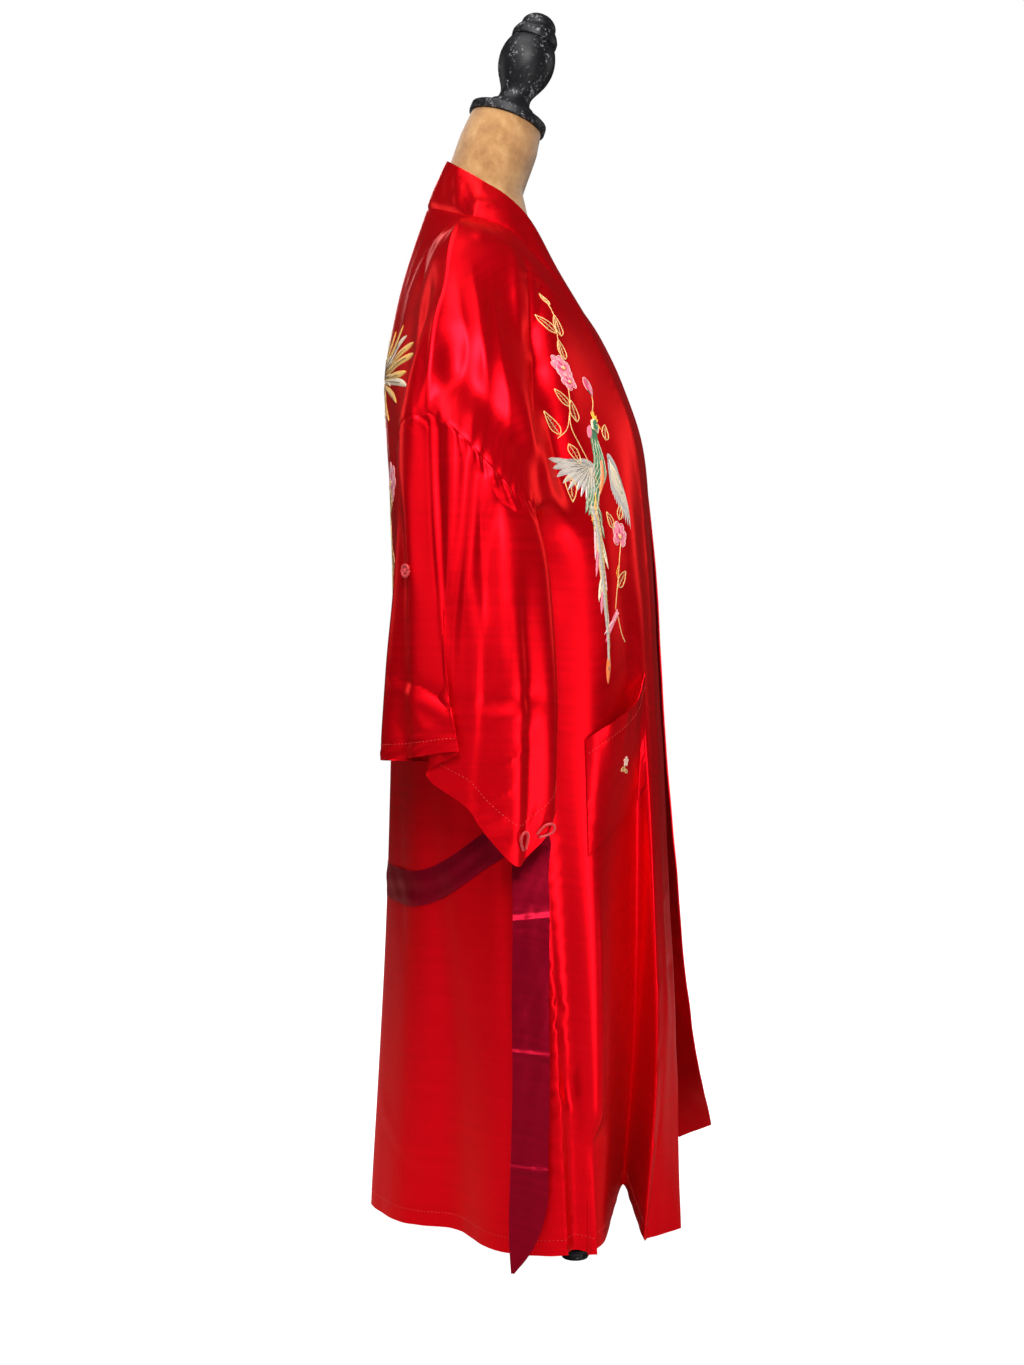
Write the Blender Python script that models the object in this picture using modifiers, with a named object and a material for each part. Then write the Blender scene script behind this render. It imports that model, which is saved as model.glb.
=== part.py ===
"""A long silk kimono hanging open on a dress form with a turned finial and a tripod stand.

Run it with: blender --background --python part.py
Metres, +Z up. The wearer's front faces -Y and the wearer's left is +X. The origin is on the floor,
under the middle of the whole object.

The cloth is a wall that follows sections: every panel is a grid of rows (down the garment) and columns
(across it). The grid runs through named stations that are given at named levels, and folds are added
from their own table. Tables hold millimetres, as (out, back, up): out is away from the middle of the
wearer, back is behind the stand's pole and up is above the floor.
"""
import math

import bmesh
import bpy
import numpy as np
from mathutils import Matrix, Vector

MM = 0.001

# ---------------------------------------------------------------- driving sizes, in metres
POLE_Y = 0.0425          # the stand's pole, behind the middle of the footprint
CLOTH = 0.0016           # thickness of a single panel's wall
SEAM_GAP = 0.0003        # between two sewn pieces
MITRE_LIMIT = 0.6        # how sharp a seam's angle may be before its mitre is blunted
FOLD_ANGLE = 0.35        # cosine between two sewn walls where one starts to count as folded back
FOLD_RANGE = 0.6         # over this much of the cosine the mitre gives way to a plain edge
FOLDED_OFF = 0.0024      # how far a folded-back edge is moved off the wall it is sewn to
ROWS = 24                # rows from the shoulder line to the hem
UNDERARM_ROW = 12        # the row where the armhole ends and the side seam starts
FRONT_COLUMNS = 14       # columns of a front, and of each shoulder of the back
NECK_COLUMNS = 4         # columns from the middle of the back neck to the neck point
BAND_COLUMNS = 3

BELT_WIDTH = 0.044
BELT_THICK = 0.002
BELT_OFF = 0.0026        # from the back's middle surface to the belt's

NECK_LEAN = math.radians(18.5)   # the neck and finial lean towards the front
NECK_TOP = (0.0184, 1.4542)      # back and up of the neck's top face, from the pole
FINIAL_SEGMENTS = 22

POLE_RADIUS = 0.0125
FIRST_LEG = math.radians(204)    # one leg points to the wearer's right, a little forward
TORSO_BOTTOM = 0.602
CLEAR = 0.0003                   # between hard pieces that touch

# ---------------------------------------------------------------- the body's sections
STATIONS = ("band_seam", "chest", "side_front", "front_edge",
            "back_edge", "flank", "blade", "neck", "centre")
# Each level's stations in that order: the front's four on the first line and the back's five on the second.
BODY = {
    "shoulder": ((105, 60, 1301), (172, 80, 1267), (226, 99, 1160), (250, 109, 1026),
                 (250, 109, 1026), (226, 99, 1160), (172, 80, 1267), (105, 60, 1301), (0, 124, 1339)),
    "cap_high": ((98, 18, 1288), (165, 35, 1252), (226, 62, 1145), (261, 85, 1014),
                 (243, 128, 1024), (220, 119, 1140), (166, 105, 1238), (100, 100, 1280), (0, 141, 1290)),
    "cap_mid": ((90, -19, 1256), (155, -5, 1218), (222, 24, 1108), (262, 48, 978),
                (228, 142, 1016), (212, 133, 1100), (163, 122, 1185), (97, 132, 1230), (0, 160, 1225)),
    "cap_low": ((90, -58, 1208), (148, -45, 1162), (214, -14, 1058), (256, 12, 940),
                (208, 142, 990), (200, 137, 1050), (160, 132, 1115), (96, 152, 1150), (0, 176, 1140)),
    "arm_low": ((92, -100, 1130), (140, -86, 1058), (200, -50, 958), (232, -18, 912),
                (188, 112, 935), (187, 130, 956), (158, 137, 1014), (95, 160, 1060), (0, 179, 1060)),
    "underarm": ((92, -140, 1030), (136, -122, 950), (182, -72, 888), (180, 30, 875),
                 (180, 30, 875), (172, 100, 884), (150, 128, 908), (94, 158, 945), (0, 172, 955)),
    "waist": ((90, -160, 880), (134, -138, 815), (174, -84, 772), (181, 14, 760),
              (181, 14, 760), (168, 76, 770), (146, 118, 790), (93, 150, 815), (0, 168, 825)),
    "hip": ((88, -170, 690), (136, -142, 655), (172, -88, 628), (187, -12, 600),
            (187, -12, 600), (170, 56, 622), (143, 110, 635), (92, 146, 645), (0, 171, 645)),
    "thigh": ((92, -178, 470), (140, -142, 452), (178, -90, 442), (195, -32, 430),
              (195, -32, 430), (170, 44, 436), (138, 104, 440), (88, 146, 445), (0, 176, 445)),
    "knee": ((102, -182, 235), (150, -135, 233), (188, -92, 232), (205, -47, 230),
             (205, -47, 230), (172, 30, 231), (130, 96, 232), (80, 148, 232), (0, 186, 232)),
    "hem": ((135, -155, 17), (168, -118, 17), (197, -90, 17), (213, -60, 17),
            (213, -60, 17), (172, 20, 17), (122, 92, 17), (72, 150, 17), (0, 198, 17)),
}
# The left front swings forward and out below the hip, so these stations differ on the left.
LEFT_FRONT = {
    "thigh": {"band_seam": (100, -187, 470), "chest": (147, -146, 452)},
    "knee": {"band_seam": (158, -204, 238), "chest": (190, -152, 233), "side_front": (204, -98, 232),
             "front_edge": (209, -47, 230), "back_edge": (209, -47, 230)},
    "hem": {"band_seam": (246, -238, 34), "chest": (252, -178, 20), "side_front": (243, -118, 17),
            "front_edge": (226, -58, 17), "back_edge": (226, -58, 17), "flank": (180, 22, 17)},
}
# The collar band's free edge, opposite each level's band seam, and at the middle of the back neck.
BAND_EDGE = {
    "centre": (0, 97, 1402), "neck_mid": (38, 88, 1389),
    "shoulder": (68, 50, 1358), "cap_high": (66, 16, 1338), "cap_mid": (55, -14, 1308),
    "cap_low": (42, -47, 1250), "arm_low": (30, -106, 1160), "underarm": (26, -155, 1042),
    "waist": (25, -172, 885), "hip": (26, -183, 692), "thigh": (32, -193, 471),
    "knee": (46, -203, 235), "hem": (99, -203, 17),
}
LEFT_BAND_EDGE = {
    "underarm": (26, -157, 1042), "waist": (26, -181, 885), "hip": (28, -192, 692),
    "thigh": (42, -211, 471), "knee": (100, -239, 240), "hem": (207, -281, 62),
}

# ---------------------------------------------------------------- the body's folds
# around: 0 is the middle of the back, 1 the side seam or armhole and 2 the band seam.
# A fold runs from its high end to its low end; depth is outward, so a trough's is negative.
# aim is the way it pushes in plan (0 is straight out to the side, 90 is to the back), tilt is upward.
FOLD_COLUMNS = ("around_high", "around_low", "high", "low", "half_width",
                "depth_high", "depth_low", "aim", "tilt")
RIGHT_FOLDS = {
    "front_pleat": (1.64, 1.64, 880, 17, 0.150, 0, -128, 8, 0),
    "front_roll": (1.36, 1.36, 800, 17, 0.110, 0, 12, -10, 0),
    "edge_roll": (1.86, 1.84, 760, 17, 0.120, 0, 18, -40, 0),
    "hip_hollow": (1.10, 1.08, 780, 17, 0.110, 0, -16, -5, 0),
    "flank_roll": (0.84, 0.76, 760, 17, 0.120, 0, 12, 20, 0),
    "back_hollow": (0.60, 0.52, 880, 17, 0.120, 0, -13, 45, 0),
    "back_roll": (0.34, 0.26, 760, 17, 0.110, 0, 7, 60, 0),
    "cap_crease": (0.62, 0.80, 1262, 900, 0.085, -5, -24, 55, 0),
    "cap_roll": (0.80, 0.93, 1230, 960, 0.100, 3, 8, 20, 10),
    "shoulder_fold": (1.24, 1.14, 1290, 1000, 0.075, -5, -12, -10, 15),
    "chest_fold": (1.56, 1.34, 1262, 950, 0.085, -8, -24, -25, 5),
}
LEFT_FOLDS = {
    "front_pleat": (1.58, 1.56, 860, 17, 0.160, 0, -98, -20, 0),
    "front_roll": (1.30, 1.30, 780, 17, 0.120, 0, 20, -15, 0),
    "edge_roll": (1.86, 1.86, 700, 17, 0.110, 0, 12, -50, 0),
    "hip_hollow": (1.06, 1.04, 800, 17, 0.110, 0, -22, -5, 0),
    "flank_roll": (0.84, 0.78, 740, 17, 0.120, 0, 20, 25, 0),
    "back_hollow": (0.60, 0.54, 860, 17, 0.120, 0, -26, 40, 0),
    "back_roll": (0.36, 0.32, 780, 17, 0.110, 0, 14, 60, 0),
    "cap_crease": (0.64, 0.80, 1262, 900, 0.085, -4, -20, 55, 0),
    "cap_roll": (0.82, 0.93, 1230, 960, 0.100, 3, 9, 20, 10),
    "shoulder_fold": (1.30, 1.20, 1290, 1000, 0.085, -3, -10, -10, 15),
    "chest_fold": (1.60, 1.40, 1260, 960, 0.100, -4, -14, -30, 5),
}
HEM_LIFT = 0.30          # a trough lifts the hem by this share of its depth
LIFT_REACH = 0.30        # metres of skirt, above the hem, that the lift fades over
FOLD_START = 0.10        # metres over which a fold deepens from its high end
FOLD_STOP = 0.14         # and over which it fades, where it ends above the hem
FOLD_PAST = 0.07         # metres below its low end where the fade is done
FOLD_TO_HEM = 100        # millimetres: a fold whose low end is below this runs out through the hem

# ---------------------------------------------------------------- the sleeve's rings
# Place of each station round the sleeve, from the top fold over the front to the underarm and the back.
SLEEVE_STATIONS = {"ridge": 0.0, "tuck": 0.055, "outer_mid": 0.13, "outer_front": 0.23, "front_fold": 0.33,
                   "inner_front": 0.42, "underarm": 0.50, "inner_back": 0.63, "back_fold": 0.80,
                   "back_outer": 0.91}
# {share of the sleeve's length: the places of those stations}
SLEEVE_RINGS = {
    0.40: ((262, 98, 848), (267, 82, 848), (270, 52, 843), (263, 8, 836), (240, -33, 832), (207, -25, 828),
           (192, 20, 825), (190, 95, 828), (206, 152, 838), (245, 136, 846)),
    0.74: ((268, 84, 696), (259, 95, 695), (268, 50, 690), (266, -2, 684), (240, -42, 678), (209, -29, 680),
           (197, 20, 685), (192, 95, 688), (210, 163, 692), (250, 131, 694)),
    1.00: ((272, 73, 627), (247, 111, 603), (258, 62, 562), (254, 2, 494), (235, -40, 550), (208, -26, 598),
           (198, 20, 610), (192, 95, 614), (211, 168, 617), (249, 129, 622)),
}
SLEEVE_DOWN = (0, 0.05, 0.13, 0.23, 0.34, 0.46, 0.58, 0.70, 0.80, 0.90, 1.0)
SLEEVE_FIT = 0.35        # share of the length over which the rings take up the armhole's own shape
# At the underarm the sleeve first leaves the body outwards and then hangs: how far, in millimetres, where
# round it and over what shares of its length.
GUSSET = {"out": 11, "around": 0.56, "half_width": 0.13, "quick": 0.04, "gone": 0.5}
SLEEVE_FOLD_COLUMNS = ("around", "half_width", "top_share", "depth_high", "depth_low")
SLEEVE_FOLDS = {
    "outer_groove": (0.155, 0.030, 0.05, -9, -6),
    "front_groove": (0.265, 0.026, 0.30, -4, -10),
    "back_groove": (0.875, 0.030, 0.10, -6, -9),
    "inner_groove": (0.570, 0.050, 0.20, -3, -5),
}

# ---------------------------------------------------------------- what is sewn on
# A pocket's columns on the front, and the heights of its slanted top and bottom in millimetres.
POCKET = {"column_in": 3, "column_out": 10, "top_in": 724, "top_out": 640, "low_in": 582, "low_out": 498}
POCKET_ROWS = 7
POCKET_GAPE = 0.016      # how far the middle of its top edge stands open
POCKET_OFF = 0.0030      # from the front's middle surface to the pocket's
# The belt behind the back: (place round, 0 at the middle and 1 at the side seam, height in millimetres).
BELT_ROUTE = ((0.00, 452), (0.22, 450), (0.42, 452), (0.60, 472), (0.80, 508), (1.00, 545))
BELT_END = 2             # the back stretch stops, under its loop, this many columns short of the side seam
BELT_JOIN = 0.0008       # between the back stretch and a tail, whose ends aren't quite parallel
BELT_RUN = 0.005         # a tail runs straight on this far, past its loop
BELT_TURN = 23           # then it turns down round this radius, in millimetres
BELT_TURN_OUT = 12       # and swings out this far on the way, in millimetres
BELT_ROWS = 20           # rows along the hanging part of a tail
BELT_ACROSS = (0.5, 1 / 6, -1 / 6, -0.5)
BELT_TAIL_COLUMNS = ("out", "back", "up", "width")
BELT_TAIL = (
    (214, -11, 480, 44), (223, -12, 450, 44), (229, -12, 410, 44), (231, -11, 330, 44), (233, -12, 240, 44),
    (231, -10, 150, 44), (232, -8, 84, 44), (232, -3, 50, 34), (232, 3, 27, 20), (232, 10, 9, 3),
)
LEFT_TAIL_OUT = 8        # the left tail hangs this much further out, clear of the wider skirt
# A belt loop reaches above and below the belt, lies on the back at its ends and stands off over the belt.
BELT_LOOP = {"above": 14, "below": 20, "rest_off": 1.9, "stand_off": 6.6, "width": 7, "thick": 1.2}
BELT_LOOP_ROWS = 9
BELT_LOOP_RISE = 2.6     # how steeply it rises from its ends

LOOP_CORD = 0.0032       # the cord of the sleeve loops
CUFF_LOOP_UP = 0.22      # their place above the cuff, as a share of the sleeve's last row of cells
CUFF_LOOP_ENDS = 3.9     # millimetres between a loop's two ends
CUFF_LOOP_OUT = 0.25     # how far a loop leans away from the sleeve, as a share of its reach
CUFF_LOOP_COLUMNS = ("column", "reach", "width", "lean")
CUFF_LOOPS = ((6.0, 24, 9, 62), (6.75, 22, 9, -6))    # reach and width in millimetres, lean in degrees

BUTTON_RADIUS = 0.0085
BUTTON_OFF = 0.0006      # clear of the sleeve, which curves a little under the button
BUTTON_ROW = 4           # its row down the sleeve
BUTTON_BEHIND = 2        # columns behind the top fold
# (radius, height) as shares of the button's radius: a rolled rim round a sunk middle
BUTTON_PROFILE = ((0.0, 0.0), (0.60, 0.0), (0.92, 0.12), (1.0, 0.28), (0.92, 0.44), (0.74, 0.46),
                  (0.60, 0.34), (0.0, 0.30))

# ---------------------------------------------------------------- the dress form and its stand
TORSO_SEGMENTS = 28
TORSO_COLUMNS = ("up", "half_width", "front", "back", "square")
# From the flat underside to the shoulders, in millimetres; square is the section's exponent.
TORSO = (
    (602, 128, -66, 92, 2.2), (604, 140, -78, 102, 2.2), (612, 152, -90, 114, 2.2),
    (640, 160, -100, 124, 2.2), (690, 163, -104, 128, 2.2), (750, 156, -98, 122, 2.2),
    (820, 140, -84, 110, 2.2), (885, 132, -76, 104, 2.2), (950, 144, -88, 110, 2.2),
    (1015, 160, -104, 122, 2.2), (1070, 168, -106, 132, 2.3), (1130, 172, -86, 142, 2.4),
    (1180, 176, -56, 140, 2.4), (1218, 178, -26, 132, 2.4), (1244, 172, -6, 126, 2.4),
    (1262, 152, -8, 124, 2.3), (1276, 124, -10, 121, 2.2), (1290, 98, -12, 120, 2.1),
    (1306, 78, -12, 114, 2.0), (1328, 66, -11, 108, 2.0),
)
NECK = ((0.0, 48.5), (30.0, 52.5), (62.0, 53.8), (100.0, 55.5))    # (distance down from its top, radius)
NECK_BOW = 1.05          # the neck bows back a little below its top
# The cap on the neck and the finial on it, in millimetres as (radius, height over its own underside).
CAP_PROFILE = ((0, 0), (51, 0), (52.5, 1.5), (52.5, 9), (50, 12.5), (44, 14.5), (38, 16.5), (34, 19.5),
               (30, 24), (0, 24))
FINIAL_PROFILE = (
    (0, 0), (27, 0), (22, 7), (21, 13), (22.5, 20), (29, 31), (35, 43), (38, 58), (37, 71), (33.5, 82),
    (29, 89.5), (31, 92), (31, 98), (28, 104), (23.3, 110), (23.6, 114), (20.5, 120), (13, 126), (0, 128.5),
)
# The hub and a foot in millimetres as (radius, height over the floor), and a leg as (distance out, height).
HUB_PROFILE = ((0, 70), (20, 70), (30, 78), (34, 92), (34, 132), (28, 142), (19, 150), (22, 160), (26, 176),
               (22, 194), (17, 205), (0, 205))
FOOT_PROFILE = ((0, 0), (16, 0), (20, 7), (20, 13), (12.4, 18), (0, 18))
LEG_ROUTE = ((34.5, 112), (50, 112), (80, 112), (115, 94), (145, 66), (160, 46), (165, 32), (165, 18.3))
LEG_RADIUS = 0.0095
LEG_POINTS = 15


# ================================================================ curves through given values
def through(knots, values, at):
    """Values on a smooth curve through values at knots, one row for each place in at."""
    knots = np.asarray(knots, float)
    values = np.asarray(values, float)
    steps = np.diff(knots)
    slopes = np.diff(values, axis=0) / steps[:, None]
    inner = slopes[:-1] * steps[1:, None] + slopes[1:] * steps[:-1, None]
    inner /= (steps[1:] + steps[:-1])[:, None]
    tangents = np.concatenate([slopes[:1], inner, slopes[-1:]])
    at = np.clip(np.asarray(at, float), knots[0], knots[-1])
    left = np.clip(np.searchsorted(knots, at, side="right") - 1, 0, len(steps) - 1)
    share = ((at - knots[left]) / steps[left])[:, None]
    square, cube = share ** 2, share ** 3
    return ((2 * cube - 3 * square + 1) * values[left]
            + (cube - 2 * square + share) * steps[left][:, None] * tangents[left]
            + (3 * square - 2 * cube) * values[left + 1]
            + (cube - square) * steps[left][:, None] * tangents[left + 1])


def eased(share):
    share = np.clip(share, 0.0, 1.0)
    return share * share * (3 - 2 * share)


def to_metres(point, side):
    """A table's (out, back, up) as a place; side is -1 on the wearer's right and +1 on the left."""
    out, back, up = point
    return np.array([side * out * MM, POLE_Y + back * MM, up * MM])


# ================================================================ the body's surface
def level_table(side):
    """{station: its places at each level} for one side of the body."""
    table = {name: [] for name in STATIONS}
    for level, row in BODY.items():
        changed = LEFT_FRONT.get(level, {}) if side > 0 else {}
        for name, point in zip(STATIONS, row):
            table[name].append(to_metres(changed.get(name, point), side))
    return {name: np.array(points) for name, points in table.items()}


def level_knots():
    """How far down the garment each level is, from 0 at the shoulder line to 1 at the hem."""
    right = level_table(-1)
    lengths = [np.linalg.norm(np.diff(right[name], axis=0), axis=1) for name in STATIONS]
    down = np.concatenate([[0.0], np.cumsum(np.mean(lengths, axis=0))])
    return down / down[-1]


LEVELS = level_knots()
UNDERARM = LEVELS[list(BODY).index("underarm")]


def rows_down(count=ROWS, underarm_row=UNDERARM_ROW):
    """The place of each row down the garment; one of them is the underarm."""
    return np.concatenate([np.linspace(0, UNDERARM, underarm_row + 1),
                           np.linspace(UNDERARM, 1, count - underarm_row + 1)[1:]])


def station_curves(table, down):
    return {name: through(LEVELS, places, down) for name, places in table.items()}


def front_base(side, down, across):
    """Rows by columns of places on a front; across is 0 at the band and 1 at the armhole or side seam."""
    curves = station_curves(level_table(side), down)
    knots = (0.0, 1 / 3, 2 / 3, 1.0)
    names = ("band_seam", "chest", "side_front", "front_edge")
    return np.stack([through(knots, [curves[n][i] for n in names], across) for i in range(len(down))])


NECK_SHARE = 0.28        # the neck point's place across half of the back


def back_base(side, down, across):
    """Rows by columns of places on half of the back; across is 0 at the middle and 1 at the armhole or
    side seam. The neck's corner, at its point, is lost by half way down to the underarm."""
    curves = station_curves(level_table(side), down)
    flip = np.array([-1.0, 1.0, 1.0])
    outer_knots = [NECK_SHARE + (1 - NECK_SHARE) * share for share in (0.0, 1 / 3, 2 / 3, 1.0)]
    outer_names = ("neck", "blade", "flank", "back_edge")
    whole_knots = [-NECK_SHARE, 0.0] + outer_knots
    rows = []
    for i, place in enumerate(down):
        outer = [curves[n][i] for n in outer_names]
        middle = curves["centre"][i]
        smooth = through(whole_knots, [outer[0] * flip, middle] + outer, across)
        neck_part = through((-NECK_SHARE, 0.0, NECK_SHARE), [outer[0] * flip, middle, outer[0]], across)
        cornered = np.where((across < NECK_SHARE)[:, None], neck_part, through(outer_knots, outer, across))
        share = eased(np.array(place / (0.5 * UNDERARM)))
        rows.append(cornered + share * (smooth - cornered))
    return np.stack(rows)


def add_folds(points, around, side):
    """Moves points (rows by columns) by the side's folds; around says where each column lies."""
    moved = points.copy()
    folds = RIGHT_FOLDS if side < 0 else LEFT_FOLDS
    up = points[..., 2]
    hem_fade = eased(1 - (up - up[-1:].min()) / LIFT_REACH)
    for row in folds.values():
        fold = dict(zip(FOLD_COLUMNS, row))
        share = np.clip((fold["high"] * MM - up) / ((fold["high"] - fold["low"]) * MM), 0, 1)
        centre = fold["around_high"] + (fold["around_low"] - fold["around_high"]) * share
        fade = eased((fold["high"] * MM - up) / FOLD_START)
        if fold["low"] > FOLD_TO_HEM:
            fade = fade * eased((up - fold["low"] * MM + FOLD_PAST) / FOLD_STOP)
        depth = (fold["depth_high"] + (fold["depth_low"] - fold["depth_high"]) * share ** 1.3) * MM * fade
        profile = np.exp(-((around[None, :] - centre) / fold["half_width"]) ** 2)
        aim, tilt = math.radians(fold["aim"]), math.radians(fold["tilt"])
        level = math.cos(tilt)
        push = np.array([side * math.cos(aim) * level, math.sin(aim) * level, math.sin(tilt)])
        moved += (depth * profile)[..., None] * push
        moved[..., 2] += np.clip(-depth, 0, None) * profile * HEM_LIFT * hem_fade
    return moved


def front_points(side, down, across):
    return add_folds(front_base(side, down, across), 2.0 - across, side)


def back_points(side, down, across):
    return add_folds(back_base(side, down, across), across, side)


def back_columns():
    """Places across half of the back: the neck's columns, then one for each column of a front."""
    neck = np.linspace(0, NECK_SHARE, NECK_COLUMNS + 1)
    shoulder = NECK_SHARE + (1 - NECK_SHARE) * np.linspace(0, 1, FRONT_COLUMNS + 1)
    return np.concatenate([neck, shoulder[1:]])


# ================================================================ the sleeve and the band
def ring_places(underarm_row=UNDERARM_ROW):
    """Where each of the sleeve's columns lies, from 0 at the top fold to 1 there again."""
    return np.linspace(0, 1, 2 * underarm_row + 1)


def sleeve_points(side, armhole, around, down):
    """Rows by columns of places on a sleeve; armhole is its first row, closed round."""
    knots = list(SLEEVE_STATIONS.values())
    wrapped = [knots[-1] - 1] + knots + [1.0, 1.0 + knots[1]]
    first = [armhole[int(round(k * (len(armhole) - 1)))] for k in knots]
    rings = [np.array(first)]
    rings += [np.array([to_metres(p, side) for p in row]) for row in SLEEVE_RINGS.values()]
    shares = [0.0] + list(SLEEVE_RINGS)
    by_station = np.stack(rings, axis=1)
    lines = np.stack([through(shares, by_station[i], down) for i in range(len(knots))], axis=1)
    rows = []
    for place, line in zip(down, lines):
        closed = np.concatenate([line[-1:], line, line[:2]])
        rows.append(through(wrapped, closed, around))
    points = np.stack(rows)
    fit = armhole - points[0]
    points += fit[None] * (1 - eased(down / SLEEVE_FIT))[:, None, None]
    middle = points.mean(axis=1, keepdims=True)
    away = points - middle
    away[..., 2] = 0
    away /= np.linalg.norm(away, axis=2, keepdims=True)
    for row in SLEEVE_FOLDS.values():
        fold = dict(zip(SLEEVE_FOLD_COLUMNS, row))
        depth = (fold["depth_high"] + (fold["depth_low"] - fold["depth_high"]) * down) * MM
        depth = depth * eased((down - fold["top_share"]) / 0.3)
        profile = np.exp(-((around - fold["around"]) / fold["half_width"]) ** 2)
        points += (depth[:, None] * profile[None, :])[..., None] * away
    leave = GUSSET["out"] * MM * (1 - np.exp(-down / GUSSET["quick"])) * (1 - eased(down / GUSSET["gone"]))
    under = np.exp(-((around - GUSSET["around"]) / GUSSET["half_width"]) ** 2)
    points[..., 0] += side * leave[:, None] * under[None, :]
    return points


def band_edge_line(side, down):
    """The band's free edge beside a front, at each row."""
    changed = LEFT_BAND_EDGE if side > 0 else {}
    places = [to_metres(changed.get(level, BAND_EDGE[level]), side) for level in BODY]
    return through(LEVELS, places, down)


def band_neck_edge(side, across):
    """The band's free edge round half of the neck, from the middle of the back to the neck point."""
    places = [to_metres(BAND_EDGE[name], side) for name in ("centre", "neck_mid", "shoulder")]
    flip = np.array([-1.0, 1.0, 1.0])
    knots = (-0.5 * NECK_SHARE, 0.0, 0.5 * NECK_SHARE, NECK_SHARE)
    return through(knots, [places[1] * flip] + places, across)


# ================================================================ walls
def face_normals(points):
    """The normal of each cell of a grid, its length twice the cell's area."""
    diagonal_a = points[1:, 1:] - points[:-1, :-1]
    diagonal_b = points[1:, :-1] - points[:-1, 1:]
    return np.cross(diagonal_b, diagonal_a)


class Sewing:
    """Grids whose edges meet. Walls that go on from one another get a mitre, and where one folds back
    over the other at a sharp angle each keeps its own normal."""

    def __init__(self):
        self.grids = {}
        self.total = {}
        self.own = {}

    @staticmethod
    def key(point):
        return tuple(int(round(v * 1e5)) for v in point)

    def add(self, name, points, outward):
        """outward is +1 where the grid's cells already face out and -1 where they face in."""
        self.grids[name] = (points, outward)
        own = self.own[name] = {}
        cells = face_normals(points) * outward
        rows, columns = points.shape[:2]
        for i in range(rows - 1):
            for j in range(columns - 1):
                for a, b in ((i, j), (i + 1, j), (i, j + 1), (i + 1, j + 1)):
                    key = self.key(points[a, b])
                    own[key] = own.get(key, 0) + cells[i, j]
                    self.total[key] = self.total.get(key, 0) + cells[i, j]

    def normals_of(self, name):
        """A grid's normals, its neighbours' normals and how far it is folded back at each place, 0 to 1."""
        keys = [[self.key(p) for p in row] for row in self.grids[name][0]]
        own_sum = np.array([[self.own[name][k] for k in row] for row in keys])
        total = np.array([[self.total[k] for k in row] for row in keys])
        own, shared, others = unit(own_sum), unit(total), unit(total - own_sum)
        sewn = (np.linalg.norm(total - own_sum, axis=2) > 1e-12)
        back = eased((FOLD_ANGLE - (own * others).sum(axis=2)) / FOLD_RANGE)
        folded = np.where(sewn, back, 0.0)[..., None]
        mitre = shared / np.clip((shared * own).sum(axis=2, keepdims=True), MITRE_LIMIT, 1.0)
        return mitre * (1 - folded) + own * folded, others, folded


def unit(vectors):
    return vectors / np.maximum(np.linalg.norm(vectors, axis=-1, keepdims=True), 1e-12)


def inset(points, sides, gap):
    """Draws the named sides of a grid in by gap, along the cloth."""
    moved = points.copy()
    if "top" in sides:
        moved[0] += gap * unit(points[1] - points[0])
    if "low" in sides:
        moved[-1] += gap * unit(points[-2] - points[-1])
    if "first" in sides:
        moved[:, 0] += gap * unit(points[:, 1] - points[:, 0])
    if "last" in sides:
        moved[:, -1] += gap * unit(points[:, -2] - points[:, -1])
    return moved


def wall(name, points, normals, thickness, outward, collection, material, closed=False):
    """A closed solid of that thickness round a grid of places; a closed grid's last column is its first."""
    rows, columns = points.shape[:2]
    used = columns - 1 if closed else columns
    outer = points + 0.5 * thickness * normals
    inner = points - 0.5 * thickness * normals
    mesh_work = bmesh.new()
    grids = []
    for layer in (outer, inner):
        grids.append([[mesh_work.verts.new(layer[i, j]) for j in range(used)] for i in range(rows)])

    def face(corners, turned):
        mesh_work.faces.new(corners[::-1] if turned else corners)

    turn = outward < 0
    for i in range(rows - 1):
        for j in range(columns - 1):
            k = (j + 1) % used
            for layer, turned in ((grids[0], turn), (grids[1], not turn)):
                face([layer[i][j], layer[i + 1][j], layer[i + 1][k], layer[i][k]], turned)
    for i in (0, rows - 1):
        for j in range(columns - 1):
            k = (j + 1) % used
            rim = [grids[0][i][j], grids[0][i][k], grids[1][i][k], grids[1][i][j]]
            face(rim, turn if i == 0 else not turn)
    if not closed:
        for j in (0, columns - 1):
            for i in range(rows - 1):
                rim = [grids[0][i][j], grids[1][i][j], grids[1][i + 1][j], grids[0][i + 1][j]]
                face(rim, turn if j == 0 else not turn)
    mesh = bpy.data.meshes.new(name)
    mesh_work.to_mesh(mesh)
    mesh_work.free()
    return smooth_object(name, mesh, collection, material)


def smooth_object(name, mesh, collection, material):
    mesh.shade_smooth()
    mesh.materials.append(material)
    obj = bpy.data.objects.new(name, mesh)
    collection.objects.link(obj)
    return obj


def surface_material(name, colour, roughness, metallic=0.0):
    material = bpy.data.materials.new(name)
    material.use_nodes = True
    shader = material.node_tree.nodes["Principled BSDF"]
    shader.inputs["Base Color"].default_value = (*colour, 1)
    shader.inputs["Roughness"].default_value = roughness
    shader.inputs["Metallic"].default_value = metallic
    material.diffuse_color = (*colour, 1)
    return material


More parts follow.
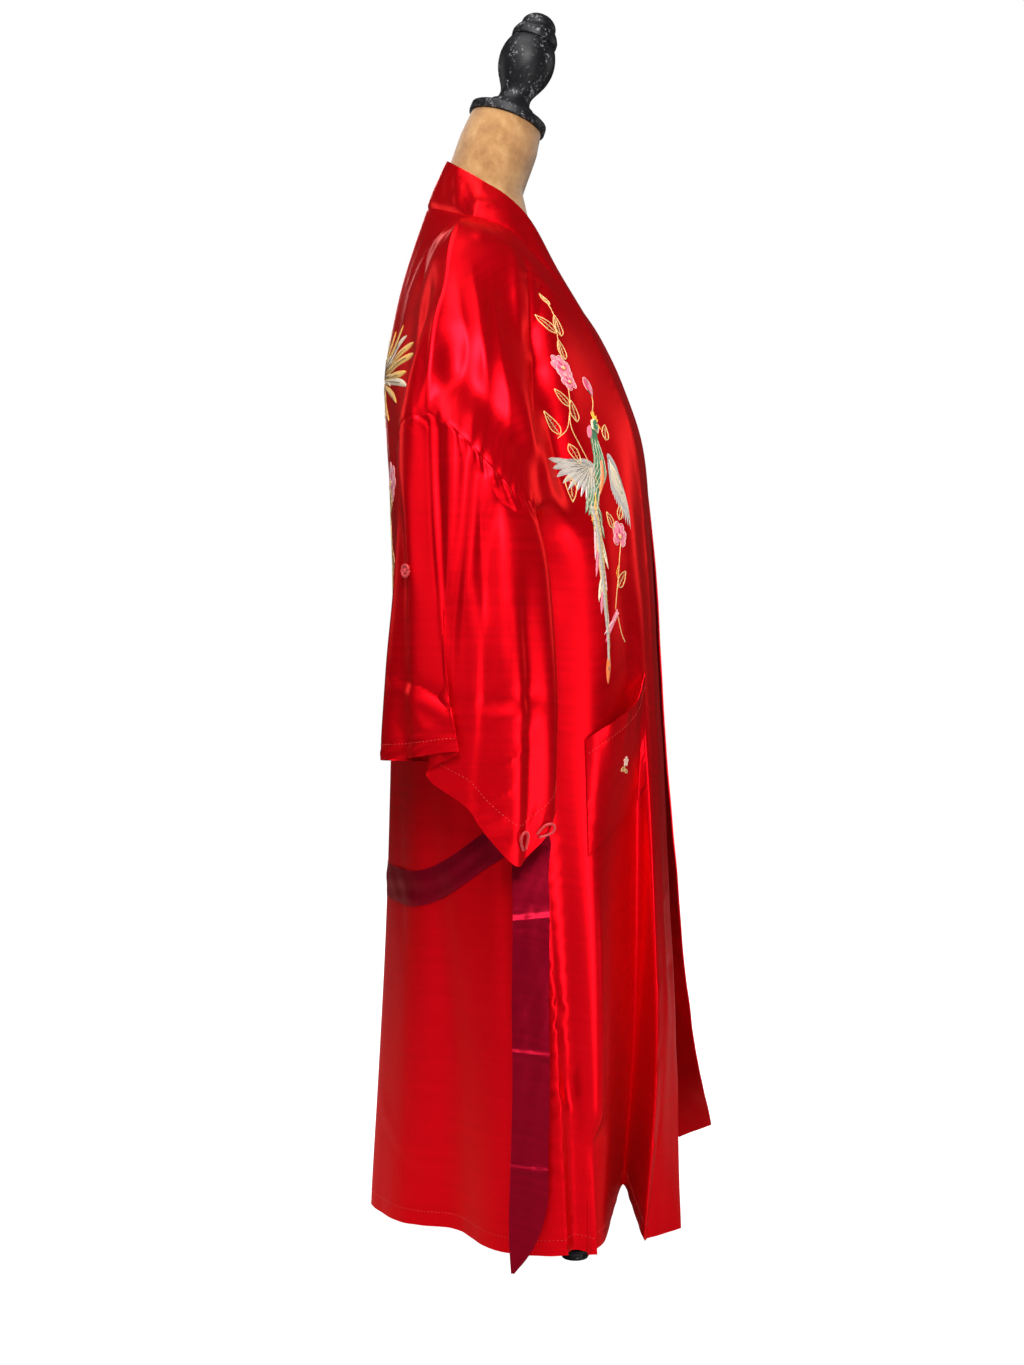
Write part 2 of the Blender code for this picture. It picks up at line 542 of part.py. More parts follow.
# ================================================================ the garment
def body_grids():
    """{name: (points, outward)} for the back, the fronts, the sleeves and the collar band."""
    down = rows_down()
    half = back_columns()
    right_back = back_points(-1, down, half)
    left_back = back_points(+1, down, half)
    grids = {"back": np.concatenate([left_back[:, ::-1], right_back[:, 1:]], axis=1)}
    across = np.linspace(0, 1, FRONT_COLUMNS + 1)
    ring = ring_places()
    for side, name in ((-1, "right"), (+1, "left")):
        front = front_points(side, down, across)
        back = right_back if side < 0 else left_back
        front[0] = back[0, NECK_COLUMNS:]
        front[UNDERARM_ROW:, -1] = back[UNDERARM_ROW:, -1]
        grids["front_" + name] = front
        armhole = np.concatenate([front[:UNDERARM_ROW + 1, -1], back[:UNDERARM_ROW, -1][::-1]])
        grids["sleeve_" + name] = sleeve_points(side, armhole, ring, np.array(SLEEVE_DOWN))
    grids["collar_band"] = band_grid(grids, down, half[:NECK_COLUMNS + 1])
    return grids


def band_grid(grids, down, neck_across):
    """The band from the left hem, round the neck, to the right hem; its columns run from seam to edge."""
    seam_left = grids["front_left"][::-1, 0]
    seam_right = grids["front_right"][:, 0]
    neck = grids["back"][0, FRONT_COLUMNS:-FRONT_COLUMNS]
    seam = np.concatenate([seam_left[:-1], neck, seam_right[1:]])
    neck_edge_left = band_neck_edge(+1, neck_across)[::-1]
    neck_edge_right = band_neck_edge(-1, neck_across)
    edge = np.concatenate([band_edge_line(+1, down)[::-1][:-1], neck_edge_left[:-1], neck_edge_right,
                           band_edge_line(-1, down)[1:]])
    shares = np.linspace(0, 1, BAND_COLUMNS + 1)[None, :, None]
    return seam[:, None] * (1 - shares) + edge[:, None] * shares


def outward_of(points, inside):
    """+1 where the grid's cells face away from a place inside, and -1 where they face it."""
    cells = face_normals(points)
    centres = (points[1:, 1:] + points[:-1, :-1]) / 2
    return 1 if ((centres - inside) * cells).sum() > 0 else -1


def build_garment(collection, materials):
    grids = body_grids()
    sewing = Sewing()
    middles = {"sleeve_right": (-0.23, POLE_Y + 0.05, 0.75), "sleeve_left": (0.23, POLE_Y + 0.05, 0.75)}
    for name, points in grids.items():
        inside = np.array(middles.get(name, (0, POLE_Y, 0.9 if name != "collar_band" else 1.1)))
        sewing.add(name, points, outward_of(points, inside))
    sewn = {"back": ("top", "first", "last"), "front_right": ("top", "first", "last"),
            "front_left": ("top", "first", "last"), "sleeve_right": ("top",), "sleeve_left": ("top",),
            "collar_band": ("first",)}
    for name, (points, outward) in sewing.grids.items():
        normals, others, folded = sewing.normals_of(name)
        closed = name.startswith("sleeve")
        drawn_in = inset(points, sewn[name], SEAM_GAP / 2)
        if closed:
            drawn_in = drawn_in + others * folded * FOLDED_OFF
        wall(name, drawn_in, normals, CLOTH, outward, collection, materials["silk"], closed)
    return grids


def moved_out(points, outward, distance):
    """A grid's places moved out along the cloth's own normals."""
    sewing = Sewing()
    sewing.add("patch", points, outward)
    normals = sewing.normals_of("patch")[0]
    return points + normals * distance, normals


def at_height(points, column, up):
    """The place where a column of a grid passes a height, on the grid's own cells."""
    line = points[UNDERARM_ROW:, column]
    order = np.argsort(line[:, 2])
    return np.array([np.interp(up, line[order, 2], line[order, axis]) for axis in range(3)])


def build_pockets(grids, collection, materials):
    """A patch on each front, made from the front's own places and gaping along its top."""
    columns = np.arange(POCKET["column_in"], POCKET["column_out"] + 1)
    tops = np.linspace(POCKET["top_in"], POCKET["top_out"], len(columns)) * MM
    lows = np.linspace(POCKET["low_in"], POCKET["low_out"], len(columns)) * MM
    shares = np.linspace(0, 1, POCKET_ROWS)
    for side, name in (("right", "pocket_right"), ("left", "pocket_left")):
        front = grids["front_" + side]
        base = np.array([[at_height(front, column, top + (low - top) * share)
                          for column, top, low in zip(columns, tops, lows)] for share in shares])
        outward = outward_of(base, np.array([0, POLE_Y, 0.6]))
        gape = POCKET_GAPE * np.sin(np.linspace(0, math.pi, len(columns))) ** 0.8
        open_share = (1 - shares) ** 1.4
        distance = POCKET_OFF + open_share[:, None] * gape[None, :]
        points, normals = moved_out(base, outward, distance[..., None])
        wall(name, points, normals, CLOTH, outward, collection, materials["silk"])


def belt_grid(back):
    """The belt's stretch behind the back, on the back's own cells, from the left loop to the right one."""
    half = back_columns()
    places = np.concatenate([-half[:0:-1], half])
    route = np.array(BELT_ROUTE, float)
    heights = through(route[:, 0], route[:, 1:], np.abs(places))[:, 0] * MM
    offsets = np.array(BELT_ACROSS) * BELT_WIDTH
    points = np.array([[at_height(back, column, height + offset) for offset in offsets]
                       for column, height in enumerate(heights)])
    return points[BELT_END:-BELT_END]


def tail_grid(before, start, side):
    """A tail goes on from the belt's last two rows, before and start, turns down and hangs to its point."""
    middle, up = start.mean(axis=0), unit(start[0] - start[-1])
    forward = unit(middle - before.mean(axis=0))
    rows = [start + forward * BELT_JOIN, start + forward * BELT_RUN]
    middle = middle + forward * BELT_RUN
    radius = BELT_TURN * MM
    for share in np.linspace(0, 1, 7)[1:]:
        turn = share * math.pi / 2
        centre = middle + forward * radius * math.sin(turn) - up * radius * (1 - math.cos(turn))
        centre = centre + np.array([side * BELT_TURN_OUT * MM * share, 0, 0])
        across = up * math.cos(turn) + forward * math.sin(turn)
        rows.append([centre + across * BELT_WIDTH * place for place in BELT_ACROSS])
    turned_out = 0.5 * (rows[-1][0] + rows[-1][-1])
    further = LEFT_TAIL_OUT if side > 0 else 0
    table = [(abs(turned_out[0]) / MM, (turned_out[1] - POLE_Y) / MM, turned_out[2] / MM, BELT_WIDTH / MM)]
    table += [(out + further, *rest) for out, *rest in BELT_TAIL]
    table = np.array(table, float)
    knots = np.concatenate([[0], np.cumsum(np.linalg.norm(np.diff(table[:, :3], axis=0), axis=1))])
    for row in through(knots, table, np.linspace(0, knots[-1], BELT_ROWS)[1:]):
        tail = dict(zip(BELT_TAIL_COLUMNS, row))
        centre = to_metres((tail["out"], tail["back"], tail["up"]), side)
        rows.append([centre - np.array([0, tail["width"] * MM * place, 0]) for place in BELT_ACROSS])
    return np.array(rows)


def build_belt(grids, collection, materials):
    """The belt's stretch behind the back, laid on the cloth, and a tail hanging from each belt loop."""
    points = belt_grid(grids["back"])
    outward = outward_of(points, np.array([0, POLE_Y, 0.45]))
    laid, normals = moved_out(points, outward, BELT_OFF)
    wall("belt_back", laid, normals, BELT_THICK, outward, collection, materials["belt"])
    for side, name, ends in ((-1, "belt_tail_right", laid[-2:]), (+1, "belt_tail_left", laid[1::-1])):
        points = tail_grid(*ends, side)
        outward = outward_of(points, np.array([0, POLE_Y, 0.3]))
        _, normals = moved_out(points, outward, 0)
        wall(name, points, normals, BELT_THICK, outward, collection, materials["belt"])


def build_belt_loops(grids, collection, materials):
    """A narrow strip near each side seam that the belt runs under."""
    back = grids["back"]
    belt = belt_grid(back)
    for side, name, end, column in ((-1, "belt_loop_right", belt[-1], -1 - BELT_END),
                                    (+1, "belt_loop_left", belt[0], BELT_END)):
        high = end[0, 2] + BELT_LOOP["above"] * MM
        low = end[-1, 2] - BELT_LOOP["below"] * MM
        rows = []
        for share in np.linspace(0, 1, BELT_LOOP_ROWS):
            up = high + (low - high) * share
            along = unit(at_height(back, column + 1, up) - at_height(back, column - 1, up))
            facing = unit(np.cross(along, (0, 0, 1)))
            facing = facing * side * np.sign(facing[0])
            spread = min(1.0, BELT_LOOP_RISE * math.sin(math.pi * share))
            stand = BELT_LOOP["rest_off"] + (BELT_LOOP["stand_off"] - BELT_LOOP["rest_off"]) * spread
            centre = at_height(back, column, up) + facing * stand * MM
            rows.append([centre + along * half * BELT_LOOP["width"] * MM for half in (0.5, -0.5)])
        points = np.array(rows)
        outward = outward_of(points, np.array([0, POLE_Y, 0.54]))
        _, normals = moved_out(points, outward, 0)
        wall(name, points, normals, BELT_LOOP["thick"] * MM, outward, collection, materials["silk"])


# ================================================================ cord loops and buttons on the sleeves
def tube(name, line, radius, resolution, collection, material):
    data = bpy.data.curves.new(name, "CURVE")
    data.dimensions = "3D"
    data.bevel_depth = radius
    data.bevel_resolution = resolution
    data.use_fill_caps = True
    spline = data.splines.new("POLY")
    spline.points.add(len(line) - 1)
    for point, where in zip(spline.points, line):
        point.co = (*where, 1)
    data.materials.append(material)
    obj = bpy.data.objects.new(name, data)
    collection.objects.link(obj)
    return obj


def build_sleeve_loops(grids, collection, materials):
    """Two loops of cord sewn on near the low front corner of each cuff."""
    for side, name in ((-1, "right"), (+1, "left")):
        cuff, above = grids["sleeve_" + name][-1], grids["sleeve_" + name][-2]
        for index, row in enumerate(CUFF_LOOPS, start=1):
            loop = dict(zip(CUFF_LOOP_COLUMNS, row))
            column, share = divmod(loop["column"], 1)
            column = int(column)
            forward = unit(cuff[column + 1] - cuff[column])
            low = cuff[column] + (cuff[column + 1] - cuff[column]) * share
            rise = above[column] + (above[column + 1] - above[column]) * share - low
            facing = unit(np.cross(forward, rise))
            facing = facing * side * np.sign(facing[0])
            up = np.cross(facing, forward)
            up = up * np.sign(up[2])
            seat = low + rise * CUFF_LOOP_UP + facing * (CLOTH / 2 + LOOP_CORD / 2 + SEAM_GAP)
            turn = math.radians(loop["lean"])
            along = forward * math.cos(turn) + up * math.sin(turn) + facing * CUFF_LOOP_OUT
            across = up * math.cos(turn) - forward * math.sin(turn)
            line = []
            for angle in np.linspace(0, math.pi, 15):
                sideways = CUFF_LOOP_ENDS / 2 * math.cos(angle) + loop["width"] / 2 * math.sin(2 * angle)
                reach = loop["reach"] * math.sin(angle)
                line.append(seat + along * reach * MM + across * sideways * MM)
            tube(f"cuff_loop_{name}_{index}", line, LOOP_CORD / 2, 2, collection, materials["cord"])


def build_sleeve_buttons(grids, collection, materials):
    """A flat covered button behind the top fold of each sleeve."""
    profile = [(BUTTON_RADIUS * r, BUTTON_RADIUS * z) for r, z in BUTTON_PROFILE]
    for side, name in ((-1, "right"), (+1, "left")):
        points = grids["sleeve_" + name]
        row, column = BUTTON_ROW, len(points[0]) - 1 - BUTTON_BEHIND
        along = Vector(points[row + 1, column] - points[row - 1, column])
        across = Vector(points[row, column + 1] - points[row, column - 1])
        facing = along.cross(across).normalized()
        if facing.x * side < 0:
            facing = -facing
        seat = Vector(points[row, column]) + facing * (CLOTH / 2 + BUTTON_OFF)
        button = turned(f"sleeve_button_{name}", profile, 16, collection, materials["cord"])
        turn = facing.to_track_quat("Z", "Y").to_matrix().to_4x4()
        button.matrix_world = Matrix.Translation(seat) @ turn


# ================================================================ the dress form and its stand
def in_metres(profile):
    return [(r * MM, z * MM) for r, z in profile]


def turned(name, profile, segments, collection, material):
    """A solid turned round Z from (radius, height) points that start at the axis and come back to it."""
    mesh_work = bmesh.new()
    verts = [mesh_work.verts.new((r, 0, z)) for r, z in reversed(profile)]
    for a, b in zip(verts, verts[1:]):
        mesh_work.edges.new((a, b))
    mesh = bpy.data.meshes.new(name)
    mesh_work.to_mesh(mesh)
    mesh_work.free()
    mesh.materials.append(material)
    obj = bpy.data.objects.new(name, mesh)
    collection.objects.link(obj)
    screw = obj.modifiers.new("turn", "SCREW")
    screw.steps = screw.render_steps = segments
    screw.use_merge_vertices = True
    screw.merge_threshold = 0.00005
    screw.use_smooth_shade = True
    return obj


def neck_ring(along, radius):
    """A ring of the leaning neck: the top is square to its axis and lower rings turn level."""
    level = eased(along / NECK[-1][0])
    lean = NECK_LEAN * (1 - level)
    back, up = NECK_TOP
    centre = np.array([0, POLE_Y + back + along * MM * math.sin(NECK_LEAN) * NECK_BOW,
                       up - along * MM * math.cos(NECK_LEAN)])
    ring = []
    for k in range(TORSO_SEGMENTS):
        turn = 2 * math.pi * k / TORSO_SEGMENTS
        forward = radius * MM * math.sin(turn)
        ring.append(centre + np.array([radius * MM * math.cos(turn), forward * math.cos(lean),
                                       forward * math.sin(lean)]))
    return ring


def torso_ring(row):
    ring = []
    part = dict(zip(TORSO_COLUMNS, row))
    middle = (part["front"] + part["back"]) / 2
    depth = (part["back"] - part["front"]) / 2
    for k in range(TORSO_SEGMENTS):
        turn = 2 * math.pi * k / TORSO_SEGMENTS
        power = 2 / part["square"]
        across = math.copysign(abs(math.cos(turn)) ** power, math.cos(turn))
        along = math.copysign(abs(math.sin(turn)) ** power, math.sin(turn))
        ring.append(np.array([part["half_width"] * across * MM, POLE_Y + (middle + depth * along) * MM,
                              part["up"] * MM]))
    return ring


def build_torso(collection, materials):
    rings = [torso_ring(row) for row in TORSO]
    rings += [neck_ring(*row) for row in reversed(NECK)]
    mesh_work = bmesh.new()
    verts = [[mesh_work.verts.new(p) for p in ring] for ring in rings]
    for low, high in zip(verts, verts[1:]):
        for k in range(TORSO_SEGMENTS):
            m = (k + 1) % TORSO_SEGMENTS
            mesh_work.faces.new((low[k], low[m], high[m], high[k]))
    mesh_work.faces.new(verts[0][::-1])
    mesh_work.faces.new(verts[-1])
    bmesh.ops.recalc_face_normals(mesh_work, faces=mesh_work.faces)
    mesh = bpy.data.meshes.new("form_torso")
    mesh_work.to_mesh(mesh)
    mesh_work.free()
    return smooth_object("form_torso", mesh, collection, materials["suede"])


def build_finial(collection, materials):
    """The turned cap on the neck and the turned finial on the cap, both square to the leaning neck."""
    seat = Matrix.Translation((0, POLE_Y + NECK_TOP[0], NECK_TOP[1])) @ Matrix.Rotation(NECK_LEAN, 4, "X")
    cap = turned("neck_cap", in_metres(CAP_PROFILE), FINIAL_SEGMENTS, collection, materials["wood"])
    cap.matrix_world = seat @ Matrix.Translation((0, 0, CLEAR))
    finial = turned("finial", in_metres(FINIAL_PROFILE), FINIAL_SEGMENTS, collection, materials["wood"])
    finial.matrix_world = seat @ Matrix.Translation((0, 0, 2 * CLEAR + CAP_PROFILE[-1][1] * MM))


def build_stand(collection, materials):
    """A turned hub with three bent legs, each on a round foot, and the pole that carries the torso."""
    hub = turned("stand_hub", in_metres(HUB_PROFILE), 20, collection, materials["wood"])
    hub.location = (0, POLE_Y, 0)
    low, high = HUB_PROFILE[-1][1] * MM + CLEAR, TORSO_BOTTOM - CLEAR
    pole = turned("pole", [(0, low), (POLE_RADIUS, low), (POLE_RADIUS, high), (0, high)],
                  16, collection, materials["wood"])
    pole.location = (0, POLE_Y, 0)
    knots = np.linspace(0, 1, len(LEG_ROUTE))
    line = through(knots, np.array(LEG_ROUTE) * MM, np.linspace(0, 1, LEG_POINTS))
    line[1, 1] = line[0, 1]
    line[-3:, 0] = line[-1, 0]
    for index in range(3):
        turn = FIRST_LEG + index * 2 * math.pi / 3
        way = np.array([math.cos(turn), math.sin(turn)])
        places = [(r * way[0], POLE_Y + r * way[1], z) for r, z in line]
        tube(f"stand_leg_{index + 1}", places, LEG_RADIUS, 3, collection, materials["wood"])
        foot = turned(f"stand_foot_{index + 1}", in_metres(FOOT_PROFILE), 16, collection, materials["wood"])
        foot.location = (line[-1, 0] * way[0], POLE_Y + line[-1, 0] * way[1], 0)


def clear_scene():
    for obj in list(bpy.data.objects):
        bpy.data.objects.remove(obj)


def main():
    clear_scene()
    collection = bpy.data.collections.new("silk_kimono_on_form")
    bpy.context.scene.collection.children.link(collection)
    materials = {
        "silk": surface_material("red silk", (0.62, 0.006, 0.012), 0.34),
        "belt": surface_material("crimson silk", (0.20, 0.002, 0.016), 0.38),
        "cord": surface_material("red cord", (0.60, 0.02, 0.03), 0.5),
        "suede": surface_material("tan suede", (0.42, 0.22, 0.09), 0.9),
        "wood": surface_material("black painted wood", (0.02, 0.02, 0.022), 0.45),
    }
    grids = build_garment(collection, materials)
    build_pockets(grids, collection, materials)
    build_belt(grids, collection, materials)
    build_belt_loops(grids, collection, materials)
    build_sleeve_loops(grids, collection, materials)
    build_sleeve_buttons(grids, collection, materials)
    build_torso(collection, materials)
    build_finial(collection, materials)
    build_stand(collection, materials)


main()
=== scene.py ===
"""A long red silk kimono on a dress form: the looks of every piece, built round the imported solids.

Metres, +Z up; the wearer's front faces -Y and the wearer's left is +X. Tables hold millimetres, as
(out, back, up): out is away from the middle of the wearer, back is behind the stand's pole and up is above
the floor. A place on the body's cloth is given by its around and up: around is 0 at the middle of the back,
1 at the side seam or armhole and 2 at the collar band's seam.
"""

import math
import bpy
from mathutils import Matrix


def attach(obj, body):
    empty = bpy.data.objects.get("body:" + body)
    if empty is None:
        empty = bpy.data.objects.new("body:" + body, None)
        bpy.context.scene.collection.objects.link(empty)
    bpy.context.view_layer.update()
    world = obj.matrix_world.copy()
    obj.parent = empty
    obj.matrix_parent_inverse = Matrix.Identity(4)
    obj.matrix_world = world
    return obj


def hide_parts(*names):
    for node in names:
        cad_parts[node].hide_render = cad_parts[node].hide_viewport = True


bl_info = {
    "name": "Silk Kimono on a Dress Form",
    "version": (1, 0, 0),
    "blender": (4, 5, 0),
    "location": "View3D > Sidebar > Kimono",
    "description": "Builds a long embroidered silk kimono that hangs on a dress form",
    "category": "Add Mesh",
}

import bpy
import numpy as np
from bpy.props import FloatProperty, FloatVectorProperty, IntProperty, PointerProperty
from mathutils import Matrix, Vector
from mathutils.kdtree import KDTree

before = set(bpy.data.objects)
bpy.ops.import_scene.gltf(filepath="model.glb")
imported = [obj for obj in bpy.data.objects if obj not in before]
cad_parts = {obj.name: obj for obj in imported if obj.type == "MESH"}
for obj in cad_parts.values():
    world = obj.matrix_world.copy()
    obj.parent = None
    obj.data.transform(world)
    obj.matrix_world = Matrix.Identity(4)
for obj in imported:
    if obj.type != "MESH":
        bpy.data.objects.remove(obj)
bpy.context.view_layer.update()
MM = 0.001
SIDES = ((-1, "right"), (+1, "left"))

# ---------------------------------------------------------------- the body's sections, as in the solids
POLE_Y = 0.0425
STATIONS = ("band_seam", "chest", "side_front", "front_edge",
            "back_edge", "flank", "blade", "neck", "centre")
# Each level's stations in that order: the front's four on the first line and the back's five on the second.
BODY = {
    "shoulder": ((105, 60, 1301), (172, 80, 1267), (226, 99, 1160), (250, 109, 1026),
                 (250, 109, 1026), (226, 99, 1160), (172, 80, 1267), (105, 60, 1301), (0, 124, 1339)),
    "cap_high": ((98, 18, 1288), (165, 35, 1252), (226, 62, 1145), (261, 85, 1014),
                 (243, 128, 1024), (220, 119, 1140), (166, 105, 1238), (100, 100, 1280), (0, 141, 1290)),
    "cap_mid": ((90, -19, 1256), (155, -5, 1218), (222, 24, 1108), (262, 48, 978),
                (228, 142, 1016), (212, 133, 1100), (163, 122, 1185), (97, 132, 1230), (0, 160, 1225)),
    "cap_low": ((90, -58, 1208), (148, -45, 1162), (214, -14, 1058), (256, 12, 940),
                (208, 142, 990), (200, 137, 1050), (160, 132, 1115), (96, 152, 1150), (0, 176, 1140)),
    "arm_low": ((92, -100, 1130), (140, -86, 1058), (200, -50, 958), (232, -18, 912),
                (188, 112, 935), (187, 130, 956), (158, 137, 1014), (95, 160, 1060), (0, 179, 1060)),
    "underarm": ((92, -140, 1030), (136, -122, 950), (182, -72, 888), (180, 30, 875),
                 (180, 30, 875), (172, 100, 884), (150, 128, 908), (94, 158, 945), (0, 172, 955)),
    "waist": ((90, -160, 880), (134, -138, 815), (174, -84, 772), (181, 14, 760),
              (181, 14, 760), (168, 76, 770), (146, 118, 790), (93, 150, 815), (0, 168, 825)),
    "hip": ((88, -170, 690), (136, -142, 655), (172, -88, 628), (187, -12, 600),
            (187, -12, 600), (170, 56, 622), (143, 110, 635), (92, 146, 645), (0, 171, 645)),
    "thigh": ((92, -178, 470), (140, -142, 452), (178, -90, 442), (195, -32, 430),
              (195, -32, 430), (170, 44, 436), (138, 104, 440), (88, 146, 445), (0, 176, 445)),
    "knee": ((102, -182, 235), (150, -135, 233), (188, -92, 232), (205, -47, 230),
             (205, -47, 230), (172, 30, 231), (130, 96, 232), (80, 148, 232), (0, 186, 232)),
    "hem": ((135, -155, 17), (168, -118, 17), (197, -90, 17), (213, -60, 17),
            (213, -60, 17), (172, 20, 17), (122, 92, 17), (72, 150, 17), (0, 198, 17)),
}
# The left front swings forward and out below the hip, so these stations differ on the left.
LEFT_FRONT = {
    "thigh": {"band_seam": (100, -187, 470), "chest": (147, -146, 452)},
    "knee": {"band_seam": (158, -204, 238), "chest": (190, -152, 233), "side_front": (204, -98, 232),
             "front_edge": (209, -47, 230), "back_edge": (209, -47, 230)},
    "hem": {"band_seam": (246, -238, 34), "chest": (252, -178, 20), "side_front": (243, -118, 17),
            "front_edge": (226, -58, 17), "back_edge": (226, -58, 17), "flank": (180, 22, 17)},
}
# The collar band's free edge, opposite each level's band seam, and at the middle of the back neck.
BAND_EDGE = {
    "centre": (0, 97, 1402), "neck_mid": (38, 88, 1389),
    "shoulder": (68, 50, 1358), "cap_high": (66, 16, 1338), "cap_mid": (55, -14, 1308),
    "cap_low": (42, -47, 1250), "arm_low": (30, -106, 1160), "underarm": (26, -155, 1042),
    "waist": (25, -172, 885), "hip": (26, -183, 692), "thigh": (32, -193, 471),
    "knee": (46, -203, 235), "hem": (99, -203, 17),
}
LEFT_BAND_EDGE = {
    "underarm": (26, -157, 1042), "waist": (26, -181, 885), "hip": (28, -192, 692),
    "thigh": (42, -211, 471), "knee": (100, -239, 240), "hem": (207, -281, 62),
}

# ---------------------------------------------------------------- the largest folds, as in the solids
FOLD_COLUMNS = ("around_high", "around_low", "high", "low", "half_width",
                "depth_high", "depth_low", "aim", "tilt")
RIGHT_FOLDS = {
    "front_pleat": (1.64, 1.64, 880, 17, 0.150, 0, -128, 8, 0),
    "front_roll": (1.36, 1.36, 800, 17, 0.110, 0, 12, -10, 0),
    "edge_roll": (1.86, 1.84, 760, 17, 0.120, 0, 18, -40, 0),
    "hip_hollow": (1.10, 1.08, 780, 17, 0.110, 0, -16, -5, 0),
    "flank_roll": (0.84, 0.76, 760, 17, 0.120, 0, 12, 20, 0),
    "back_hollow": (0.60, 0.52, 880, 17, 0.120, 0, -13, 45, 0),
    "back_roll": (0.34, 0.26, 760, 17, 0.110, 0, 7, 60, 0),
    "cap_crease": (0.62, 0.80, 1262, 900, 0.085, -5, -24, 55, 0),
    "cap_roll": (0.80, 0.93, 1230, 960, 0.100, 3, 8, 20, 10),
    "shoulder_fold": (1.24, 1.14, 1290, 1000, 0.075, -5, -12, -10, 15),
    "chest_fold": (1.56, 1.34, 1262, 950, 0.085, -8, -24, -25, 5),
}
LEFT_FOLDS = {
    "front_pleat": (1.58, 1.56, 860, 17, 0.160, 0, -98, -20, 0),
    "front_roll": (1.30, 1.30, 780, 17, 0.120, 0, 20, -15, 0),
    "edge_roll": (1.86, 1.86, 700, 17, 0.110, 0, 12, -50, 0),
    "hip_hollow": (1.06, 1.04, 800, 17, 0.110, 0, -22, -5, 0),
    "flank_roll": (0.84, 0.78, 740, 17, 0.120, 0, 20, 25, 0),
    "back_hollow": (0.60, 0.54, 860, 17, 0.120, 0, -26, 40, 0),
    "back_roll": (0.36, 0.32, 780, 17, 0.110, 0, 14, 60, 0),
    "cap_crease": (0.64, 0.80, 1262, 900, 0.085, -4, -20, 55, 0),
    "cap_roll": (0.82, 0.93, 1230, 960, 0.100, 3, 9, 20, 10),
    "shoulder_fold": (1.30, 1.20, 1290, 1000, 0.085, -3, -10, -10, 15),
    "chest_fold": (1.60, 1.40, 1260, 960, 0.100, -4, -14, -30, 5),
}
HEM_LIFT = 0.30          # a trough lifts the hem by this share of its depth
LIFT_REACH = 0.30        # metres of skirt, above the hem, that the lift fades over
FOLD_START = 0.10        # metres over which a fold deepens from its high end
FOLD_STOP = 0.14         # and over which it fades, where it ends above the hem
FOLD_PAST = 0.07         # metres below its low end where the fade is done
FOLD_TO_HEM = 100        # millimetres: a fold whose low end is below this runs out through the hem

# ---------------------------------------------------------------- the sleeve's rings, as in the solids
SLEEVE_STATIONS = {"ridge": 0.0, "tuck": 0.055, "outer_mid": 0.13, "outer_front": 0.23, "front_fold": 0.33,
                   "inner_front": 0.42, "underarm": 0.50, "inner_back": 0.63, "back_fold": 0.80,
                   "back_outer": 0.91}
# {share of the sleeve's length: the places of those stations}
SLEEVE_RINGS = {
    0.40: ((262, 98, 848), (267, 82, 848), (270, 52, 843), (263, 8, 836), (240, -33, 832), (207, -25, 828),
           (192, 20, 825), (190, 95, 828), (206, 152, 838), (245, 136, 846)),
    0.74: ((268, 84, 696), (259, 95, 695), (268, 50, 690), (266, -2, 684), (240, -42, 678), (209, -29, 680),
           (197, 20, 685), (192, 95, 688), (210, 163, 692), (250, 131, 694)),
    1.00: ((272, 73, 627), (247, 111, 603), (258, 62, 562), (254, 2, 494), (235, -40, 550), (208, -26, 598),
           (198, 20, 610), (192, 95, 614), (211, 168, 617), (249, 129, 622)),
}
SLEEVE_FIT = 0.35        # share of the length over which the rings take up the armhole's own shape
GUSSET = {"out": 11, "around": 0.56, "half_width": 0.13, "quick": 0.04, "gone": 0.5}
SLEEVE_FOLD_COLUMNS = ("around", "half_width", "top_share", "depth_high", "depth_low")
SLEEVE_FOLDS = {
    "outer_groove": (0.155, 0.030, 0.05, -9, -6),
    "front_groove": (0.265, 0.026, 0.30, -4, -10),
    "back_groove": (0.875, 0.030, 0.10, -6, -9),
    "inner_groove": (0.570, 0.050, 0.20, -3, -5),
}

# ---------------------------------------------------------------- how fine the cloth's grids are
ROWS_ABOVE = 104         # rows from the shoulder line to the underarm
ROWS_BELOW = 96          # rows from there to the hem
FRONT_COLUMNS = 104      # columns of a front, and of each shoulder of the back
NECK_COLUMNS = 12        # columns from the middle of the back neck to the neck point
NECK_SHARE = 0.28        # the neck point's place across half of the back
SLEEVE_ROWS = 104
SLEEVE_COLUMNS = 3 * ROWS_ABOVE         # round a sleeve; the armhole has two for each row of the body
BAND_COLUMNS = 14

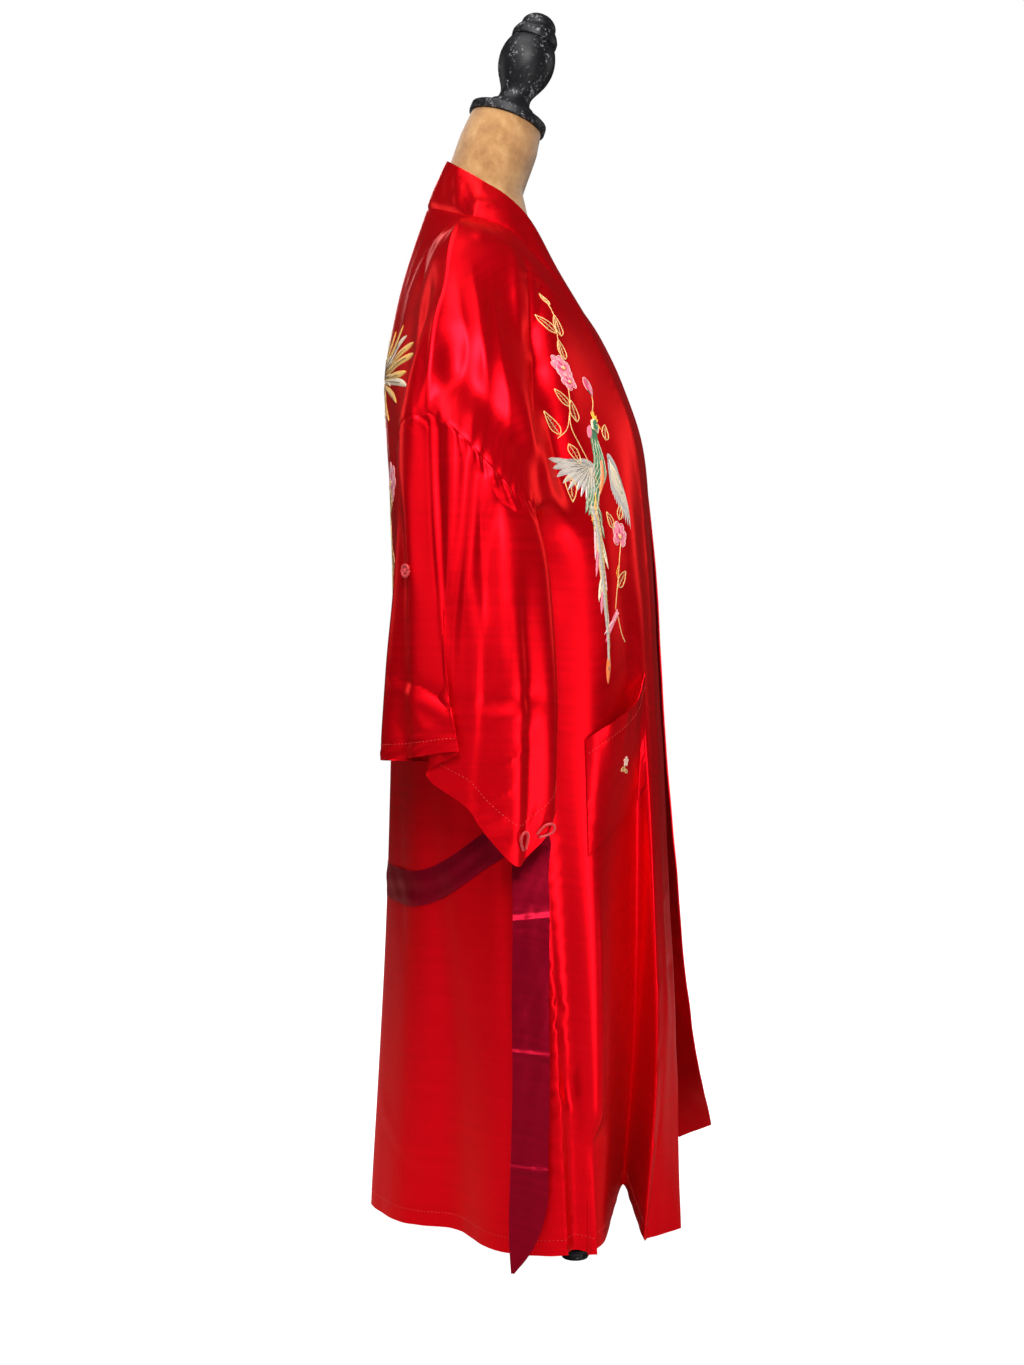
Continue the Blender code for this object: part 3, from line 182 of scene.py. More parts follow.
# ---------------------------------------------------------------- the main creases
# {(shape, which ends fade): rows of (half width, depth, then the path's pairs)}, in millimetres; a
# trough's depth is negative. A pair on the body is (around, up).
RIGHT_CREASES = {
    ("soft", "top"): (
        (15.6, 1.0, (1.44, 1206), (1.38, 1178), (0.775, 1153), (0.833, 1122), (0.883, 1094), (0.97, 1036)),
        (11.7, 0.7, (1.489, 1213), (1.40, 1178), (1.333, 1150), (1.278, 1123), (1.178, 1078), (1.03, 1034)),
        (15.6, -1.4, (1.30, 1142), (1.222, 1109), (1.167, 1085), (1.111, 1062), (1.01, 1030)),
        (13, -1.0, (1.43, 1188), (1.333, 1144), (1.256, 1105), (1.167, 1061), (1.02, 1008)),
        (14.3, 1.0, (1.567, 1234), (1.489, 1204), (1.411, 1170), (1.322, 1129), (1.244, 1088),
         (1.03, 1003)),
        (13, -0.8, (1.50, 1200), (1.411, 1158), (1.311, 1111), (1.222, 1063), (1.06, 998)),
        (18.2, 0.8, (1.589, 1229), (1.50, 1192), (1.411, 1147), (1.311, 1096), (1.222, 1044), (1.05, 976)),
        (15, -4.5, (0.56, 1232), (0.617, 1186), (0.72, 1129), (0.84, 1052)),
        (24, -16.0, (1.36, 190), (1.35, 120), (1.34, 20)),
    ),
    ("crisp", "top"): (
        (5, 1.4, (1.43, 1206), (1.37, 1178), (0.775, 1153), (0.833, 1122), (0.883, 1094), (0.98, 1036)),
        (5, 1.4, (1.40, 1186), (1.33, 1162), (0.80, 1150), (0.858, 1118), (0.91, 1088), (0.99, 1036)),
        (5, 1.1, (1.489, 1213), (1.40, 1178), (1.333, 1150), (1.278, 1123), (1.178, 1078), (1.03, 1034)),
        (5, 1.6, (1.567, 1234), (1.489, 1204), (1.411, 1170), (1.322, 1129), (1.244, 1088), (1.03, 1003)),
        (5, 1.4, (1.54, 1218), (1.467, 1188), (1.389, 1154), (1.30, 1113), (1.222, 1072), (1.03, 988)),
        (5, 1.1, (1.589, 1229), (1.50, 1192), (1.411, 1147), (1.311, 1096), (1.222, 1044), (1.08, 976)),
        (3, 2.1, (1.365, 500), (1.37, 380), (1.372, 240), (1.37, 100)),
    ),
    ("soft", "both"): (
        (8, 2.0, (1.80, 1250), (1.74, 1250), (1.689, 1236), (1.611, 1210), (1.544, 1179), (1.42, 1105)),
        (7, 1.4, (1.62, 1212), (1.70, 1220), (1.76, 1212), (1.76, 1180)),
        (9.9, 1.9, (0.14, 1310), (0.142, 1295), (0.16, 1258), (0.21, 1205)),
        (6.6, 1.9, (0.24, 1304), (0.29, 1285), (0.40, 1258), (0.47, 1235)),
        (6.6, 1.7, (1.84, 1285), (1.72, 1268), (1.62, 1248)),
        (16, 1.7, (0.16, 1080), (0.22, 1000), (0.26, 900), (0.27, 800)),
        (14, -1.7, (0.40, 1010), (0.36, 900), (0.32, 780), (0.30, 640)),
        (18, 1.7, (0.56, 760), (0.60, 600), (0.62, 440), (0.66, 290)),
        (18, -1.7, (0.44, 700), (0.48, 520), (0.53, 330), (0.60, 160)),
        (14, -1.4, (0.16, 640), (0.22, 480), (0.30, 330)),
        (11, -1.1, (0.14, 140), (0.30, 98), (0.44, 66)),
        (12.1, -1.9, (1.05, 250), (1.08, 215), (1.13, 200)),
        (9.9, 1.7, (1.04, 205), (1.08, 182), (1.12, 176)),
        (5.5, 1.0, (1.02, 330), (1.07, 312), (1.12, 306)),
        (5.5, -0.9, (1.02, 300), (1.07, 286), (1.12, 280)),
        (12, -1.4, (1.56, 860), (1.58, 760), (1.60, 640)),
        (13, 1.4, (1.50, 930), (1.46, 820), (1.42, 700)),
        (14, 1.4, (1.72, 980), (1.76, 860), (1.80, 720)),
        (9.9, 1.4, (1.98, 330), (1.90, 322), (1.84, 300)),
        (7.7, -1.4, (1.98, 250), (1.92, 240), (1.86, 215)),
    ),
    ("crisp", "low"): (
        (7, -3.6, (1.75, 1234), (1.665, 1211), (1.60, 1185), (1.53, 1150), (1.46, 1104)),
        (13, -5.0, (1.70, 1200), (1.60, 1168), (1.511, 1135), (1.444, 1091), (1.344, 1039), (1.22, 985)),
    ),
    ("soft", "low"): (
        (13, -3.4, (1.444, 1091), (1.344, 1039), (1.244, 988), (1.10, 938), (1.02, 905)),
        (16, 1.7, (0.86, 720), (0.84, 560), (0.82, 400), (0.80, 250)),
    ),
    ("crisp", "both"): (
        (5, -3.5, (0.18, 1309), (0.22, 1290), (0.275, 1260), (0.408, 1219), (0.492, 1175)),
        (4, -2.0, (0.36, 1290), (0.47, 1268), (0.56, 1240)),
        (4, -1.4, (1.96, 1290), (1.84, 1275), (1.76, 1256)),
        (9, 1.4, (0.06, 180), (0.22, 125), (0.36, 90)),
        (5, 1.6, (1.98, 130), (1.93, 126), (1.88, 140)),
    ),
}
LEFT_CREASES = {
    ("soft", "top"): (
        (9.9, 2.5, (1.42, 1194), (1.33, 1158), (0.84, 1128), (0.91, 1086), (0.985, 1034)),
        (3.3, -1.0, (1.40, 1186), (1.33, 1158), (0.84, 1128), (0.91, 1086), (0.985, 1034)),
        (9.9, -2.8, (1.40, 1170), (1.31, 1130), (1.21, 1090), (1.12, 1050), (1.03, 1014)),
        (9.9, 2.5, (1.54, 1226), (1.45, 1188), (1.35, 1140), (1.22, 1072), (1.07, 1000)),
        (8.8, -2.5, (1.56, 1212), (1.46, 1166), (1.34, 1104), (1.21, 1038), (1.07, 972)),
        (12, 2.2, (1.66, 1232), (1.57, 1190), (1.44, 1120), (1.30, 1050), (1.14, 975)),
        (14, -3.0, (0.58, 1226), (0.66, 1172), (0.76, 1110), (0.86, 1046)),
        (12, -1.7, (1.22, 620), (1.21, 460), (1.20, 280), (1.20, 60)),
    ),
    ("soft", "both"): (
        (7.7, 2.2, (1.82, 1244), (1.76, 1246), (1.71, 1232), (1.62, 1196), (1.50, 1130)),
        (8.8, 1.9, (0.15, 1306), (0.17, 1270), (0.23, 1222)),
        (6.6, 1.7, (0.28, 1300), (0.36, 1272), (0.46, 1246)),
        (15, 1.7, (0.20, 1060), (0.28, 960), (0.30, 840)),
        (13, -1.7, (0.42, 980), (0.40, 860), (0.36, 720), (0.32, 600)),
        (18, 1.9, (0.50, 800), (0.55, 620), (0.60, 430), (0.64, 250)),
        (16, -1.7, (0.38, 660), (0.44, 500), (0.52, 300)),
        (11, -1.7, (1.05, 280), (1.08, 240), (1.13, 222)),
        (8.8, 1.4, (1.04, 228), (1.08, 204), (1.12, 196)),
        (12, -1.7, (1.54, 900), (1.57, 780), (1.60, 660)),
        (13, 1.7, (1.70, 960), (1.75, 820), (1.78, 660)),
        (9.9, 2.2, (1.99, 290), (1.93, 300), (1.86, 330)),
        (8.8, -2.2, (1.99, 258), (1.93, 262), (1.86, 280)),
        (7.7, 1.9, (1.99, 226), (1.94, 226), (1.88, 236)),
        (7.7, -2.2, (1.99, 204), (1.94, 200), (1.90, 196)),
    ),
    ("soft", "low"): (
        (12, -5.6, (1.74, 1222), (1.65, 1180), (1.54, 1118), (1.42, 1046), (1.26, 970)),
        (14, 1.7, (0.90, 700), (0.87, 540), (0.84, 380)),
    ),
    ("crisp", "both"): (
        (5, -3.1, (0.20, 1306), (0.27, 1276), (0.38, 1232), (0.48, 1186)),
        (4, -1.4, (1.95, 1288), (1.84, 1270), (1.76, 1248)),
        (9, 1.4, (0.10, 180), (0.22, 130), (0.34, 96)),
    ),
    ("crisp", "top"): (
        (4, 2.0, (1.40, 560), (1.39, 420), (1.38, 260), (1.38, 90)),
    ),
}
# The sleeves' creases; a pair is (around, share of the length).
RIGHT_SLEEVE_CREASES = {
    ("soft", "low"): (
        (3.3, -1.0, (0.000, 0.02), (0.995, 0.20), (0.990, 0.40), (0.988, 0.55)),
        (6.6, -2.2, (0.030, 0.03), (0.022, 0.15), (0.020, 0.36), (0.015, 0.47), (0.008, 0.60)),
        (9.9, 1.9, (0.070, 0.01), (0.068, 0.13), (0.060, 0.25), (0.050, 0.36), (0.050, 0.47),
         (0.052, 0.60)),
        (8.8, -2.8, (0.105, 0.01), (0.10, 0.13), (0.09, 0.27), (0.077, 0.39), (0.072, 0.55), (0.088, 0.76)),
        (6.6, 1.9, (0.128, 0.03), (0.122, 0.13), (0.12, 0.25), (0.115, 0.35), (0.105, 0.46), (0.10, 0.60)),
        (9.9, 1.7, (0.160, 0.05), (0.158, 0.26), (0.152, 0.40), (0.145, 0.55), (0.143, 0.70)),
        (7.7, 0.7, (0.118, 0.00), (0.127, 0.035), (0.134, 0.075)),
        (6.6, 0.8, (0.160, 0.00), (0.170, 0.030), (0.176, 0.065)),
        (6.6, -0.7, (0.142, 0.00), (0.150, 0.030), (0.155, 0.065)),
        (6.6, 0.7, (0.205, 0.00), (0.210, 0.030), (0.214, 0.075)),
        (6.6, -0.7, (0.187, 0.00), (0.193, 0.030), (0.196, 0.060)),
        (7.7, 0.7, (0.248, 0.00), (0.250, 0.030), (0.256, 0.080)),
        (6.6, -0.7, (0.228, 0.00), (0.232, 0.030), (0.235, 0.070)),
        (7.7, 1.7, (0.150, 1.00), (0.175, 0.965), (0.205, 0.93)),
    ),
    ("soft", "both"): (
        (8.8, -1.9, (0.183, 0.03), (0.180, 0.21), (0.172, 0.37), (0.165, 0.46), (0.16, 0.56)),
        (15, 1.7, (0.25, 0.05), (0.24, 0.26), (0.228, 0.42), (0.212, 0.60)),
        (11, 1.4, (0.87, 0.72), (0.92, 0.82), (0.95, 0.96)),
        (12, -1.5, (0.84, 0.78), (0.87, 0.87), (0.91, 0.97)),
        (8.8, -1.5, (0.11, 0.76), (0.155, 0.745), (0.20, 0.73), (0.25, 0.72), (0.30, 0.70)),
        (7.7, 1.5, (0.14, 0.775), (0.185, 0.772), (0.22, 0.765), (0.27, 0.75), (0.30, 0.74)),
        (11, -1.0, (0.13, 0.825), (0.185, 0.815), (0.225, 0.80), (0.29, 0.785)),
        (6.6, -1.3, (0.165, 1.00), (0.19, 0.975), (0.215, 0.95)),
        (4.4, 1.3, (0.29, 0.92), (0.265, 0.96), (0.243, 0.99)),
        (4.4, 1.2, (0.30, 0.94), (0.278, 0.975), (0.262, 1.00)),
        (6.6, 1.4, (0.06, 0.84), (0.075, 0.87), (0.10, 0.90)),
        (6.6, -1.4, (0.04, 0.86), (0.06, 0.90), (0.09, 0.93)),
        (11, 1.2, (0.90, 0.08), (0.915, 0.28), (0.935, 0.50)),
        (11, -1.1, (0.86, 0.20), (0.87, 0.36), (0.90, 0.52)),
        (14, -1.9, (0.62, 0.15), (0.63, 0.45), (0.64, 0.80)),
        (14, 1.7, (0.70, 0.12), (0.71, 0.45), (0.72, 0.82)),
    ),
    ("crisp", "both"): (
        (3, -1.3, (0.165, 0.08), (0.19, 0.11), (0.225, 0.115), (0.26, 0.11), (0.29, 0.10)),
        (4, 1.3, (0.18, 0.87), (0.20, 0.845), (0.23, 0.825), (0.29, 0.82)),
        (4, 1.3, (0.155, 0.95), (0.185, 0.91), (0.22, 0.875)),
    ),
    ("crisp", "top"): (
        (6, -2.9, (0.80, 0.66), (0.86, 0.685), (0.93, 0.71), (0.985, 0.775)),
    ),
    ("soft", "top"): (
        (9.9, 1.8, (0.81, 0.70), (0.87, 0.725), (0.93, 0.75), (0.985, 0.83)),
    ),
}
LEFT_SLEEVE_CREASES = {
    ("soft", "low"): (
        (3.3, -1.0, (0.000, 0.02), (0.995, 0.24), (0.990, 0.50)),
        (7.7, -2.2, (0.034, 0.03), (0.028, 0.20), (0.020, 0.50)),
        (9.9, 1.9, (0.074, 0.01), (0.070, 0.20), (0.060, 0.42), (0.058, 0.64)),
        (8.8, -2.5, (0.112, 0.01), (0.108, 0.20), (0.092, 0.42), (0.084, 0.70)),
        (8.8, 1.9, (0.146, 0.02), (0.140, 0.22), (0.130, 0.44), (0.122, 0.64)),
        (6.6, 1.4, (0.130, 0.00), (0.136, 0.035), (0.140, 0.075)),
        (6.6, 1.4, (0.185, 0.00), (0.190, 0.030), (0.194, 0.070)),
        (6.6, -1.4, (0.208, 0.00), (0.212, 0.030), (0.215, 0.065)),
        (7.7, 1.3, (0.232, 0.00), (0.236, 0.030), (0.240, 0.080)),
        (7.7, 1.4, (0.160, 1.00), (0.185, 0.965), (0.215, 0.93)),
    ),
    ("soft", "both"): (
        (8.8, -1.9, (0.182, 0.02), (0.180, 0.24), (0.170, 0.50)),
        (14, 1.7, (0.245, 0.05), (0.238, 0.28), (0.222, 0.58)),
        (11, 1.3, (0.88, 0.74), (0.92, 0.83), (0.95, 0.94)),
        (9.9, -1.5, (0.09, 0.74), (0.16, 0.73), (0.24, 0.70), (0.29, 0.70)),
        (7.7, 1.4, (0.11, 0.775), (0.18, 0.765), (0.26, 0.74)),
        (4.4, 1.1, (0.29, 0.93), (0.27, 0.965), (0.25, 1.00)),
        (11, 1.2, (0.905, 0.06), (0.92, 0.30), (0.94, 0.56)),
        (14, -1.9, (0.61, 0.15), (0.62, 0.50), (0.63, 0.84)),
        (14, 1.7, (0.70, 0.12), (0.71, 0.50), (0.72, 0.84)),
    ),
    ("crisp", "top"): (
        (6, -2.3, (0.81, 0.61), (0.88, 0.65), (0.94, 0.68), (0.985, 0.73)),
    ),
    ("soft", "top"): (
        (9.9, 1.5, (0.82, 0.67), (0.90, 0.71), (0.985, 0.79)),
    ),
    ("crisp", "both"): (
        (4, 1.3, (0.16, 0.89), (0.19, 0.86), (0.25, 0.84)),
    ),
}
# The collar band's; a pair is (millimetres from the middle of the neck, share from the seam).
BAND_CREASES = {
    ("crisp", "both"): (
        (4, -2.6, (56, 1.00), (68, 0.50), (80, 0.04)),
        (4, -1.8, (138, 0.72), (118, 0.40), (100, 0.10)),
        (4, -2.4, (-60, 1.00), (-70, 0.50), (-80, 0.06)),
    ),
    ("soft", "both"): (
        (6, 2.4, (70, 1.00), (79, 0.50), (86, 0.10)),
        (5, -2.0, (88, 0.90), (90, 0.45), (90, 0.10)),
        (6, 2.0, (112, 0.86), (101, 0.50), (94, 0.12)),
        (7, 1.8, (165, 0.60), (138, 0.36), (112, 0.14)),
        (5, -1.2, (30, 0.90), (34, 0.50), (44, 0.10)),
        (6, 2.2, (-76, 0.96), (-84, 0.50), (-90, 0.12)),
        (5, -1.8, (-110, 0.84), (-102, 0.48), (-94, 0.12)),
        (7, 1.8, (-150, 0.66), (-126, 0.40), (-104, 0.14)),
        (8, 2.4, (-1128, 0.05), (-1130, 0.50), (-1134, 0.95)),
        (7, -2.6, (-1158, 0.05), (-1160, 0.50), (-1162, 0.95)),
        (7, 2.4, (-1184, 0.05), (-1184, 0.50), (-1184, 0.95)),
        (8, 2.0, (1080, 0.05), (1084, 0.50), (1090, 0.95)),
        (8, -2.0, (1180, 0.05), (1178, 0.50), (1174, 0.95)),
    ),
}
CREASE_STEPS = 8         # places along a crease's line for each pair in its row
CREASE_REACH = 4         # half widths from its line where a crease stops
CREASE_FADE = 0.3        # share of its length over which a crease fades
CRISP_ROUNDING = 0.25    # a crisp crease's rounding, as a share of its half width

# ---------------------------------------------------------------- seams, hems and waves, in metres
SEAM_WIDTH = 0.0024
STITCHED_WIDTH = 0.0016
HEM_DEPTH = 0.45 * MM
HEM_WAVE_REACH = 0.020   # how far from its edge a hem waves
HEM_WAVES = (0.5 * MM, 0.035)        # height and spacing, of the body's hem
CUFF_WAVES = (0.4 * MM, 0.03)
SIDE_PUCKERS = (0.016, 0.020)        # reach and spacing of the gathers beside a side seam
ARMHOLE_PUCKERS = (0.017, 0.016)
SHOULDER_RIDGE = (0.45 * MM, 0.003)  # height and half width of the line pressed along the shoulder
SLEEVE_RIDGE = (1.5 * MM, 0.006)     # and of the ridge along the top of a sleeve
SEWN_RUN = (0.004, 0.003)            # how far from its seam a sleeve, and the band, reach their full height
ARMHOLE_FIT = (0.045, 0.012)         # how far a sleeve follows its armhole's broad and fine shapes
BROAD_SHAPE = 90                     # passes of smoothing that leave an armhole's broad shape
BAND_CROWN = 1.2 * MM
BAND_OVERLAP = 0.8 * MM  # how far the band runs over the fronts, and sinks there
SLEEVE_GAP = 0.2 * MM    # between a sleeve and its armhole
RIPPLE_WAVES = 22
RIPPLE_TILT = 0.6
HUMP_WAVES = 7
HUMP_HEIGHT = 3.2        # brings the sum of that many waves to about 1

# ---------------------------------------------------------------- the belt, pockets, cords and buttons
# As in the solids: the pocket's place across a front, the heights of its slanted top and bottom in
# millimetres, how far it gapes and how far it stands off.
POCKET = {"across_in": 3 / 14, "across_out": 10 / 14, "top_in": 724, "top_out": 640,
          "low_in": 582, "low_out": 498, "gape": 16, "off": 3.0}
POCKET_HEM = 0.019
POCKET_WAVE = (1.8, 0.03)            # its top edge's: millimetres high, and metres apart
POCKET_PUCKER = (0.5, 0.012, 0.006, 0.002)   # its sides': height, spacing, reach, and the run to its edge
POCKET_STITCHED = 0.5
POCKET_ROWS = 46
POCKET_COLUMNS = 44
BELT_ROUTE = ((0.00, 452), (0.22, 450), (0.42, 452), (0.60, 472), (0.80, 508), (1.00, 545))
BELT_REACH = 0.897       # its around where it stops, under its loop
BELT_WIDTH = 0.044
BELT_ACROSS = np.linspace(0.5, -0.5, 9)
BELT_THICK = 0.0015
BELT_LIFT = 2.6 * MM     # of its middle over the back
BELT_TURN = 23           # radius of the turn where a tail leaves the back
BELT_TURN_OUT = 12
# A hanging tail's middle line: out, back, up and the width there.
BELT_TAIL = (
    (214, -11, 480, 44), (223, -12, 450, 44), (229, -12, 410, 44), (231, -11, 330, 44), (233, -12, 240, 44),
    (231, -10, 150, 44), (232, -8, 84, 44), (232, -3, 50, 34), (232, 3, 27, 20), (232, 10, 9, 3),
)
LEFT_TAIL_OUT = 8
BELT_PRESSED = (428, 268, 131)     # heights of the folds pressed across the hanging tails
BELT_START = (0.0008, 0.003, 0.005)  # metres past the loop of a tail's first rows, before it turns down
TURN_ROWS = 15
HUNG_ROW = 16                        # the tail's normals lean out less from here
HUNG_UP = 0.440                      # and above this height, over HUNG_FADE
HUNG_FADE = 0.010
PRESSED_DEPTH = 2.4
PRESSED_WIDTH = 4.0
TAIL_ROWS = 210
BELT_LOOP = {"above": 14, "below": 20, "rest_off": 1.9, "stand_off": 6.6, "width": 7}
BELT_LOOP_COLUMN = 10     # columns of the back from its side seam
LOOP_THICK = 0.0010
LOOP_CORD = 0.0032
CORD_SEAT = 0.0005        # of the cords' undersides over the middle of the silk
CUFF_LOOP_COLUMNS = ("around", "reach", "width", "lean")
CUFF_LOOPS = ((0.25, 24, 9, 62), (0.281, 22, 9, -6))    # in millimetres, lean in degrees
CUFF_LOOP_ENDS = 3.9
CUFF_LOOP_OUT = 0.25
BUTTON = {"around": 0.9167, "share": 0.34, "radius": 8.4, "cord": 1.5, "off": 0.6}
BAND_THICK = 0.0019

# ---------------------------------------------------------------- the embroidery
# The front's branch. A pair is a place: (share of the front's width from the band, millimetres up); the
# other values are angles in degrees, sizes in millimetres and colours of thread.
BRANCH = (
    ("stem", (0.318, 1190), (0.335, 1166), (0.375, 1146), (0.41, 1118), (0.43, 1086), (0.46, 1056),
     (0.50, 1022), (0.48, 984), (0.47, 950)),
    ("leaf", (0.322, 1178), 78, 15, 6),
    ("leaf", (0.385, 1140), 62, 26, 13),
    ("leaf", (0.37, 1138), 112, 30, 12),
    ("leaf", (0.405, 1108), 104, 26, 12),
    ("peony", (0.43, 1094), 84, 26),
    ("peony", (0.42, 1078), 70, 22),
    ("stem", (0.48, 1042), (0.53, 1018), (0.575, 1008)),
    ("leaf", (0.47, 1048), 66, 24, 12),
    ("leaf", (0.46, 1030), 104, 28, 13),
    ("leaf", (0.56, 1012), 74, 30, 15),
    ("leaf", (0.535, 1002), -102, 26, 14),
    ("stem", (0.345, 1044), (0.31, 1058), (0.29, 1070)),
    ("bud", (0.293, 1068), 88, 22),
    ("leaf", (0.32, 1012), 122, 24, 11),
    ("bird", (0.35, 1034), (0.55, 926), (0.562, 738), +1),
    ("leaf", (0.60, 962), -76, 34, 16),
    ("stem", (0.49, 800), (0.45, 836), (0.415, 872), (0.395, 886)),
    ("peony", (0.40, 888), 96, 30),
    ("leaf", (0.44, 900), 62, 24, 12),
    ("leaf", (0.385, 912), 116, 22, 11),
    ("leaf", (0.45, 828), 132, 28, 14),
    ("stem", (0.47, 792), (0.44, 770), (0.415, 760)),
    ("feather", "pink", (0.47, 800), -64, 46, 9, 0.08, "blush"),
    ("feather", "blush", (0.46, 796), -46, 40, 7, 0.08, "rose"),
)
# Each row of a wing: feathers, length, colour, start and quill.
WING_ROWS = ((10, 1.0, "silver", 0.26, "cream"), (8, 0.60, "grey", 0.16, None),
             (7, 0.38, "silver", 0.06, None))
TAIL_KNOTS = (0, 0.34, 0.7, 1)
# The tail's side feathers, from its long streamers to the short ones: share, colour, length and turn.
STREAMERS = (
    (0.05, "blush", 0.30, 13), (0.16, "cream", 0.26, -12), (0.24, "pink", 0.22, 15),
    (0.34, "blush", 0.22, -10), (0.44, "cream", 0.18, 13), (0.53, "pink", 0.17, 10),
    (0.64, "blush", 0.15, -9),
)
# Each ring of a chrysanthemum: rays, length, start, half width and colours.
RAY_RINGS = ((22, 1.0, 0.12, 5.0, ("yellow", "yellow", "cream")), (13, 0.52, 0.08, 3.2, ("gold", "cream")))
GOLDEN_ANGLE = 137.5
FACE = 0.45              # millimetres from the middle of the silk to its outer face
CORD_STEP = 2.2          # millimetres between a couched cord's rings
CORD_SIDES = 5
THREAD_THICK = 0.0005    # of the stitches along the hems
STITCH = 0.0028          # their length, the gap between them and their height over the cloth's middle
STITCH_GAP = 0.0022
STITCH_LIFT = 0.0007
POCKET_SPRIG = ((0.52, 612), 13)     # (share of the columns, height) and size
SLEEVE_SPRIG = ((0.52, 848), 15)
SPRIG_COLUMNS = slice(150, 200)      # of a sleeve, round its outer side

# ---------------------------------------------------------------- the form and its stand, as in the solids
# The torso's sections in millimetres: up, half width, front and back.
TORSO = (
    (602, 128, -66, 92), (604, 140, -78, 102), (612, 152, -90, 114), (640, 160, -100, 124),
    (690, 163, -104, 128), (750, 156, -98, 122), (820, 140, -84, 110), (885, 132, -76, 104),
    (950, 144, -88, 110), (1015, 160, -104, 122), (1070, 168, -106, 132), (1130, 172, -86, 142),
    (1180, 176, -56, 140), (1218, 178, -26, 132), (1244, 172, -6, 126), (1262, 152, -8, 124),
    (1276, 124, -10, 121), (1290, 98, -12, 120), (1306, 78, -12, 114), (1328, 66, -11, 108),
)
NECK = ((0.0, 48.5), (30.0, 52.5), (62.0, 53.8), (100.0, 55.5))    # (distance down from its top, radius)
NECK_BOW = 1.05
NECK_TOP = (18.4, 1454.2)
CAP_PROFILE = ((51, 0), (52.2, 0.4), (52.5, 1.5), (52.5, 9), (52.0, 11.2), (50, 12.5), (47.5, 13.0),
               (46.0, 13.2), (45.6, 14.1), (44, 14.6), (41.5, 14.9), (40.2, 15.4), (39.6, 16.3), (38, 16.8),
               (36.0, 17.6), (34, 19.5), (31.6, 21.8), (30, 24))
FINIAL_PROFILE = (
    (27, 0), (26.6, 1.4), (24.4, 3.2), (22, 7), (21, 13), (22.5, 20), (29, 31), (35, 43), (38, 58), (37, 71),
    (33.5, 82), (29.6, 88.5), (29.0, 89.6), (30.8, 90.2), (31.2, 91.4), (31.2, 97.0), (30.6, 98.4),
    (28, 104), (23.3, 110), (23.6, 114), (20.5, 120), (13, 126), (0.6, 128.5),
)
HUB_PROFILE = ((20, 70), (30, 78), (34, 92), (34, 132), (28, 142), (19, 150), (22, 160), (26, 176),
               (22, 194), (17, 205))
FOOT_PROFILE = ((16, 0), (20, 7), (20, 13), (12.4, 18))
LEG_ROUTE = ((34.5, 112), (50, 112), (80, 112), (115, 94), (145, 66), (160, 46), (165, 32), (165, 18.3))
LEG_RADIUS = 0.0095
LEG_ROWS = 44
FIRST_LEG = math.radians(204)
NEAREST_RINGS = 0.05     # millimetres; rings of a turned piece that are closer are left out
SMALLEST_END = 0.5       # a turned piece's end that is wider is closed down to END_RADIUS
END_RADIUS = 0.4

# ---------------------------------------------------------------- finishes
# {silk: its darkest and lightest colours, roughness, metallic and strength of its slubs}
SILKS = {
    "red silk": ((0.60, 0.0004, 0.005), (0.66, 0.0006, 0.006), 0.35, 0.76, 0.03),
    "crimson silk": ((0.17, 0.0002, 0.009), (0.205, 0.0003, 0.011), 0.36, 0.66, 0.05),
}
# {thread or cord: its colour, metallic and roughness}
THREADS = {
    "red cord": ((0.50, 0.012, 0.018), 0.0, 0.50),
    "red thread": ((0.62, 0.035, 0.025), 0.0, 0.5),
    "gold thread": ((0.72, 0.47, 0.16), 0.25, 0.40),
    "pale gold thread": ((0.72, 0.50, 0.20), 0.35, 0.38),
    "yellow thread": ((0.86, 0.44, 0.02), 0.0, 0.40),
    "cream thread": ((0.74, 0.60, 0.40), 0.0, 0.42),
    "pink thread": ((0.72, 0.17, 0.24), 0.0, 0.42),
    "rose thread": ((0.58, 0.055, 0.13), 0.0, 0.42),
    "blush thread": ((0.78, 0.44, 0.44), 0.0, 0.42),
    "green thread": ((0.035, 0.14, 0.055), 0.0, 0.42),
    "jade thread": ((0.10, 0.27, 0.15), 0.0, 0.40),
    "orange thread": ((0.78, 0.17, 0.03), 0.0, 0.42),
    "silver thread": ((0.46, 0.42, 0.38), 0.25, 0.34),
    "grey thread": ((0.22, 0.20, 0.19), 0.10, 0.42),
    "brown thread": ((0.22, 0.09, 0.04), 0.0, 0.45),
}

# ---------------------------------------------------------------- the stage
# Each softbox: its place, what it faces, its size in metres and its power in watts.
SOFTBOXES = (
    ("key", (-2.2, 0.0, 2.0), (0, 0, 1.0), (0.9, 0.9), 72),
    ("top", (-0.8, 0.35, 2.7), (0, 0, 1.2), (1.4, 1.5), 32),
    ("fill", (-2.6, 2.0, 1.4), (0, 0, 0.7), (1.4, 1.8), 10),
    ("low", (-1.7, -0.9, 0.35), (0, -0.2, 0.35), (0.5, 0.5), 9),
    ("side_back", (1.2, 2.9, 2.0), (0, 0, 0.8), (1.1, 1.6), 12),
    ("side_front", (0.9, -3.0, 1.8), (0, 0, 0.8), (1.1, 1.6), 14),
    ("behind", (2.9, 0.4, 2.2), (0, 0, 0.8), (1.1, 1.6), 40),
)
AMBIENT = 0.06           # the world's strength away from the camera's own view
SENSOR = 36              # millimetres
FLOOR_REACH = 12.0
FLOOR_DROP = 0.0005
FLOOR_GREY = 0.6


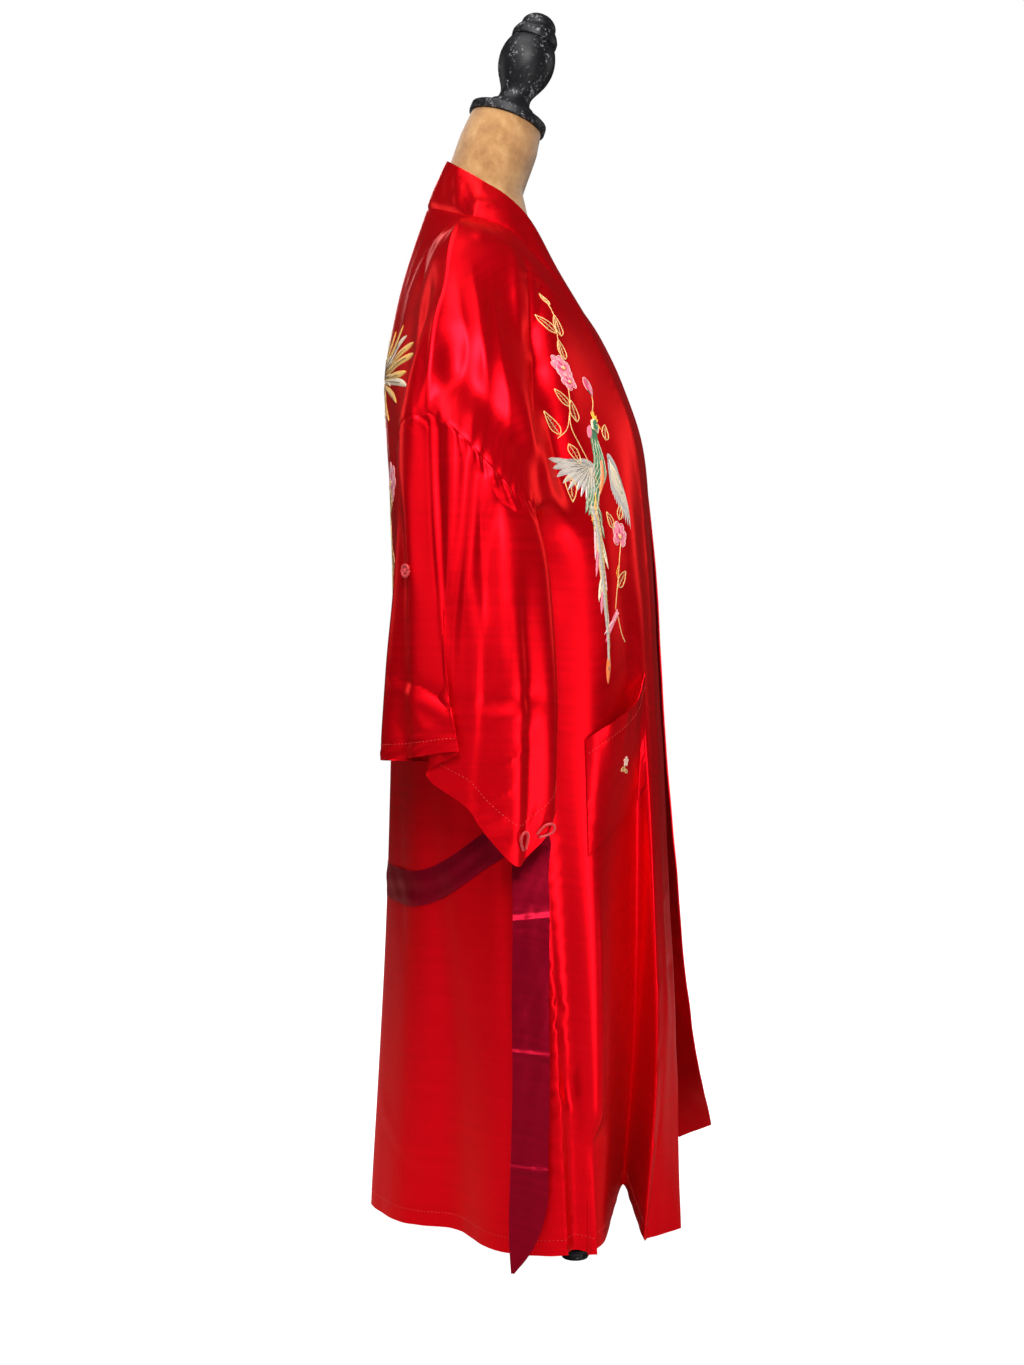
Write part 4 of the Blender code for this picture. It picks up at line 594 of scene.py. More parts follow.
# ================================================================ curves through given values
def through(knots, values, at):
    """Values on a smooth curve through values at knots, one row for each place in at."""
    knots = np.asarray(knots, float)
    values = np.asarray(values, float)
    steps = np.diff(knots)
    slopes = np.diff(values, axis=0) / steps[:, None]
    inner = slopes[:-1] * steps[1:, None] + slopes[1:] * steps[:-1, None]
    inner /= (steps[1:] + steps[:-1])[:, None]
    tangents = np.concatenate([slopes[:1], inner, slopes[-1:]])
    at = np.clip(np.asarray(at, float), knots[0], knots[-1])
    left = np.clip(np.searchsorted(knots, at, side="right") - 1, 0, len(steps) - 1)
    share = ((at - knots[left]) / steps[left])[:, None]
    square, cube = share ** 2, share ** 3
    return ((2 * cube - 3 * square + 1) * values[left]
            + (cube - 2 * square + share) * steps[left][:, None] * tangents[left]
            + (3 * square - 2 * cube) * values[left + 1]
            + (cube - square) * steps[left][:, None] * tangents[left + 1])


def eased(share):
    share = np.clip(share, 0.0, 1.0)
    return share * share * (3 - 2 * share)


def bell(distance, width):
    """1 at no distance, and soon nothing past width."""
    return np.exp(-(distance / width) ** 2)


def unit(vectors):
    return vectors / np.maximum(np.linalg.norm(vectors, axis=-1, keepdims=True), 1e-12)


def run_along(line):
    """How far along a line each of its places is."""
    return np.concatenate([[0], np.cumsum(np.linalg.norm(np.diff(line, axis=0), axis=1))])


def pole_at(up):
    """The place on the pole at a height in metres; the body's cloth faces away from it."""
    return np.array([0, POLE_Y, up])


def pole_beside(points):
    """The places on the pole at the heights of a grid's first column."""
    return points[:, :1] * (0, 0, 1) + (0, POLE_Y, 0)


def to_metres(point, side):
    """A table's (out, back, up) as a place; side is -1 on the wearer's right and +1 on the left."""
    out, back, up = point
    return np.array([side * out * MM, POLE_Y + back * MM, up * MM])


# ================================================================ the body's surface
def level_table(side):
    """{station: its places at each level} for one side of the body."""
    table = {name: [] for name in STATIONS}
    for level, row in BODY.items():
        changed = LEFT_FRONT.get(level, {}) if side > 0 else {}
        for name, point in zip(STATIONS, row):
            table[name].append(to_metres(changed.get(name, point), side))
    return {name: np.array(points) for name, points in table.items()}


def level_knots():
    """How far down the garment each level is, from 0 at the shoulder line to 1 at the hem."""
    right = level_table(-1)
    lengths = [np.linalg.norm(np.diff(right[name], axis=0), axis=1) for name in STATIONS]
    down = np.concatenate([[0.0], np.cumsum(np.mean(lengths, axis=0))])
    return down / down[-1]


LEVELS = level_knots()
UNDERARM = LEVELS[list(BODY).index("underarm")]


def rows_down():
    """The place of each row down the garment; one of them is the underarm."""
    return np.concatenate([np.linspace(0, UNDERARM, ROWS_ABOVE + 1),
                           np.linspace(UNDERARM, 1, ROWS_BELOW + 1)[1:]])


def station_curves(table, down):
    return {name: through(LEVELS, places, down) for name, places in table.items()}


def front_base(side, down, across):
    """Rows by columns of places on a front; across is 0 at the band and 1 at the armhole or side seam."""
    curves = station_curves(level_table(side), down)
    knots = (0.0, 1 / 3, 2 / 3, 1.0)
    names = ("band_seam", "chest", "side_front", "front_edge")
    return np.stack([through(knots, [curves[n][i] for n in names], across) for i in range(len(down))])


def back_base(side, down, across):
    """Rows by columns of places on half of the back; across is 0 at the middle and 1 at the armhole or
    side seam. The neck's corner, at its point, is lost by half way down to the underarm."""
    curves = station_curves(level_table(side), down)
    flip = np.array([-1.0, 1.0, 1.0])
    outer_knots = [NECK_SHARE + (1 - NECK_SHARE) * share for share in (0.0, 1 / 3, 2 / 3, 1.0)]
    outer_names = ("neck", "blade", "flank", "back_edge")
    whole_knots = [-NECK_SHARE, 0.0] + outer_knots
    rows = []
    for i, place in enumerate(down):
        outer = [curves[n][i] for n in outer_names]
        middle = curves["centre"][i]
        smooth = through(whole_knots, [outer[0] * flip, middle] + outer, across)
        neck_part = through((-NECK_SHARE, 0.0, NECK_SHARE), [outer[0] * flip, middle, outer[0]], across)
        cornered = np.where((across < NECK_SHARE)[:, None], neck_part, through(outer_knots, outer, across))
        share = eased(np.array(place / (0.5 * UNDERARM)))
        rows.append(cornered + share * (smooth - cornered))
    return np.stack(rows)


def add_folds(points, around, side):
    """Moves points (rows by columns) by the side's folds; around says where each column lies."""
    moved = points.copy()
    folds = RIGHT_FOLDS if side < 0 else LEFT_FOLDS
    up = points[..., 2]
    hem_fade = eased(1 - (up - up[-1:].min()) / LIFT_REACH)
    for row in folds.values():
        fold = dict(zip(FOLD_COLUMNS, row))
        share = np.clip((fold["high"] * MM - up) / ((fold["high"] - fold["low"]) * MM), 0, 1)
        centre = fold["around_high"] + (fold["around_low"] - fold["around_high"]) * share
        fade = eased((fold["high"] * MM - up) / FOLD_START)
        if fold["low"] > FOLD_TO_HEM:
            fade = fade * eased((up - fold["low"] * MM + FOLD_PAST) / FOLD_STOP)
        depth = (fold["depth_high"] + (fold["depth_low"] - fold["depth_high"]) * share ** 1.3) * MM * fade
        profile = bell(around[None, :] - centre, fold["half_width"])
        aim, tilt = math.radians(fold["aim"]), math.radians(fold["tilt"])
        level = math.cos(tilt)
        push = np.array([side * math.cos(aim) * level, math.sin(aim) * level, math.sin(tilt)])
        moved += (depth * profile)[..., None] * push
        moved[..., 2] += np.clip(-depth, 0, None) * profile * HEM_LIFT * hem_fade
    return moved


def front_points(side, down, across):
    return add_folds(front_base(side, down, across), 2.0 - across, side)


def back_points(side, down, across):
    return add_folds(back_base(side, down, across), across, side)


def back_columns():
    """Places across half of the back: the neck's columns, then one for each column of a front."""
    neck = np.linspace(0, NECK_SHARE, NECK_COLUMNS + 1)
    shoulder = NECK_SHARE + (1 - NECK_SHARE) * np.linspace(0, 1, FRONT_COLUMNS + 1)
    return np.concatenate([neck, shoulder[1:]])


# ================================================================ the sleeve's and the band's surfaces
def sleeve_points(side, armhole, around, down):
    """Rows by columns of places on a sleeve; armhole is its first row, closed round."""
    knots = list(SLEEVE_STATIONS.values())
    wrapped = [knots[-1] - 1] + knots + [1.0, 1.0 + knots[1]]
    first = [armhole[int(round(k * (len(armhole) - 1)))] for k in knots]
    rings = [np.array(first)]
    rings += [np.array([to_metres(p, side) for p in row]) for row in SLEEVE_RINGS.values()]
    shares = [0.0] + list(SLEEVE_RINGS)
    by_station = np.stack(rings, axis=1)
    lines = np.stack([through(shares, by_station[i], down) for i in range(len(knots))], axis=1)
    rows = []
    for line in lines:
        closed = np.concatenate([line[-1:], line, line[:2]])
        rows.append(through(wrapped, closed, around))
    points = np.stack(rows)
    fit = armhole - points[0]
    points += fit[None] * (1 - eased(down / SLEEVE_FIT))[:, None, None]
    middle = points.mean(axis=1, keepdims=True)
    away = points - middle
    away[..., 2] = 0
    away /= np.linalg.norm(away, axis=2, keepdims=True)
    for row in SLEEVE_FOLDS.values():
        fold = dict(zip(SLEEVE_FOLD_COLUMNS, row))
        depth = (fold["depth_high"] + (fold["depth_low"] - fold["depth_high"]) * down) * MM
        depth = depth * eased((down - fold["top_share"]) / 0.3)
        profile = bell(around - fold["around"], fold["half_width"])
        points += (depth[:, None] * profile[None, :])[..., None] * away
    leave = GUSSET["out"] * MM * (1 - np.exp(-down / GUSSET["quick"])) * (1 - eased(down / GUSSET["gone"]))
    under = bell(around - GUSSET["around"], GUSSET["half_width"])
    points[..., 0] += side * leave[:, None] * under[None, :]
    return points


def band_edge_line(side, down):
    """The band's free edge beside a front, at each row."""
    changed = LEFT_BAND_EDGE if side > 0 else {}
    places = [to_metres(changed.get(level, BAND_EDGE[level]), side) for level in BODY]
    return through(LEVELS, places, down)


def band_neck_edge(side, across):
    """The band's free edge round half of the neck, from the middle of the back to the neck point."""
    places = [to_metres(BAND_EDGE[name], side) for name in ("centre", "neck_mid", "shoulder")]
    flip = np.array([-1.0, 1.0, 1.0])
    knots = (-0.5 * NECK_SHARE, 0.0, 0.5 * NECK_SHARE, NECK_SHARE)
    return through(knots, [places[1] * flip] + places, across)


# ================================================================ creases, puckers and stitched lines
def grid_normals(points, inside, closed=False):
    """A grid's unit normals, which face away from the place or places inside."""
    if closed:
        ring = points[:, :-1]
        across = np.roll(ring, -1, axis=1) - np.roll(ring, 1, axis=1)
        across = np.concatenate([across, across[:, :1]], axis=1)
    else:
        across = np.gradient(points, axis=1)
    normals = unit(np.cross(np.gradient(points, axis=0), across))
    return -normals if ((points - inside) * normals).sum() < 0 else normals


def run_of(points, axis):
    """Metres along a grid's rows (axis 1) or columns (axis 0) from their first place."""
    steps = np.linalg.norm(np.diff(points, axis=axis), axis=2)
    start = np.zeros_like(np.take(steps, [0], axis=axis))
    return np.concatenate([start, np.cumsum(steps, axis=axis)], axis=axis)


def crease_height(points, line, width, depth, shape, fade):
    """How far one crease, along a line, moves each place along its normal, in metres."""
    reach = CREASE_REACH * width
    near = np.all((points > line.min(axis=0) - reach) & (points < line.max(axis=0) + reach), axis=-1)
    height = np.zeros(points.shape[:2])
    if not near.any():
        return height
    places = points[near][:, None, :]
    start, step = line[None, :-1], np.diff(line, axis=0)[None]
    share = np.clip(((places - start) * step).sum(-1) / (step ** 2).sum(-1), 0, 1)
    distance = np.linalg.norm(places - (start + share[..., None] * step), axis=-1)
    pick = distance.argmin(axis=1)
    rows = np.arange(len(pick))
    distance = distance[rows, pick]
    along = (pick + share[rows, pick]) / step.shape[1]
    ends = np.ones_like(along)
    if fade in ("both", "top"):
        ends *= eased(along / CREASE_FADE)
    if fade in ("both", "low"):
        ends *= eased((1 - along) / CREASE_FADE)
    if shape == "crisp":
        rounding = CRISP_ROUNDING * width
        profile = np.exp(-(np.sqrt(distance ** 2 + rounding ** 2) - rounding) / width)
    else:
        profile = bell(distance, width)
    height[near] = depth * profile * ends
    return height


def crease_heights(points, table, locate):
    """The sum of a table's creases; locate turns a table's pair into a place on the cloth."""
    total = np.zeros(points.shape[:2])
    for (shape, fade), rows in table.items():
        for width, depth, *pairs in rows:
            path = np.array([locate(*pair) for pair in pairs])
            knots = run_along(path)
            line = through(knots, path, np.linspace(0, knots[-1], CREASE_STEPS * len(path)))
            total += crease_height(points, line, width * MM, depth * MM, shape, fade)
    return total


def ripple(points, seed, shortest, longest, amount, stretch):
    """Soft uneven waves, longer along Z by stretch; lengths and amount are in millimetres."""
    random = np.random.default_rng(seed)
    total = np.zeros(points.shape[:2])
    for _ in range(RIPPLE_WAVES):
        length = random.uniform(shortest, longest) * MM
        turn = random.uniform(0, math.pi)
        tilt = random.normal() * RIPPLE_TILT / stretch
        way = np.array([math.cos(turn), math.sin(turn), tilt]) * 2 * math.pi / length
        total += np.sin(points @ way + random.uniform(0, 2 * math.pi))
    return total * amount * MM / math.sqrt(RIPPLE_WAVES)


def uneven(along, seed, spacing):
    """A line of uneven humps, about one in each spacing metres, between -1 and 1."""
    random = np.random.default_rng(seed)
    total = np.zeros_like(along)
    for _ in range(HUMP_WAVES):
        length = spacing * random.uniform(0.7, 1.9)
        total += np.sin(2 * math.pi * along / length + random.uniform(0, 2 * math.pi))
    return total / HUMP_HEIGHT


def seam_height(distance, along, seed, groove, pucker, reach=0.012, spacing=0.013):
    """A sewn line's groove and the small puckers beside it; groove and pucker are in millimetres."""
    return (-groove * MM * bell(distance, SEAM_WIDTH)
            + pucker * MM * uneven(along, seed, spacing) * bell(distance, reach))


def hem_height(from_edge, hem):
    """The line that a hem's stitches press into the cloth, at the hem's width from its edge."""
    return -HEM_DEPTH * bell(from_edge - hem, STITCHED_WIDTH)


# ================================================================ the garment's fine grids
class Garment:
    """The robe's panels as fine grids of places, each with its outward normals."""

    def __init__(self, cloth):
        self.cloth = cloth
        self.down = rows_down()
        self.half = back_columns()
        self.across = np.linspace(0, 1, FRONT_COLUMNS + 1)
        self.panels = {}
        self.armholes = {}
        for side, name in SIDES:
            self.body_half(side, name)
        self.join_halves()
        for side, name in SIDES:
            self.sleeve(side, name)
        self.band()
        self.normals = self.fair_normals()

    def fair_normals(self):
        """Each panel's outward normals, shared along the shoulder line and the side seams."""
        inside = pole_at(0.8)
        normals = {}
        for name, points in self.panels.items():
            if name.startswith("sleeve"):
                normals[name] = grid_normals(points, points.mean(axis=1, keepdims=True), closed=True)
            elif name == "collar_band":
                normals[name] = grid_normals(points, pole_beside(points))
            else:
                normals[name] = grid_normals(points, inside)
        back = normals["back"]
        for name, edge, shoulder in (("front_right", back[:, -1], back[0, -FRONT_COLUMNS - 1:]),
                                     ("front_left", back[:, 0], back[0, FRONT_COLUMNS::-1])):
            front = normals[name]
            shared = unit(front[ROWS_ABOVE:, -1] + edge[ROWS_ABOVE:])
            front[ROWS_ABOVE:, -1] = edge[ROWS_ABOVE:] = shared
            shared = unit(front[0] + shoulder)
            front[0] = shoulder[:] = shared
        return normals

    def body_half(self, side, name):
        """One half of the back and its front, creased together so that their shared edges agree."""
        inside = pole_at(0.7)
        back = back_points(side, self.down, self.half)
        front = front_points(side, self.down, self.across)
        shoulder_gap = back[:1, NECK_COLUMNS:] - front[:1]
        front += shoulder_gap * (1 - eased(self.down / (UNDERARM / 8)))[:, None, None]
        front[ROWS_ABOVE:, -1] = back[ROWS_ABOVE:, -1]
        self.armholes[name] = np.concatenate([front[:ROWS_ABOVE + 1, -1], back[:ROWS_ABOVE, -1][::-1]])
        self.raw = {"back": back, "front": front}
        normals = {"back": grid_normals(back, inside), "front": grid_normals(front, inside)}
        shared = unit(normals["back"][ROWS_ABOVE:, -1] + normals["front"][ROWS_ABOVE:, -1])
        normals["back"][ROWS_ABOVE:, -1] = normals["front"][ROWS_ABOVE:, -1] = shared
        shared = unit(normals["back"][0, NECK_COLUMNS:] + normals["front"][0])
        normals["back"][0, NECK_COLUMNS:] = normals["front"][0] = shared
        table = RIGHT_CREASES if side < 0 else LEFT_CREASES
        for key, points in self.raw.items():
            height = crease_heights(points, table, self.locate_body)
            height += ripple(points, 5, 70, 190, self.cloth.ripple, 4)
            height += self.body_seams(key, points, side)
            self.raw[key] = points + normals[key] * height[..., None]
        back, front = self.raw["back"], self.raw["front"]
        edge = 0.5 * (back[ROWS_ABOVE:, -1] + front[ROWS_ABOVE:, -1])
        back[ROWS_ABOVE:, -1] = front[ROWS_ABOVE:, -1] = edge
        edge = 0.5 * (back[0, NECK_COLUMNS:] + front[0])
        back[0, NECK_COLUMNS:] = front[0] = edge
        self.panels["back_" + name] = back
        self.panels["front_" + name] = front

    def body_seams(self, key, points, side):
        """Grooves and puckers along the armhole, the side seam, the band's seam and the turned-up hem."""
        cloth = self.cloth
        seed = 20 if side < 0 else 40
        down_run, along = run_of(points, 0), run_of(points, 1)
        from_edge = run_of(points[:, ::-1], 1)[:, ::-1]
        above = (np.arange(len(points)) <= ROWS_ABOVE)[:, None]
        armhole = seam_height(from_edge, down_run, seed + 1, cloth.groove, 0.7 * cloth.pucker)
        side_seam = seam_height(from_edge, down_run, seed + 2, cloth.groove, cloth.pucker, *SIDE_PUCKERS)
        height = np.where(above, armhole, side_seam)
        ridge, width = SHOULDER_RIDGE
        pressed = ridge * bell(down_run, width)
        if key == "front":
            height += seam_height(along, down_run, seed + 3, 0, 0.2 * cloth.pucker)
        else:
            share = eased((1.15 * NECK_SHARE - self.half) / (0.2 * NECK_SHARE))[None, :]
            height += share * seam_height(down_run, along, seed + 4, cloth.groove, 0.4 * cloth.pucker)
            pressed = pressed * eased((self.half - NECK_SHARE) / 0.06)[None, :]
        height += pressed
        from_hem = down_run[-1:] - down_run
        height += hem_height(from_hem, cloth.hem)
        waves, spacing = HEM_WAVES
        waved = waves * cloth.pucker * uneven(along, seed + 5, spacing) * bell(from_hem, HEM_WAVE_REACH)
        return height + waved

    def locate_body(self, around, up):
        """The place on the half being made at around and at a height in millimetres."""
        if around <= 1:
            column = np.interp(around, self.half, np.arange(len(self.half)))
            return at_height(self.raw["back"], column, up * MM)
        return at_height(self.raw["front"], (2 - around) * FRONT_COLUMNS, up * MM)

    def join_halves(self):
        """The whole back, from the left edge to the right one."""
        left, right = self.panels.pop("back_left"), self.panels.pop("back_right")
        middle = 0.5 * (left[:, 0] + right[:, 0])
        self.panels["back"] = np.concatenate([left[:, :0:-1], middle[:, None], right[:, 1:]], axis=1)

    def sleeve(self, side, name):
        """A sleeve, closed round, sewn to its armhole."""
        front, back = self.panels["front_" + name], self.panels["back"]
        edge = back[:, -1] if side < 0 else back[:, 0]
        armhole = np.concatenate([front[:ROWS_ABOVE + 1, -1], edge[:ROWS_ABOVE][::-1]])
        around = np.linspace(0, 1, SLEEVE_COLUMNS + 1)
        down = np.linspace(0, 1, SLEEVE_ROWS + 1) ** 1.12
        armhole, plain = resampled(armhole, around), resampled(self.armholes[name], around)
        points = sleeve_points(side, plain, around, down)
        run = run_of(points, 0)[..., None]
        moved = armhole - plain
        broad = smoothed(moved, BROAD_SHAPE)
        points += broad * np.exp(-run / ARMHOLE_FIT[0]) + (moved - broad) * bell(run, ARMHOLE_FIT[1])
        inside = points.mean(axis=1, keepdims=True)
        normals = grid_normals(points, inside, closed=True)

        def locate(place, share):
            row, column = np.interp(share, down, np.arange(len(down))), place % 1.0 * (len(around) - 1)
            i, j = min(int(row), len(down) - 2), min(int(column), len(around) - 2)
            return between(points, i, j, row - i, column - j)

        table = RIGHT_SLEEVE_CREASES if side < 0 else LEFT_SLEEVE_CREASES
        seed = 60 if side < 0 else 80
        run = run_of(points, 0)
        round_run = run_of(points, 1)
        cuff = run[-1:] - run
        height = crease_heights(points, table, locate)
        height += ripple(points, 7, 60, 140, 0.8 * self.cloth.ripple, 3)
        ridge = np.minimum(around, 1 - around)[None, :] * round_run[:, -1:]
        height += SLEEVE_RIDGE[0] * bell(ridge, SLEEVE_RIDGE[1])
        height += seam_height(run, round_run, seed, 0, self.cloth.pucker, *ARMHOLE_PUCKERS)
        height += hem_height(cuff, self.cloth.hem)
        height += CUFF_WAVES[0] * uneven(round_run, seed + 1, CUFF_WAVES[1]) * bell(cuff, HEM_WAVE_REACH)
        under = np.abs(around - 0.5)[None, :] * round_run[:, -1:]
        height += seam_height(under, run, seed + 2, 0.6 * self.cloth.groove, 0.5 * self.cloth.pucker)
        height *= eased(run / SEWN_RUN[0])
        points = points + normals * height[..., None]
        points[:, -1] = points[:, 0]
        self.panels["sleeve_" + name] = points

    def band(self):
        """The collar band from the left hem, round the neck, to the right hem, from its seam to its edge."""
        neck = self.panels["back"][0, FRONT_COLUMNS:-FRONT_COLUMNS]
        left, right = self.panels["front_left"][::-1, 0], self.panels["front_right"][:, 0]
        seam = np.concatenate([left[:-1], neck, right[1:]])
        neck_across = self.half[:NECK_COLUMNS + 1]
        edge = np.concatenate([band_edge_line(+1, self.down)[::-1][:-1],
                               band_neck_edge(+1, neck_across)[::-1][:-1], band_neck_edge(-1, neck_across),
                               band_edge_line(-1, self.down)[1:]])
        shares = np.linspace(0, 1, BAND_COLUMNS + 1)[None, :, None]
        points = seam[:, None] * (1 - shares) + edge[:, None] * shares
        normals = grid_normals(points, pole_beside(points))
        run = run_of(points, 0)
        from_seam = run_of(points, 1)
        width = from_seam[:, -1:]
        height = BAND_CROWN * np.clip(np.sin(math.pi * from_seam / width), 0, 1) ** 0.7
        height += ripple(points, 9, 30, 80, 0.8 * self.cloth.ripple, 3)
        height += seam_height(from_seam, run, 15, 0, 0.12 * self.cloth.pucker)
        from_neck = run[:, 0] - run[len(run) // 2, 0]

        def locate(along, share):
            row = int(np.abs(from_neck - along * MM).argmin())
            column = share * BAND_COLUMNS
            left = min(int(column), BAND_COLUMNS - 1)
            return points[row, left] + (points[row, left + 1] - points[row, left]) * (column - left)

        height += crease_heights(points, BAND_CREASES, locate)
        height *= eased(from_seam / SEWN_RUN[1])
        height -= BAND_OVERLAP * bell(from_seam, STITCHED_WIDTH)
        self.panels["collar_band"] = points + normals * height[..., None]


_made = {}


def garment():
    """The garment's grids, worked out once."""
    if "garment" not in _made:
        _made["garment"] = Garment(bpy.context.scene.kimono_cloth)
    return _made["garment"]


# ================================================================ meshes of cloth and cord
def grid_faces(rows, columns, flipped, closed=False):
    """Quads of a grid of rows by columns of vertices; closed joins the last column to the first."""
    faces = []
    for i in range(rows - 1):
        for j in range(columns if closed else columns - 1):
            k = (j + 1) % columns
            quad = (i * columns + j, i * columns + k, (i + 1) * columns + k, (i + 1) * columns + j)
            faces.append(quad[::-1] if flipped else quad)
    return faces


def mesh_object(name, verts, faces, material, uvs=None):
    mesh = bpy.data.meshes.new(name)
    mesh.from_pydata([tuple(v) for v in verts], [], faces)
    mesh.materials.append(material)
    if uvs is not None:
        layer = mesh.uv_layers.new(name="UVMap")
        index = np.empty(len(mesh.loops), dtype=int)
        mesh.loops.foreach_get("vertex_index", index)
        layer.data.foreach_set("uv", np.asarray(uvs, float)[index].ravel())
    mesh.polygons.foreach_set("use_smooth", [True] * len(mesh.polygons))
    mesh.update()
    obj = bpy.data.objects.new(name, mesh)
    bpy.context.scene.collection.objects.link(obj)
    return obj


def drawn_in(points, axis, gap):
    """A grid with its first row (axis 0) or column (axis 1) moved in by gap metres."""
    points = points.copy()
    grid = points if axis == 0 else points.swapaxes(0, 1)
    grid[0] += unit(grid[1] - grid[0]) * gap
    return points


def cloth_object(name, points, normals, thickness, material, closed=False):
    """A shell of cloth, thickness metres thick, about a grid of places with outward normals. It is shaded
    by those normals, so panels that share an edge and its normals meet without a line."""
    if closed:
        points, normals = points[:, :-1], normals[:, :-1]
    rows, columns = points.shape[:2]
    count = rows * columns
    run = run_of(points, 0)
    uvs = np.stack([run_of(points, 1), points[..., 2] if closed else run[-1:] - run], axis=-1).reshape(-1, 2)
    verts = np.concatenate([points + normals * 0.5 * thickness, points - normals * 0.5 * thickness])
    cells = np.cross(np.diff(points, axis=1)[:-1], np.diff(points, axis=0)[:, :-1])
    flipped = (cells * normals[:-1, :-1]).sum() < 0
    outer = grid_faces(rows, columns, flipped, closed)
    inner = [tuple(k + count for k in face[::-1]) for face in outer]
    index = np.arange(count).reshape(rows, columns)
    edges = [index[0], index[-1][::-1]]
    if closed:
        edges = [np.append(line, line[0]) for line in edges]
    else:
        edges += [index[::-1, 0], index[:, -1]]
    rims = []
    for line in edges:
        for a, b in zip(line, line[1:]):
            rim = (int(a), int(a) + count, int(b) + count, int(b))
            rims.append(rim[::-1] if flipped else rim)
    obj = mesh_object(name, verts.reshape(-1, 3), outer + inner + rims, material, np.concatenate([uvs, uvs]))
    mesh = obj.data
    corners = np.empty(len(mesh.loops), dtype=int)
    mesh.loops.foreach_get("vertex_index", corners)
    both = np.concatenate([normals.reshape(-1, 3), -normals.reshape(-1, 3)])[corners]
    flat = np.array([face.normal for face in mesh.polygons[len(mesh.polygons) - len(rims):]])
    both[-4 * len(rims):] = np.repeat(flat, 4, axis=0)
    mesh.normals_split_custom_set(both.tolist())
    return obj


def tube_parts(line, radius, sides):
    """The vertices, faces and UVs of a round tube along a line, a little narrower at its ends."""
    line = np.asarray(line, float)
    way = unit(np.gradient(line, axis=0))
    across = np.cross(way[0], (0.31, 0.17, 0.93))
    run = run_along(line)
    verts, faces, uvs = [], [], []
    for i, (place, along) in enumerate(zip(line, way)):
        across = unit(across - along * (across @ along))
        third = np.cross(along, across)
        girth = radius * (0.45 if i in (0, len(line) - 1) else 1.0)
        for k in range(sides):
            turn = 2 * math.pi * k / sides
            verts.append(place + girth * (across * math.cos(turn) + third * math.sin(turn)))
            uvs.append((turn * radius, run[i]))
    for i in range(len(line) - 1):
        for k in range(sides):
            m = (k + 1) % sides
            faces.append((i * sides + k, i * sides + m, (i + 1) * sides + m, (i + 1) * sides + k))
    last = len(verts) - sides
    return verts, faces + [tuple(range(sides - 1, -1, -1)), tuple(range(last, last + sides))], uvs


def cord_parts(lines, radius, sides):
    """The vertices, faces and UVs of round cords of one radius, one along each line."""
    verts, faces, uvs = [], [], []
    for line in lines:
        first = len(verts)
        parts = tube_parts(line, radius, sides)
        verts += parts[0]
        faces += [tuple(first + k for k in face) for face in parts[1]]
        uvs += parts[2]
    return verts, faces, uvs


def cord_object(name, lines, radius, sides, material):
    verts, faces, uvs = cord_parts(lines, radius, sides)
    return mesh_object(name, verts, faces, material, uvs)


def at_height(points, column, up):
    """The place where a column of a grid, whole or not, passes a height in metres."""
    left = min(int(column), points.shape[1] - 2)
    line = points[:, left] + (points[:, left + 1] - points[:, left]) * (column - left)
    order = np.argsort(line[:, 2])
    return np.array([np.interp(up, line[order, 2], line[order, axis]) for axis in range(3)])


def between(grid, i, j, a, b):
    """The place a of the way from row i to the next and b of the way from column j to the next."""
    return ((1 - a) * (1 - b) * grid[i, j] + a * (1 - b) * grid[i + 1, j]
            + (1 - a) * b * grid[i, j + 1] + a * b * grid[i + 1, j + 1])


def resampled(line, shares):
    """The places at shares of the way along a line's own places."""
    own = np.linspace(0, 1, len(line))
    return np.stack([np.interp(shares, own, line[:, axis]) for axis in range(3)], axis=1)


def smoothed(points, times, axis=0):
    """A grid evened out along an axis; its ends stay."""
    points = points.copy()
    grid = points if axis == 0 else points.swapaxes(0, 1)
    for _ in range(times):
        grid[1:-1] = 0.25 * grid[:-2] + 0.5 * grid[1:-1] + 0.25 * grid[2:]
    return points


# ================================================================ finishes


def fed(tree, node, inputs):
    """Sets a node's inputs, by their names or places, to values or links them to sockets."""
    for name, value in inputs.items():
        if isinstance(value, bpy.types.NodeSocket):
            tree.links.new(value, node.inputs[name])
        else:
            node.inputs[name].default_value = value
    return node


def noise(tree, vector, scale, detail=2.0, roughness=0.5):
    inputs = {"Vector": vector, "Scale": scale, "Detail": detail, "Roughness": roughness}
    return fed(tree, tree.nodes.new("ShaderNodeTexNoise"), inputs).outputs["Fac"]


def scaled(tree, vector, scale):
    mapping = fed(tree, tree.nodes.new("ShaderNodeMapping"), {"Vector": vector, "Scale": scale})
    return mapping.outputs["Vector"]


def ramp(tree, factor, stops):
    """Colours along a factor, as (place, colour)."""
    node = fed(tree, tree.nodes.new("ShaderNodeValToRGB"), {"Fac": factor})
    while len(node.color_ramp.elements) < len(stops):
        node.color_ramp.elements.new(0.5)
    for element, (place, colour) in zip(node.color_ramp.elements, stops):
        element.position = place
        element.color = (*colour, 1)
    return node.outputs["Color"]


def added(tree, first, second, factor):
    """first + second * factor."""
    node = tree.nodes.new("ShaderNodeMath")
    node.operation = "MULTIPLY_ADD"
    return fed(tree, node, {0: second, 1: factor, 2: first}).outputs["Value"]


def bumped(tree, height, strength, distance):
    inputs = {"Strength": strength, "Distance": distance, "Height": height}
    return fed(tree, tree.nodes.new("ShaderNodeBump"), inputs).outputs["Normal"]


